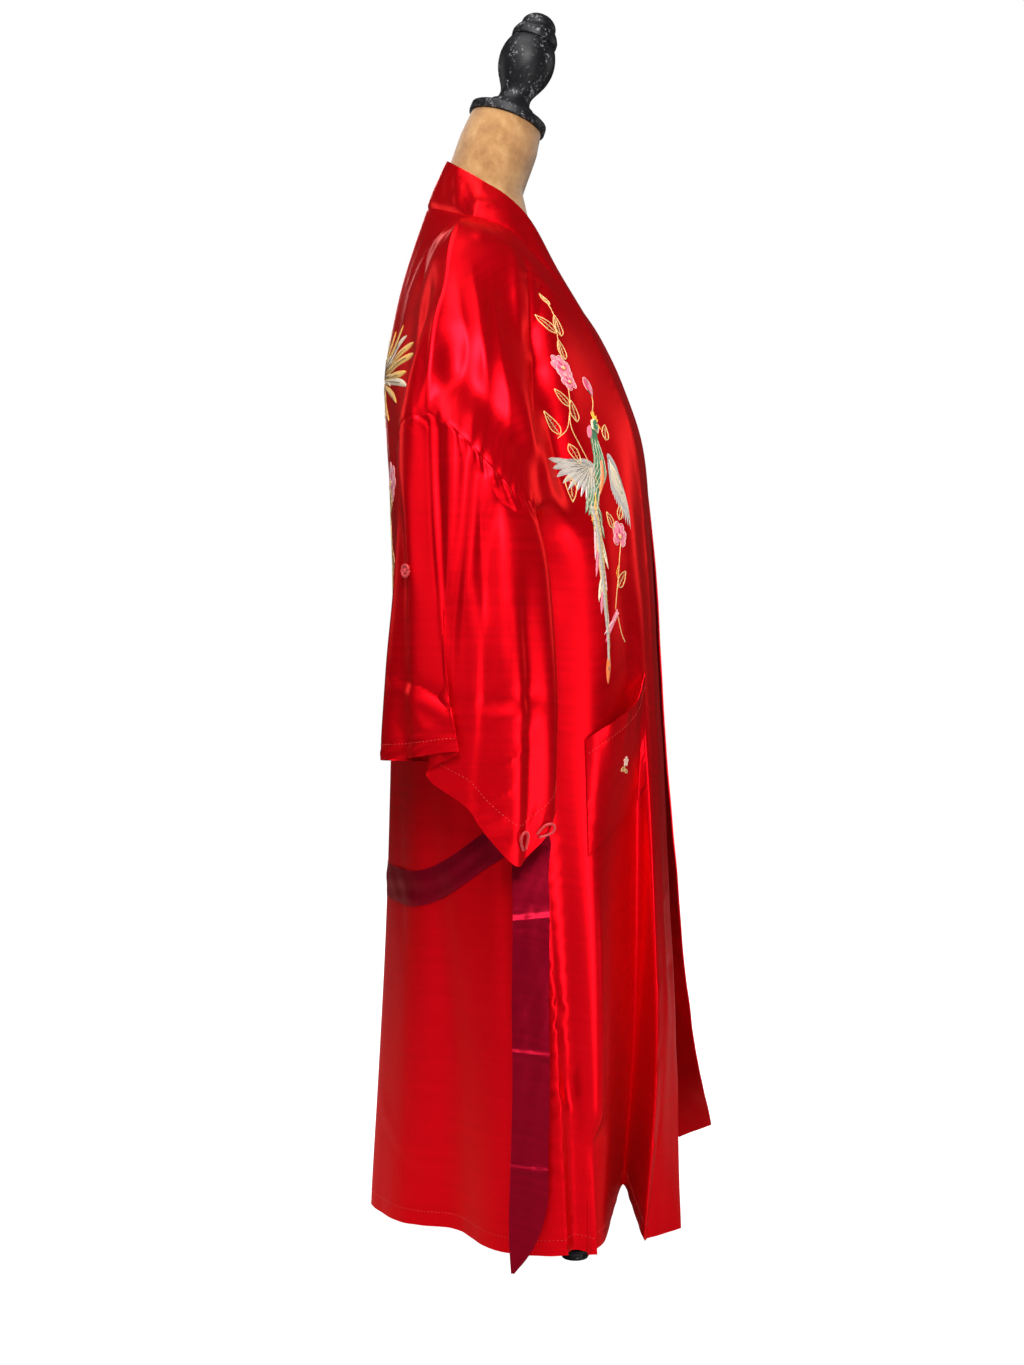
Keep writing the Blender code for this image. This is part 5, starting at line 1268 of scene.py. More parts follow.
def silk_group():
    """The weave that all the silks share: slubs along the weft, a fine weave and broad soft patches."""
    tree = bpy.data.node_groups.new("silk weave", "ShaderNodeTree")
    for name in ("Height", "Streaks", "Patches"):
        tree.interface.new_socket(name, in_out="OUTPUT", socket_type="NodeSocketFloat")
    places = tree.nodes.new("ShaderNodeUVMap").outputs["UV"]
    slubs = noise(tree, scaled(tree, places, (16, 520, 1)), 1.0, 2.0, 0.6)
    threads = noise(tree, scaled(tree, places, (900, 3400, 1)), 1.0, 0.0)
    fed(tree, tree.nodes.new("NodeGroupOutput"), {
        "Height": added(tree, slubs, threads, 0.35),
        "Streaks": noise(tree, scaled(tree, places, (5, 150, 1)), 1.0, 3.0, 0.55),
        "Patches": noise(tree, places, 22.0, 2.0, 0.5),
    })
    return tree


def new_material(name):
    """A new material, its node tree and its shader."""
    material = bpy.data.materials.new(name)
    material.use_nodes = True
    return material, material.node_tree, material.node_tree.nodes["Principled BSDF"]


def silk(name, dark, light, roughness, metallic, slubs):
    """Satin: its colour runs from dark to light with the streaks, over a slubbed weave."""
    material, tree, shader = new_material(name)
    weave = tree.nodes.new("ShaderNodeGroup")
    weave.node_tree = bpy.data.node_groups.get("silk weave") or silk_group()
    streaks, patches = weave.outputs["Streaks"], weave.outputs["Patches"]
    shine = fed(tree, tree.nodes.new("ShaderNodeMapRange"),
                {"Value": streaks, "To Min": roughness - 0.05, "To Max": roughness + 0.07})
    fed(tree, shader, {
        "Base Color": ramp(tree, added(tree, streaks, patches, 0.35), ((0.45, dark), (0.9, light))),
        "Roughness": shine.outputs["Result"],
        "Metallic": metallic,
        "Normal": bumped(tree, weave.outputs["Height"], slubs, 0.0006),
        "Specular Tint": (1.0, 0.10, 0.08, 1),
        "Coat Roughness": 0.35,
        "Coat Weight": 0.02,
        "Sheen Weight": 0.02,
        "Sheen Roughness": 0.4,
        "Sheen Tint": (1.0, 0.12, 0.10, 1),
    })
    return material


def thread(name, colour, metallic, roughness):
    """Embroidery silk or metal thread, with fine strands that run along it."""
    material, tree, shader = new_material(name)
    places = tree.nodes.new("ShaderNodeUVMap").outputs["UV"]
    strands = noise(tree, scaled(tree, places, (2600, 160, 1)), 1.0, 1.0)
    dark = tuple(0.62 * c for c in colour)
    fed(tree, shader, {
        "Base Color": ramp(tree, strands, ((0.3, dark), (0.62, colour))),
        "Roughness": roughness,
        "Metallic": metallic,
        "Normal": bumped(tree, strands, 0.5, 0.0003),
        "Sheen Weight": 0.15,
    })
    return material


def suede(name):
    """Tan suede with a soft mottle and a fine nap."""
    material, tree, shader = new_material(name)
    places = tree.nodes.new("ShaderNodeTexCoord").outputs["Object"]
    mottle = noise(tree, places, 38.0, 5.0, 0.62)
    nap = noise(tree, places, 900.0, 2.0)
    colours = ((0.30, (0.21, 0.100, 0.034)), (0.52, (0.31, 0.158, 0.058)), (0.72, (0.40, 0.228, 0.095)))
    fed(tree, shader, {
        "Base Color": ramp(tree, mottle, colours),
        "Roughness": 0.92,
        "Normal": bumped(tree, added(tree, mottle, nap, 0.5), 0.35, 0.0008),
        "Sheen Weight": 0.25,
        "Specular IOR Level": 0.25,
    })
    return material


def painted_wood(name):
    """Black paint, rubbed and chipped to grey in specks, over fine turning marks."""
    material, tree, shader = new_material(name)
    places = tree.nodes.new("ShaderNodeTexCoord").outputs["Object"]
    specks = noise(tree, places, 210.0, 4.0, 0.7)
    wear = noise(tree, places, 34.0, 3.0, 0.6)
    rings = noise(tree, scaled(tree, places, (12, 12, 1100)), 1.0, 1.0)
    colours = ((0.80, (0.004, 0.004, 0.005)), (0.905, (0.014, 0.014, 0.016)), (0.96, (0.16, 0.16, 0.165)))
    fed(tree, shader, {
        "Base Color": ramp(tree, added(tree, specks, wear, 0.55), colours),
        "Roughness": 0.44,
        "Specular IOR Level": 0.22,
        "Normal": bumped(tree, added(tree, rings, specks, 0.6), 0.25, 0.0005),
    })
    return material


def finish(name):
    """A finish by its name, made the first time that it is asked for."""
    if name in bpy.data.materials:
        return bpy.data.materials[name]
    for table, maker in ((SILKS, silk), (THREADS, thread)):
        if name in table:
            return maker(name, *table[name])
    return {"tan suede": suede, "painted wood": painted_wood}[name](name)


# ================================================================ the belt's, pockets' and frogs' shapes


def pocket_grid(front, side):
    """A pocket's places in front of its front: rows from its gaping top to its bottom."""
    across = np.linspace(POCKET["across_in"], POCKET["across_out"], POCKET_COLUMNS + 1)
    shares = np.linspace(0, 1, POCKET_ROWS + 1)
    tops = np.linspace(POCKET["top_in"], POCKET["top_out"], len(across)) * MM
    lows = np.linspace(POCKET["low_in"], POCKET["low_out"], len(across)) * MM
    base = np.array([[at_height(front, place * FRONT_COLUMNS, top + (low - top) * share)
                      for place, top, low in zip(across, tops, lows)] for share in shares])
    base = smoothed(smoothed(base, 6, 0), 6, 1)
    normals = grid_normals(base, pole_at(0.6))
    gape = np.sin(np.linspace(0, math.pi, len(across))) ** 0.8
    off = POCKET["off"] + POCKET["gape"] * ((1 - shares) ** 1.4)[:, None] * gape[None, :]
    run = run_of(base, 1)
    wave, spacing = POCKET_WAVE
    off += wave * ((1 - shares) ** 3)[:, None] * gape[None, :] * uneven(run, 33, spacing)
    down = run_of(base, 0)
    to_side = np.minimum(run, run[:, -1:] - run)
    high, spacing, reach, sewn = POCKET_PUCKER
    pucker = high * uneven(down, 31, spacing) * np.exp(-to_side / reach) * eased(to_side / sewn)
    hem = -POCKET_STITCHED * bell(down - POCKET_HEM, STITCHED_WIDTH)
    droop = -1.1 * bell(down - 0.050 - 0.3 * run, 0.010) + 0.8 * np.sin(run / 0.021 + side)
    return base + normals * ((off + pucker + hem + 0.5 * droop * shares[:, None]) * MM)[..., None]


def belt_back_grid(back):
    """The belt's stretch on the back, from the left loop to the right one, and its outward normals."""
    half = back_columns()
    places = np.concatenate([-half[:0:-1], half])
    route = np.array(BELT_ROUTE, float)
    heights = through(route[:, 0], route[:, 1:], np.abs(places))[:, 0] * MM
    points = np.array([[at_height(back, column, height + offset * BELT_WIDTH) for offset in BELT_ACROSS]
                       for column, height in enumerate(heights)])
    kept = np.abs(places) <= BELT_REACH
    points = smoothed(smoothed(points[kept], 14, 0), 2, 1)
    return points, grid_normals(points, pole_at(0.45))


def belt_wrinkles(points, seed):
    """The soft folds along a folded sash, and its rounded edges, in metres off its own surface."""
    across = BELT_ACROSS[None, :] / 0.5
    along = run_of(points, 0)
    crown = 0.5 * MM * (1 - across ** 4)
    folds = 0.45 * MM * np.sin(5.2 * across + 1.6 * uneven(along, seed, 0.16))
    cross = 0.35 * MM * uneven(along + 0.02 * across, seed + 1, 0.045)
    return crown + (folds + cross) * (1 - across ** 6)


def tail_grid(before, start, side):
    """A tail goes on from the belt's last two rows, turns down and hangs to its point."""
    middle, up = start.mean(axis=0), unit(start[0] - start[-1])
    forward = unit(middle - before.mean(axis=0))
    rows = [start + forward * past for past in BELT_START]
    middle = middle + forward * BELT_START[-1]
    radius = BELT_TURN * MM
    for share in np.linspace(0, 1, TURN_ROWS)[1:]:
        turn = share * math.pi / 2
        centre = middle + forward * radius * math.sin(turn) - up * radius * (1 - math.cos(turn))
        centre = centre + np.array([side * BELT_TURN_OUT * MM * share, 0, 0])
        across = up * math.cos(turn) + forward * math.sin(turn)
        rows.append([centre + across * BELT_WIDTH * place for place in BELT_ACROSS])
    turned_out = 0.5 * (rows[-1][0] + rows[-1][-1])
    further = LEFT_TAIL_OUT if side > 0 else 0
    table = [(abs(turned_out[0]) / MM, (turned_out[1] - POLE_Y) / MM, turned_out[2] / MM, BELT_WIDTH / MM)]
    table += [(out + further, *rest) for out, *rest in BELT_TAIL]
    table = np.array(table, float)
    knots = run_along(table[:, :3])
    for out, back, height, width in through(knots, table, np.linspace(0, knots[-1], TAIL_ROWS)[1:]):
        centre = to_metres((out, back, height), side)
        rows.append([centre - np.array([0, width * MM * place, 0]) for place in BELT_ACROSS])
    points = np.array(rows)
    normals = grid_normals(points, pole_at(0.3))
    height = belt_wrinkles(points, 70 + side) - 0.4 * MM
    up_mm = points[..., 2] / MM
    for pressed in BELT_PRESSED:
        slant = pressed + 6 * np.sin(pressed) * BELT_ACROSS[None, :]
        height += PRESSED_DEPTH * MM * bell(up_mm - slant, PRESSED_WIDTH) * (up_mm < BELT_TAIL[0][2] - 10)
    height[:len(BELT_START)] = 0
    return points + normals * height[..., None]


def hung_normals(points, middle):
    """The normals of a tail. Over its first stretch down they lean out less than its cloth does."""
    normals = grid_normals(points, middle)
    hanging = eased((np.arange(len(points)) - HUNG_ROW) / 4.0)[:, None]
    normals[..., 2] *= 1 - 0.5 * hanging * eased((points[..., 2] - HUNG_UP) / HUNG_FADE)
    return unit(normals)


def belt_loop_grid(back, end, column, side):
    """A narrow strip that lies on the back at its ends and stands off over the belt."""
    high, low = end[0, 2] + BELT_LOOP["above"] * MM, end[-1, 2] - BELT_LOOP["below"] * MM
    rows = []
    for share in np.linspace(0, 1, 33):
        up = high + (low - high) * share
        along = unit(at_height(back, column + 3, up) - at_height(back, column - 3, up))
        facing = unit(np.cross(along, (0, 0, 1)))
        facing = facing * side * np.sign(facing[0])
        spread = eased(np.array(min(1.0, 2.6 * math.sin(math.pi * share))))
        off = (BELT_LOOP["rest_off"] + (BELT_LOOP["stand_off"] - BELT_LOOP["rest_off"]) * spread) * MM
        centre = at_height(back, column, up) + facing * off
        rows.append([centre + along * place * BELT_LOOP["width"] * MM for place in (0.5, 0.17, -0.17, -0.5)])
    return smoothed(np.array(rows), 5)


def sleeve_place(sleeve, around, share):
    """A place on a sleeve's grid with its outward normal and the ways forward round it and up it."""
    rows, columns = len(sleeve) - 1, sleeve.shape[1] - 1
    run = run_of(sleeve, 0).mean(axis=1)
    i = int(np.clip(np.searchsorted(run, share * run[-1]), 2, rows - 1))
    j = int(round(around * columns)) % columns
    place = sleeve[i, j]
    forward = unit(sleeve[i, (j + 2) % columns] - sleeve[i, j - 2])
    up = unit(sleeve[i - 2, j] - sleeve[min(i + 1, rows), j])
    facing = unit(np.cross(forward, up))
    if facing @ (place - sleeve[i, :-1].mean(axis=0)) < 0:
        facing = -facing
    return place, facing, forward, unit(np.cross(facing, forward) * np.sign(np.cross(facing, forward)[2]))


def cuff_loop_line(sleeve, side, row):
    """The line of a frog's cord loop beside the cuff's low front corner."""
    loop = dict(zip(CUFF_LOOP_COLUMNS, row))
    place, facing, forward, up = sleeve_place(sleeve, loop["around"], 0.975)
    seat = place + facing * (CORD_SEAT + LOOP_CORD / 2)
    turn = math.radians(loop["lean"])
    along = forward * math.cos(turn) + up * math.sin(turn) + facing * CUFF_LOOP_OUT
    across = up * math.cos(turn) - forward * math.sin(turn)
    line = []
    for angle in np.linspace(0, math.pi, 49):
        sideways = CUFF_LOOP_ENDS / 2 * math.cos(angle) + loop["width"] / 2 * math.sin(2 * angle)
        line.append(seat + (along * loop["reach"] * math.sin(angle) + across * sideways) * MM)
    return line


def button_lines(sleeve):
    """A frog's button: a flat coil of cord with a raised rim and a knot on its middle."""
    place, facing, forward, up = sleeve_place(sleeve, BUTTON["around"], BUTTON["share"])
    seat = place + facing * (CORD_SEAT + BUTTON["off"] * MM)
    coil = []
    for share in np.linspace(0, 1, 170):
        turn = share * 2.6 * 2 * math.pi
        radius = BUTTON["cord"] * 0.6 + (BUTTON["radius"] - 2.1 * BUTTON["cord"]) * share ** 0.8
        coil.append((radius * math.cos(turn), radius * math.sin(turn), 1.2 + 0.9 * share ** 2))
    rim = [(6.8 * math.cos(t), 6.8 * math.sin(t), 2.9 + 0.25 * math.sin(9 * t))
           for t in np.linspace(0, 2 * math.pi * 0.985, 60)]
    knot = [((1.4 + 0.8 * math.cos(3 * t)) * math.cos(2 * t), (1.4 + 0.8 * math.cos(3 * t)) * math.sin(2 * t),
             2.6 + 0.7 * math.sin(3 * t)) for t in np.linspace(0, 2 * math.pi * 0.985, 70)]
    lines = []
    for line in (coil, rim, knot):
        lines.append([seat + (forward * a + up * b + facing * c) * MM for a, b, c in line])
    return lines


# ================================================================ stitching
def stitch_lines(points, normals, row):
    """Small stitches along a row of a panel; each dips into the cloth at both ends."""
    line, facing = points[row], normals[row]
    run = run_along(line)
    stitches = []
    for start in np.arange(STITCH_GAP, run[-1] - STITCH, STITCH + STITCH_GAP):
        at = start + STITCH * np.array([0.0, 0.22, 0.78, 1.0])
        places = np.stack([np.interp(at, run, line[:, k]) for k in range(3)], axis=1)
        ways = np.stack([np.interp(at, run, facing[:, k]) for k in range(3)], axis=1)
        stitches.append(places + unit(ways) * STITCH_LIFT * np.array([-0.8, 1.0, 1.0, -0.8])[:, None])
    return stitches


# ================================================================ hard pieces
def ringed_piece(name, rings, segments, material, angle=35):
    """A closed smooth piece, extruded ring by ring. A ring is (x, y, z, half width, half depth, tilt about
    X in radians), and the piece is capped at both ends."""
    if bpy.context.object is not None and bpy.context.object.mode != "OBJECT":
        bpy.ops.object.mode_set(mode="OBJECT")
    bpy.ops.object.select_all(action="DESELECT")
    x, y, z, wide, deep, tilt = rings[0]
    bpy.ops.mesh.primitive_circle_add(vertices=segments, radius=1, fill_type="NGON", location=(0, 0, 0))
    obj = bpy.context.object
    obj.name = name
    bpy.ops.object.mode_set(mode="EDIT")
    bpy.ops.transform.resize(value=(wide, deep, 1), center_override=(0, 0, 0))
    bpy.ops.transform.rotate(value=-tilt, orient_axis="X", center_override=(0, 0, 0))
    bpy.ops.transform.translate(value=(x, y, z))
    for before, after in zip(rings, rings[1:]):
        step = tuple(b - a for a, b in zip(before[:3], after[:3]))
        bpy.ops.mesh.extrude_region_move(TRANSFORM_OT_translate={"value": step})
        if before[5]:
            bpy.ops.transform.rotate(value=before[5], orient_axis="X", center_override=after[:3])
        bpy.ops.transform.resize(value=(after[3] / before[3], after[4] / before[4], 1),
                                 center_override=after[:3])
        if after[5]:
            bpy.ops.transform.rotate(value=-after[5], orient_axis="X", center_override=after[:3])
    bpy.ops.mesh.select_all(action="SELECT")
    bpy.ops.mesh.normals_make_consistent(inside=False)
    bpy.ops.object.mode_set(mode="OBJECT")
    bpy.ops.object.shade_smooth_by_angle(angle=math.radians(angle))
    obj.data.materials.append(material)
    return obj


def softened(profile):
    """A turned profile, in (radius, height), with its corners cut small and its ends nearly closed."""
    points = np.array([(r, z) for r, z in profile if r > 0], float)
    for _ in range(3):
        cut = [points[0]]
        for a, b in zip(points, points[1:]):
            cut += [0.75 * a + 0.25 * b, 0.25 * a + 0.75 * b]
        points = np.array(cut + [points[-1]])
    apart = np.linalg.norm(np.diff(points, axis=0), axis=1) > NEAREST_RINGS
    rings = [tuple(point) for point in points[np.concatenate([[True], apart])]]
    if rings[0][0] > SMALLEST_END:
        rings.insert(0, (END_RADIUS, profile[0][1]))
    if rings[-1][0] > SMALLEST_END:
        rings.append((END_RADIUS, profile[-1][1]))
    return rings


def turned_piece(name, profile, segments, material, seat):
    """A piece turned round its own Z from (radius, height) points in millimetres, set by a matrix."""
    rings = [(0, 0, z * MM, r * MM, r * MM, 0) for r, z in profile]
    obj = ringed_piece(name, rings, segments, material)
    obj.data.transform(seat)
    return obj


# ================================================================ embroidery
class Patch:
    """A stretch of cloth that embroidery lies on. A plan place is (across, up) in millimetres: across is
    the distance along the cloth from the panel's first column, or from the middle of the back."""

    def __init__(self, points, inside, middle_column=0):
        self.points = points
        self.normals = grid_normals(points, inside)
        across = run_of(points, 1)
        across = (across - across[:, middle_column:middle_column + 1]) / MM
        up = points[..., 2] / MM
        self.plan = np.stack([across, up], axis=-1)
        flat = self.plan.reshape(-1, 2)
        self.tree = KDTree(len(flat))
        for index, (x, y) in enumerate(flat):
            self.tree.insert((x, y, 0), index)
        self.tree.balance()

    def spot(self, column_share, up):
        """The plan place at a share of the columns and a height in millimetres."""
        column = int(round(column_share * (self.points.shape[1] - 1)))
        order = np.argsort(self.plan[:, column, 1])
        across = np.interp(up, self.plan[order, column, 1], self.plan[order, column, 0])
        return np.array([across, up])

    def place(self, plan, lift):
        """Places lift millimetres over the cloth's outer face at plan places."""
        plan, lift = np.asarray(plan, float), np.asarray(lift, float)
        flat = plan.reshape(-1, 2)
        rows, columns = self.plan.shape[:2]
        near = np.array([self.tree.find((x, y, 0))[1] for x, y in flat])
        i = np.clip(near // columns, 1, rows - 2)
        j = np.clip(near % columns, 1, columns - 2)
        down = 0.5 * (self.plan[i + 1, j] - self.plan[i - 1, j])
        side = 0.5 * (self.plan[i, j + 1] - self.plan[i, j - 1])
        rest = flat - self.plan[i, j]
        size = down[:, 0] * side[:, 1] - down[:, 1] * side[:, 0]
        a = np.clip((rest[:, 0] * side[:, 1] - rest[:, 1] * side[:, 0]) / size, -0.99, 0.99)
        b = np.clip((down[:, 0] * rest[:, 1] - down[:, 1] * rest[:, 0]) / size, -0.99, 0.99)
        i, a = i - (a < 0), (a % 1.0)[:, None]
        j, b = j - (b < 0), (b % 1.0)[:, None]
        places, normals = (between(grid, i, j, a, b) for grid in (self.points, self.normals))
        lifted = np.broadcast_to((FACE + lift) * MM, plan.shape[:-1]).reshape(-1, 1)
        return (places + unit(normals) * lifted).reshape(*plan.shape[:-1], 3)


def turned_by(points, angle):
    """Plan points turned by an angle in degrees, anticlockwise from across to up."""
    turn = math.radians(angle)
    cos, sin = math.cos(turn), math.sin(turn)
    return np.asarray(points, float) @ np.array([[cos, sin], [-sin, cos]])


def heading_of(step):
    """The angle in degrees that a plan step points at."""
    return math.degrees(math.atan2(step[1], step[0]))


class Needlework:
    """Embroidery on a patch: satin-stitched shapes and couched cords, in many threads, as one mesh."""

    def __init__(self, patch, seed):
        self.patch, self.random = patch, np.random.default_rng(seed)
        self.verts, self.faces, self.uvs, self.slots, self.threads = [], [], [], [], []

    def slot_of(self, name):
        """The material slot of a thread, by its colour."""
        if name not in self.threads:
            self.threads.append(name)
        return self.threads.index(name)

    def fill(self, name, spine, widths, dome=0.7, rows=9, columns=6):
        """A padded satin-stitched shape about a spine; widths are its half widths along it."""
        shares = np.linspace(0, 1, rows + 1)
        line = through(np.linspace(0, 1, len(spine)), spine, shares)
        half = np.interp(shares, np.linspace(0, 1, len(widths)), widths)
        along = unit(np.gradient(line, axis=0))
        sideways = np.stack([-along[:, 1], along[:, 0]], axis=1)
        across = np.linspace(-1, 1, columns + 1)
        offsets = half[:, None] * across[None, :]
        plan = line[:, None] + sideways[:, None] * offsets[..., None]
        lift = dome * np.sqrt(np.clip(1 - across ** 2, 0, 1))[None, :] * np.minimum(1, half / 1.5)[:, None]
        points = self.patch.place(plan, lift - 0.12)
        uvs = np.stack([offsets * MM, run_of(points, 0)], axis=-1).reshape(-1, 2)
        row, column = rows // 2, columns // 2
        middle = points[row, column]
        facing = self.patch.place(plan[row, column][None], 5.0)[0] - middle
        normal = np.cross(points[row, column + 1] - middle, points[row + 1, column] - middle)
        self.add(name, list(points.reshape(-1, 3)), grid_faces(rows + 1, columns + 1, normal @ facing < 0),
                 list(uvs + self.random.uniform(0, 1, 2)))

    def add(self, name, verts, faces, uvs):
        """Adds verts, and faces between them, in the thread of a colour."""
        first = len(self.verts)
        self.verts += verts
        self.uvs += uvs
        self.faces += [tuple(first + k for k in face) for face in faces]
        self.slots += [self.slot_of(name)] * len(faces)

    def line(self, name, path, thick=0.9, lift=0.15):
        """A couched cord along a path of plan places."""
        knots = run_along(path)
        count = max(3, int(knots[-1] / CORD_STEP) + 1)
        plan = through(knots, path, np.linspace(0, knots[-1], count))
        self.add(name, *tube_parts(self.patch.place(plan, lift), 0.5 * thick * MM, CORD_SIDES))

    def finished(self, name):
        """The embroidery as an object."""
        materials = [finish(colour + " thread") for colour in self.threads]
        obj = mesh_object(name, self.verts, self.faces, materials[0], self.uvs)
        for material in materials[1:]:
            obj.data.materials.append(material)
        obj.data.polygons.foreach_set("material_index", self.slots)
        return obj

    # -------------------------------------------------------- leaves and flowers
    def leaf(self, base, angle, length, width):
        """A leaf in outline: two bowed edges, a midrib and short slanting veins."""
        bow = np.array([(0, 0), (0.28, 0.5), (0.62, 0.42), (1.0, 0.0)]) * (length, width)
        for side in (1, -1):
            self.line("gold", base + turned_by(bow * (1, side), angle), 1.5)
        self.line("gold", base + turned_by([(0, 0), (0.8 * length, 0)], angle), 0.9)
        for share in np.linspace(0.18, 0.7, max(3, int(length / 6))):
            for side in (1, -1):
                reach = 0.30 * width * math.sin(math.pi * min(1, share + 0.12))
                vein = [(share * length, 0), (share * length + 0.10 * length, side * reach)]
                self.line("brown", base + turned_by(vein, angle), 0.8)

    def petal(self, name, base, angle, length, width, edge=None, dome=0.8):
        """A rounded petal in satin stitch, with a pale edge if one is named."""
        spine = base + turned_by([(0, 0), (0.5 * length, 0.04 * length), (length, 0)], angle)
        self.fill(name, spine, np.array([0.30, 0.75, 1.0, 0.98, 0.72, 0.12]) * width / 2, dome, 8, 6)
        if edge:
            half_rim = [(0.25, 0.42), (0.62, 0.53), (0.92, 0.30), (1.03, 0)]
            rim = half_rim + [(along, -across) for along, across in half_rim[-2::-1]]
            self.line(edge, base + turned_by(np.array(rim) * (length, width), angle), 1.0, 0.2)

    def peony(self, centre, angle, size):
        """A peony seen half from the side: outer, middle and inner petals in three pinks."""
        for turn, reach in ((-100, 0.50), (-55, 0.62), (-18, 0.72), (22, 0.70), (60, 0.60), (104, 0.48)):
            wobble = self.random.uniform(-5, 5)
            self.petal("pink", centre, angle + turn + wobble, reach * size, 0.44 * size, "blush")
        for turn, reach in ((-64, 0.40), (-8, 0.50), (46, 0.42)):
            self.petal("rose", centre, angle + turn, reach * size, 0.30 * size, "blush", 1.3)
        for turn in (-30, 18):
            self.petal("blush", centre, angle + turn, 0.26 * size, 0.18 * size, None, 1.7)
        for turn in np.linspace(-50, 50, 6):
            self.line("yellow", [centre, centre + turned_by((0.2 * size, 0), angle + turn)], 0.7, 1.4)

    def bud(self, base, angle, size):
        self.petal("rose", base, angle, size, 0.62 * size, "blush", 1.0)
        self.petal("pink", base, angle + 12, 0.7 * size, 0.34 * size, None, 1.4)
        for turn in (-38, 38):
            self.line("green", [base, base + turned_by((0.42 * size, 0), angle + turn)], 1.1, 0.6)

    def stem(self, *path, thick=1.2):
        self.line("gold", path, thick)

    # -------------------------------------------------------- the bird
    def feather(self, name, base, angle, length, width, bend=0.0, quill=None):
        """A pointed feather in satin stitch, with a quill line if one is named."""
        spine = np.array([(0, 0), (0.35, 0.6 * bend), (0.7, bend), (1, 0.7 * bend)]) * length
        spine = base + turned_by(spine, angle)
        self.fill(name, spine, np.array([0.55, 0.9, 1.0, 0.85, 0.55, 0.08]) * width / 2, 0.7, 9, 4)
        if quill:
            self.line(quill, spine[:3], 0.6, 0.75)

    def wing(self, shoulder, angle, side, reach, spread):
        """A wing: long flight feathers that fan out over spread degrees, under two rows of coverts."""
        for count, length, name, start, quill in WING_ROWS:
            for share in np.linspace(0, 1, count):
                turn = angle + side * spread * (share - 0.19)
                out = (start * reach * (1 - 0.5 * share), 0)
                base = shoulder + turned_by(out, angle + side * 30 * share)
                span = reach * length * (1.0 - 0.42 * share) * self.random.uniform(0.94, 1.05)
                self.feather(name, base, turn, span, 0.125 * reach, -0.05 * side, quill)

    def scales(self, names, spine, widths, pitch):
        """Short overlapping feathers down a body, from its head."""
        knots = run_along(spine)
        for row, at in enumerate(np.arange(0, knots[-1], pitch)[::-1]):
            back, here, ahead = through(knots, spine, (at - 2, at, at + 2))
            heading = heading_of(ahead - back)
            half = np.interp(at / knots[-1], np.linspace(0, 1, len(widths)), widths)
            count = max(2, int(round(half / 2.2)))
            for k, share in enumerate(np.linspace(-0.78, 0.78, count)):
                base = here + turned_by((0, share * half), heading)
                turn = heading + 12 * share + self.random.uniform(-5, 5)
                self.feather(names[(row + k) % len(names)], base, turn, 2.3 * pitch, 1.7 * half / count, 0,
                             "cream")

    def bird(self, head, root, tip, side):
        """A long-tailed bird from its head to its tail's root and tip; side is where its back is."""
        down, trail = root - head, tip - root
        heading, way = heading_of(down), heading_of(trail)
        length = np.linalg.norm(down)

        def by_head(*offsets):
            """Plan places at offsets (down the body, across it) from the head."""
            return head + turned_by(offsets, heading)

        body = by_head((0, 0), (0.22 * length, 0.02 * length), (0.5 * length, -side * 0.05 * length),
                       (0.8 * length, side * 0.02 * length), (1.05 * length, 0))
        self.fill("green", body, (4.5, 6.5, 11.0, 13.0, 12.0, 9.5, 7.5), 0.2, 26, 8)
        tail = np.array([root, root + 0.34 * trail + (side * 5, 0), root + 0.7 * trail + (side * 2, 0), tip])
        for share, name, reach, turn in STREAMERS:
            at = through(TAIL_KNOTS, tail, [share])[0]
            self.feather(name, at, way + turn, reach * np.linalg.norm(trail), 7.0, 0.03, "grey")
        self.fill("pale gold", tail, (7.0, 6.6, 5.8, 4.8, 3.8, 3.0, 2.4, 1.8), 1.0, 40, 6)
        self.fill("silver", tail + (side * 1.2, 0), (3.8, 3.4, 2.8, 2.2, 1.6, 1.2), 1.6, 40, 4)
        for share in np.linspace(0.03, 0.9, 26):
            at, half = through(TAIL_KNOTS, tail, [share])[0], 7.2 - 5.0 * share
            self.line("grey", [at + (-half, 1.6), at, at + (half, 1.6)], 0.55, 1.15)
        # the eye at the tail's tip
        end = tip - turned_by((4, 0), way)
        self.feather("orange", end, way, 34, 9.5, 0.02)
        self.feather("pale gold", end + turned_by((2, 0), way), way, 25, 6.0, 0.02)
        self.fill("brown", end + turned_by([(11, 0), (18, 0)], way), (0.3, 1.6, 1.6, 0.3), 1.6, 6, 4)
        # the scaled back and rump, the breast and the nape
        self.scales(("green", "green", "jade"), body[1:], (7.0, 11.5, 13.0, 11.0, 8.5), 5.2)
        rump = [root + 0.10 * down, root, root + 0.16 * trail]
        self.scales(("green", "jade", "green"), rump, (9.5, 9.0, 6.5), 5.2)
        breast = by_head((0.42 * length, -side * 8), (0.6 * length, -side * 11), (0.82 * length, -side * 8))
        self.fill("orange", breast, (1.0, 3.0, 3.6, 3.0, 1.0), 2.4, 12, 5)
        nape = by_head((0.10 * length, side * 9), (0.26 * length, side * 12))
        self.fill("pink", nape, (1.5, 4.6, 4.6, 1.0), 1.0, 8, 5)
        self.wing(by_head((0.52 * length, side * 6))[0], 90 + side * -104, -side, 70, 76)
        self.wing(by_head((0.24 * length, -side * 22))[0], heading - side * 32, side, 76, 30)
        # legs and toes
        for turn in (16, 36):
            foot = root + turned_by((15, 0), heading - side * turn)
            self.line("yellow", [root - 0.16 * down, foot], 1.0, 0.9)
            for toe in (-30, 0, 30):
                self.line("yellow", [foot, foot + turned_by((5, 0), heading - side * turn + toe)], 0.8, 0.5)
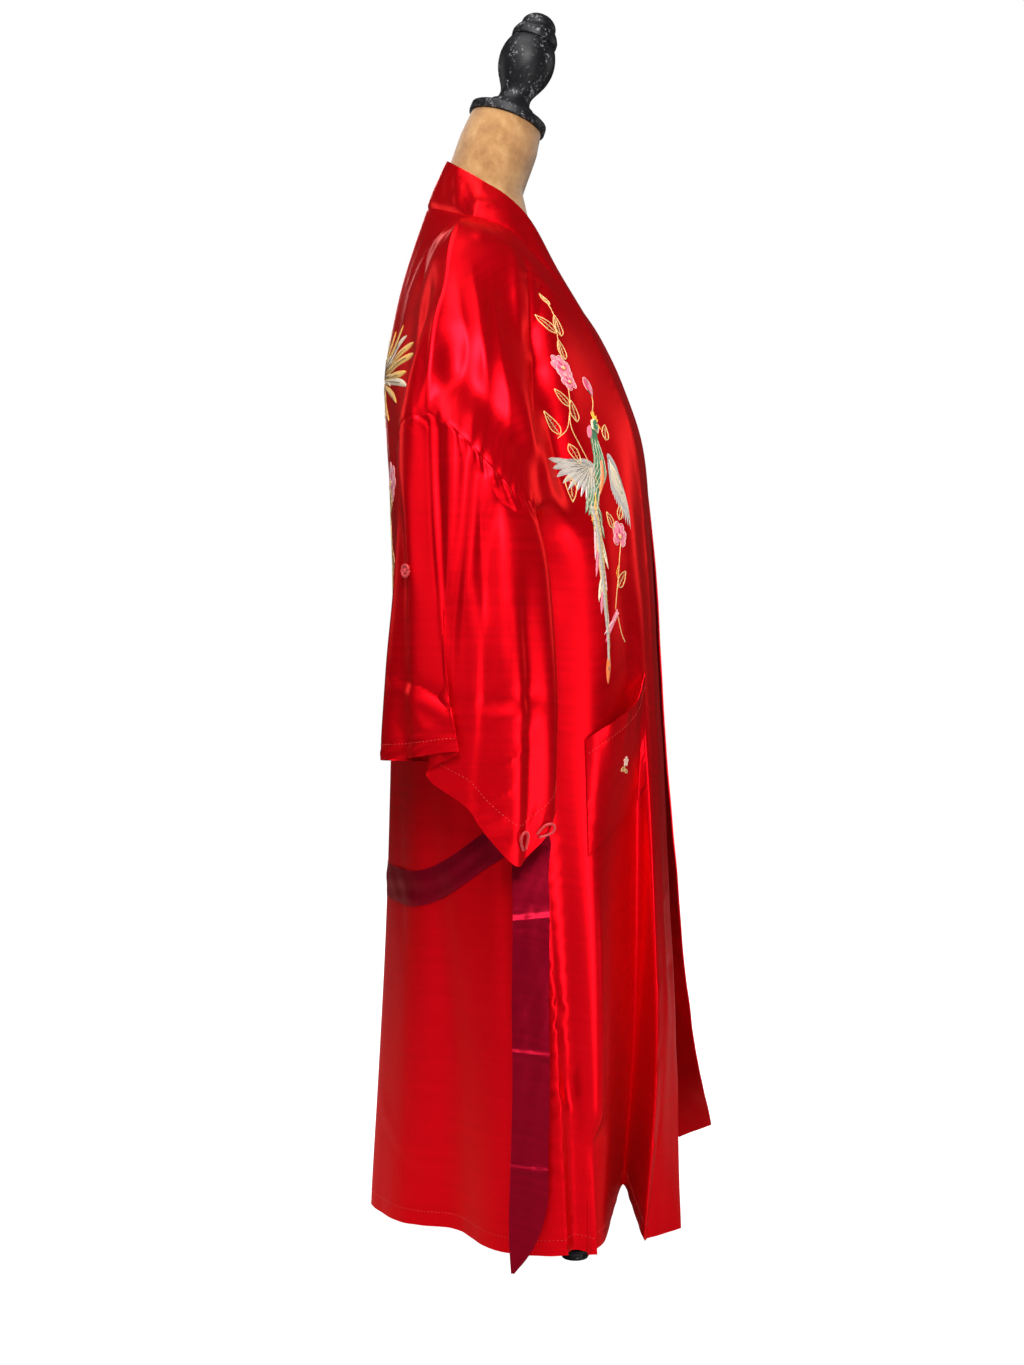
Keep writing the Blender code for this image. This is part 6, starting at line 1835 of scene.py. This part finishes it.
        # head, crest, beak and eye
        self.fill("cream", by_head((-3, 0), (15, side)), (2.0, 6.8, 7.4, 6.6, 5.6), 1.5, 10, 6)
        self.fill("green", by_head((-2.4, 0), (14, side)), (1.5, 5.2, 5.8, 5.0, 4.2), 2.3, 10, 6)
        for turn, reach in ((150, 11), (172, 14), (195, 11), (218, 8)):
            self.feather("yellow", head, heading + side * (turn - 180) + 180, 1.2 * reach, 4.0)
        beak = by_head((1.5, -side * 3), (4.5, -side * 10))
        self.fill("yellow", beak, (1.8, 1.3, 0.3), 1.7, 5, 4)
        eye = by_head((3.0, -side), (6.0, -side))
        self.fill("cream", eye, (0.6, 1.5, 0.6), 2.9, 4, 4)
        pupil = [eye[0] + (0, -0.6), eye[0] + turned_by((2, 0), heading)]
        self.fill("brown", pupil, (0.3, 0.8, 0.3), 3.4, 4, 4)

    # -------------------------------------------------------- the large flower
    def chrysanthemum(self, centre, reach, height):
        """A large flat chrysanthemum, reach to each side and height up and down: rays round a yolk."""
        for ring, (count, length, start, thick, names) in enumerate(RAY_RINGS):
            for k in range(count):
                angle = 360 * (k + 0.5 * ring) / count + self.random.uniform(-3, 3)
                tip = length * self.random.uniform(0.86, 1.06)
                bend = self.random.choice((-1, 1)) * self.random.uniform(0.02, 0.05)
                spine = [(start, 0), (0.45 * tip, 0.6 * bend), (0.8 * tip, bend), (tip, 0.4 * bend)]
                spine = centre + turned_by(spine, angle) * (reach, height)
                widths = np.array([0.4, 0.6, 0.9, 1.0, 0.95, 0.7, 0.15]) * thick
                self.fill(names[k % len(names)], spine, widths, 1.0 + 0.5 * ring, 16, 5)
                self.line("pale gold" if k % 2 else "brown", spine[:3], 0.8, 1.2 + 0.5 * ring)
        for k in range(26):
            at = centre + turned_by((0.028 * math.sqrt(k), 0), k * GOLDEN_ANGLE) * (reach * 0.55, height)
            self.fill("yellow", [at, at + turned_by((4, 0), k * GOLDEN_ANGLE)], (0.9, 1.9, 0.9), 2.6, 4, 4)


def front_embroidery(patch, seed, name):
    """A flowering branch with a long-tailed bird, down the length of a front."""
    work = Needlework(patch, seed)
    for kind, *values in BRANCH:
        values = [patch.spot(*value) if isinstance(value, tuple) else value for value in values]
        getattr(work, kind)(*values)
    start = patch.spot(0.46, 846)
    for turn in (120, 160, 200, 240):
        work.line("yellow", [start, start + turned_by((10, 0), turn)], 0.8)
    return work.finished(name)


def back_embroidery(patch, seed, name):
    """A large chrysanthemum between the shoulders, with leaves, a bud and a small spray under it."""
    work = Needlework(patch, seed)
    work.stem((6, 1120), (-8, 1000), (22, 900), (4, 820), thick=2.4)
    for across, up, angle, length in ((2, 985, 205, 58), (8, 960, -20, 62), (16, 915, 215, 54),
                                      (14, 880, -32, 56), (6, 840, 222, 44)):
        work.leaf((across, up), angle, length, 0.5 * length)
    work.chrysanthemum((0, 1112), 178, 66)
    work.stem((12, 930), (48, 938), (70, 962), thick=1.8)
    work.peony((72, 962), 62, 44)
    work.stem((10, 870), (-40, 872), (-66, 900), thick=1.8)
    work.bud((-66, 898), 118, 34)
    work.bud((4, 822), -92, 30)
    return work.finished(name)


def sprig(patch, centre, seed, name, size):
    """A small blossom with two leaves."""
    work = Needlework(patch, seed)
    for turn in range(0, 360, 72):
        work.petal("blush", centre, turn + 20, 0.5 * size, 0.30 * size, "cream", 0.7)
    work.fill("yellow", [centre + (-1, 0), centre + (1, 0)], (0.6, 1.2, 0.6), 1.4, 4, 4)
    work.stem(centre, centre + (0.2 * size, -0.6 * size), centre + (0.1 * size, -1.1 * size), thick=0.9)
    work.leaf(centre + (0.2 * size, -0.6 * size), -20, 0.8 * size, 0.36 * size)
    work.leaf(centre + (0.15 * size, -0.8 * size), 205, 0.7 * size, 0.34 * size)
    return work.finished(name)


# ================================================================ the add-on
class KimonoCloth(bpy.types.PropertyGroup):
    thickness: FloatProperty(name="Thickness", description="Thickness of one layer of silk", default=0.0009,
                             min=0.0004, max=0.0016, unit="LENGTH", precision=4)
    ripple: FloatProperty(name="Ripple", description="Depth of the soft waves in the cloth, in millimetres",
                          default=1.0, min=0, max=4)
    pucker: FloatProperty(name="Pucker", description="Height of the small gathers beside the seams, in "
                          "millimetres", default=0.9, min=0, max=3)
    groove: FloatProperty(name="Seam groove", description="Depth of the seams, in millimetres",
                          default=0.9, min=0, max=2)
    hem: FloatProperty(name="Hem", description="Width of the turned-up hems", default=0.022,
                       min=0.005, max=0.06, unit="LENGTH")


class KimonoForm(bpy.types.PropertyGroup):
    lean: FloatProperty(name="Neck lean", description="How far the neck leans to the front",
                        default=math.radians(18.5), subtype="ANGLE")
    segments: IntProperty(name="Segments", description="Segments round the form", default=96, min=24,
                          max=256)


class KimonoStage(bpy.types.PropertyGroup):
    camera_place: FloatVectorProperty(name="Camera", description="Place of the camera",
                                      default=(-2.1, 0.0532, 0.71), subtype="TRANSLATION")
    lens: FloatProperty(name="Lens", description="Focal length in millimetres", default=41.54, min=10)
    backdrop: FloatProperty(name="Backdrop", description="Brightness of the white backdrop", default=1.0,
                            min=0)


def worn(obj, slot, *nodes):
    """Hides the solids that a finished piece stands for, and attaches the piece to the root. Its slot is not
    used.
    """
    if nodes:
        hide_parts(*nodes)
    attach(obj, "root")
    return obj


class KIMONO_OT_add_form(bpy.types.Operator):
    """Adds the suede torso with its leaning neck"""
    bl_idname = "kimono.add_form"
    bl_label = "Dress Form"

    def execute(self, context):
        form = context.scene.kimono_form
        knots = np.arange(len(TORSO))
        body = through(knots, np.array(TORSO, float), np.linspace(0, knots[-1], 5 * len(TORSO)))
        rings = []
        for up, half_width, front, back in body:
            middle, half_depth = (front + back) / 2, (back - front) / 2
            rings.append((0, POLE_Y + middle * MM, up * MM, half_width * MM, half_depth * MM, 0))
        down = np.linspace(NECK[-1][0], 0, 14)
        for along in down:
            radius = np.interp(along, *zip(*NECK)) * MM
            level = eased(along / NECK[-1][0])
            rings.append((0, POLE_Y + (NECK_TOP[0] + along * math.sin(form.lean) * NECK_BOW) * MM,
                          (NECK_TOP[1] - along * math.cos(form.lean)) * MM, radius, radius,
                          form.lean * (1 - level)))
        torso = ringed_piece("torso", rings, form.segments, finish("tan suede"), 60)
        worn(torso, "suede", "form_torso")
        return {"FINISHED"}


class KIMONO_OT_add_finial(bpy.types.Operator):
    """Adds the turned cap and finial on the neck"""
    bl_idname = "kimono.add_finial"
    bl_label = "Finial"

    def execute(self, context):
        lean = context.scene.kimono_form.lean
        seat = Matrix.Translation((0, POLE_Y + NECK_TOP[0] * MM, NECK_TOP[1] * MM))
        seat = seat @ Matrix.Rotation(lean, 4, "X")
        cap_seat = seat @ Matrix.Translation((0, 0, 0.0003))
        finial_seat = seat @ Matrix.Translation((0, 0, 0.0246))
        cap = turned_piece("cap", CAP_PROFILE, 96, finish("painted wood"), cap_seat)
        worn(cap, "wood", "neck_cap")
        finial = turned_piece("top_finial", softened(FINIAL_PROFILE), 96, finish("painted wood"), finial_seat)
        worn(finial, "wood", "finial")
        return {"FINISHED"}


class KIMONO_OT_add_stand(bpy.types.Operator):
    """Adds the pole, the hub and the three legs with their feet"""
    bl_idname = "kimono.add_stand"
    bl_label = "Stand"

    def execute(self, context):
        wood = finish("painted wood")
        low, high = HUB_PROFILE[-1][1] + 0.3, TORSO[0][0] - 0.3
        seat = Matrix.Translation((0, POLE_Y, 0))
        pole = turned_piece("stand_pole", ((12.5, low), (12.5, high)), 48, wood, seat)
        worn(pole, "wood", "pole")
        hub = turned_piece("hub", softened(HUB_PROFILE), 64, wood, seat)
        worn(hub, "wood", "stand_hub")
        knots = np.linspace(0, 1, len(LEG_ROUTE))
        line = through(knots, np.array(LEG_ROUTE) * MM, np.linspace(0, 1, LEG_ROWS))
        line[:4, 1] = line[0, 1]
        line[-5:, 0] = line[-1, 0]
        slope = np.gradient(line, axis=0)
        for index in range(3):
            turn = Matrix.Rotation(FIRST_LEG + index * 2 * math.pi / 3 + math.pi / 2, 4, "Z")
            rings = [(0, -out, up, LEG_RADIUS, LEG_RADIUS, math.atan2(step[0], step[1]))
                     for (out, up), step in zip(line, slope)]
            leg = ringed_piece(f"leg_{index + 1}", rings, 24, wood, 50)
            leg.data.transform(seat @ turn)
            worn(leg, "wood", f"stand_leg_{index + 1}")
            foot_seat = seat @ turn @ Matrix.Translation((0, -line[-1, 0], 0))
            foot = turned_piece(f"foot_{index + 1}", softened(FOOT_PROFILE), 40, wood, foot_seat)
            worn(foot, "wood", f"stand_foot_{index + 1}")
        return {"FINISHED"}


class KIMONO_OT_add_body(bpy.types.Operator):
    """Adds the back and the two fronts"""
    bl_idname = "kimono.add_body"
    bl_label = "Body"

    def execute(self, context):
        thick = context.scene.kimono_cloth.thickness
        cuts = {"back": ((0.64, 1.34), 0.742), "front_right": ((0.32, 1.31), 0.31),
                "front_left": ((0.32, 1.31), 0.31)}
        for name, (flat, area) in cuts.items():
            panel = cloth_object(name + "_panel", garment().panels[name], garment().normals[name], thick,
                                 finish("red silk"))
            worn(panel, "silk", name)
        return {"FINISHED"}


class KIMONO_OT_add_sleeves(bpy.types.Operator):
    """Adds the two sleeves"""
    bl_idname = "kimono.add_sleeves"
    bl_label = "Sleeves"

    def execute(self, context):
        thick = context.scene.kimono_cloth.thickness
        for name in ("sleeve_right", "sleeve_left"):
            points = drawn_in(garment().panels[name], 0, SLEEVE_GAP)
            sleeve = cloth_object(name + "_panel", points, garment().normals[name], thick,
                                  finish("red silk"), closed=True)
            worn(sleeve, "silk", name)
        return {"FINISHED"}


class KIMONO_OT_add_collar_band(bpy.types.Operator):
    """Adds the collar band that runs up one front, round the neck and down the other"""
    bl_idname = "kimono.add_collar_band"
    bl_label = "Collar Band"

    def execute(self, context):
        points = drawn_in(garment().panels["collar_band"], 1, -BAND_OVERLAP)
        band = cloth_object("band_panel", points, garment().normals["collar_band"], BAND_THICK,
                            finish("red silk"))
        worn(band, "silk", "collar_band")
        return {"FINISHED"}


class KIMONO_OT_add_pockets(bpy.types.Operator):
    """Adds a gaping patch pocket on each front"""
    bl_idname = "kimono.add_pockets"
    bl_label = "Pockets"

    def execute(self, context):
        thick = context.scene.kimono_cloth.thickness
        for side, name in SIDES:
            points = pocket_grid(garment().panels["front_" + name], side)
            normals = grid_normals(points, pole_at(0.6))
            pocket = cloth_object("patch_" + name, points, normals, thick, finish("red silk"))
            worn(pocket, "silk", "pocket_" + name)
        return {"FINISHED"}


class KIMONO_OT_add_belt(bpy.types.Operator):
    """Adds the sash on the back, its hanging ends and the two loops that hold it"""
    bl_idname = "kimono.add_belt"
    bl_label = "Belt"

    def execute(self, context):
        back = garment().panels["back"]
        base, normals = belt_back_grid(back)
        laid = base + normals * BELT_LIFT
        shown = laid + normals * (belt_wrinkles(laid, 90) - 0.0004)[..., None]
        shown[:2], shown[-2:] = laid[:2], laid[-2:]
        belt = cloth_object("sash_back", shown, grid_normals(shown, pole_at(0.45)), BELT_THICK,
                            finish("crimson silk"))
        worn(belt, "belt", "belt_back")
        columns = {-1: back.shape[1] - 1 - BELT_LOOP_COLUMN, +1: BELT_LOOP_COLUMN}
        for side, name, ends in ((-1, "right", laid[-2:]), (+1, "left", laid[1::-1])):
            points = tail_grid(ends[0], ends[1], side)
            tail = cloth_object("sash_" + name, points, hung_normals(points, pole_at(0.3)), BELT_THICK,
                                finish("crimson silk"))
            worn(tail, "belt", "belt_tail_" + name)
            end = base[-1] if side < 0 else base[0]
            strip = belt_loop_grid(back, end, columns[side], side)
            loop = cloth_object("carrier_" + name, strip, grid_normals(strip, pole_at(0.54)), LOOP_THICK,
                                finish("red silk"))
            worn(loop, "silk", "belt_loop_" + name)
        return {"FINISHED"}


class KIMONO_OT_add_frogs(bpy.types.Operator):
    """Adds the cord loops at the cuffs and the cord buttons on the sleeves"""
    bl_idname = "kimono.add_frogs"
    bl_label = "Frogs"

    def execute(self, context):
        for side, name in SIDES:
            sleeve = garment().panels["sleeve_" + name]
            for index, row in enumerate(CUFF_LOOPS, start=1):
                line = cuff_loop_line(sleeve, side, row)
                loop = cord_object(f"frog_loop_{name}_{index}", [line], LOOP_CORD / 2, 12,
                                   finish("red cord"))
                worn(loop, "cord", f"cuff_loop_{name}_{index}")
            button = cord_object("frog_button_" + name, button_lines(sleeve), BUTTON["cord"] * MM, 10,
                                 finish("red cord"))
            worn(button, "cord", "sleeve_button_" + name)
        return {"FINISHED"}


class KIMONO_OT_add_stitching(bpy.types.Operator):
    """Adds the rows of stitches that hold the hems, the cuffs and the turned tops of the pockets"""
    bl_idname = "kimono.add_stitching"
    bl_label = "Stitching"

    def execute(self, context):
        panels, hem = garment().panels, context.scene.kimono_cloth.hem
        inside = pole_at(0.6)
        rows = []
        for side, name in SIDES:
            pocket = pocket_grid(panels["front_" + name], side)
            rows.append((pocket, inside, POCKET_HEM))
            rows.append((panels["front_" + name], inside, -hem))
            sleeve = panels["sleeve_" + name]
            rows.append((sleeve, sleeve.mean(axis=1, keepdims=True), -hem))
        rows.append((panels["back"], inside, -hem))
        stitches = []
        for points, middle, reach in rows:
            run = run_of(points, 0).mean(axis=1)
            row = int(np.abs(run - reach if reach > 0 else run - run[-1] - reach).argmin())
            stitches += stitch_lines(points, grid_normals(points, middle), row)
        verts, faces, _ = cord_parts(stitches, THREAD_THICK / 2, 4)
        worn(mesh_object("stitching", verts, faces, finish("red thread")), "silk")
        return {"FINISHED"}


class KIMONO_OT_add_embroidery(bpy.types.Operator):
    """Adds the embroidered birds, flowers and leaves"""
    bl_idname = "kimono.add_embroidery"
    bl_label = "Embroidery"

    def execute(self, context):
        panels = garment().panels
        inside = pole_at(0.8)
        for side, name, seed in ((-1, "right", 3), (+1, "left", 4)):
            patch = Patch(panels["front_" + name], inside)
            worn(front_embroidery(patch, seed, "needlework_front_" + name), "silk")
            pocket = Patch(pocket_grid(panels["front_" + name], side), inside)
            place, size = POCKET_SPRIG
            worn(sprig(pocket, pocket.spot(*place), seed, "needlework_pocket_" + name, size), "silk")
            sleeve = panels["sleeve_" + name]
            patch = Patch(sleeve[:, SPRIG_COLUMNS], sleeve.mean(axis=1, keepdims=True))
            place, size = SLEEVE_SPRIG
            worn(sprig(patch, patch.spot(*place), seed, "needlework_sleeve_" + name, size), "silk")
        back = panels["back"]
        patch = Patch(back, inside, back.shape[1] // 2)
        worn(back_embroidery(patch, 7, "needlework_back"), "silk")
        return {"FINISHED"}


class KIMONO_OT_add_stage(bpy.types.Operator):
    """Adds the camera, the softboxes, the floor and the white backdrop"""
    bl_idname = "kimono.add_stage"
    bl_label = "Stage"

    def execute(self, context):
        scene, stage = context.scene, context.scene.kimono_stage
        data = bpy.data.cameras.new("camera")
        data.lens, data.sensor_width = stage.lens, SENSOR
        camera = bpy.data.objects.new("camera", data)
        camera.location = stage.camera_place
        camera.rotation_euler = (math.pi / 2, 0, -math.pi / 2)
        scene.collection.objects.link(camera)
        scene.camera = camera
        for name, place, aim, size, power in SOFTBOXES:
            light = bpy.data.lights.new(name, "AREA")
            light.shape, light.size, light.size_y = "RECTANGLE", *size
            light.energy = power
            box = bpy.data.objects.new(name, light)
            box.location = place
            box.rotation_euler = (Vector(aim) - Vector(place)).to_track_quat("-Z", "Y").to_euler()
            scene.collection.objects.link(box)
        self.add_backdrop(scene, stage)
        self.add_floor(scene)
        scene.view_settings.view_transform = "Standard"
        return {"FINISHED"}

    def add_backdrop(self, scene, stage):
        """A white world to the camera, and a dim one to everything else."""
        scene.world = bpy.data.worlds.new("backdrop")
        scene.world.use_nodes = True
        tree = scene.world.node_tree
        shown, ambient = tree.nodes["Background"], tree.nodes.new("ShaderNodeBackground")
        for node, strength in ((shown, stage.backdrop), (ambient, AMBIENT)):
            fed(tree, node, {"Color": (1, 1, 1, 1), "Strength": strength})
        path = tree.nodes.new("ShaderNodeLightPath")
        mix = fed(tree, tree.nodes.new("ShaderNodeMixShader"),
                  {"Fac": path.outputs["Is Camera Ray"], 1: ambient.outputs["Background"],
                   2: shown.outputs["Background"]})
        fed(tree, tree.nodes["World Output"], {"Surface": mix.outputs["Shader"]})

    def add_floor(self, scene):
        """A floor that the camera sees as white."""
        material, tree, shader = new_material("white paper")
        path = tree.nodes.new("ShaderNodeLightPath")
        fed(tree, shader, {"Base Color": (FLOOR_GREY, FLOOR_GREY, FLOOR_GREY, 1), "Roughness": 1.0,
                           "Emission Color": path.outputs["Is Camera Ray"], "Emission Strength": 1.0})
        mesh = bpy.data.meshes.new("floor")
        corners = [(x * FLOOR_REACH, y * FLOOR_REACH, 0) for x, y in ((-1, -1), (1, -1), (1, 1), (-1, 1))]
        mesh.from_pydata(corners, [], [(0, 1, 2, 3)])
        mesh.materials.append(material)
        floor = bpy.data.objects.new("floor", mesh)
        floor.location = (0, 0, -FLOOR_DROP)
        scene.collection.objects.link(floor)


PIECES = (KIMONO_OT_add_form, KIMONO_OT_add_finial, KIMONO_OT_add_stand, KIMONO_OT_add_body,
          KIMONO_OT_add_sleeves, KIMONO_OT_add_collar_band, KIMONO_OT_add_pockets, KIMONO_OT_add_belt,
          KIMONO_OT_add_frogs, KIMONO_OT_add_stitching, KIMONO_OT_add_embroidery)


class KIMONO_PT_panel(bpy.types.Panel):
    """Sizes and pieces of the kimono"""
    bl_label = "Kimono"
    bl_space_type = "VIEW_3D"
    bl_region_type = "UI"
    bl_category = "Kimono"

    def draw(self, context):
        scene, layout = context.scene, self.layout
        for label, group in (("Cloth", scene.kimono_cloth), ("Form", scene.kimono_form),
                             ("Stage", scene.kimono_stage)):
            box = layout.box()
            box.label(text=label)
            for name in group.bl_rna.properties.keys():
                if name not in ("rna_type", "name"):
                    box.prop(group, name)
        for piece in PIECES + (KIMONO_OT_add_stage,):
            layout.operator(piece.bl_idname)


CLASSES = (KimonoCloth, KimonoForm, KimonoStage) + PIECES + (KIMONO_OT_add_stage, KIMONO_PT_panel)


def register():
    for cls in CLASSES:
        bpy.utils.register_class(cls)
    bpy.types.Scene.kimono_cloth = PointerProperty(type=KimonoCloth)
    bpy.types.Scene.kimono_form = PointerProperty(type=KimonoForm)
    bpy.types.Scene.kimono_stage = PointerProperty(type=KimonoStage)


def unregister():
    del bpy.types.Scene.kimono_stage
    del bpy.types.Scene.kimono_form
    del bpy.types.Scene.kimono_cloth
    for cls in reversed(CLASSES):
        bpy.utils.unregister_class(cls)


def main():
    register()
    for piece in PIECES + (KIMONO_OT_add_stage,):
        group, name = piece.bl_idname.split(".")
        if getattr(getattr(bpy.ops, group), name)() != {"FINISHED"}:
            raise RuntimeError(piece.bl_idname + " didn't finish")


if __name__ == "__main__":
    main()
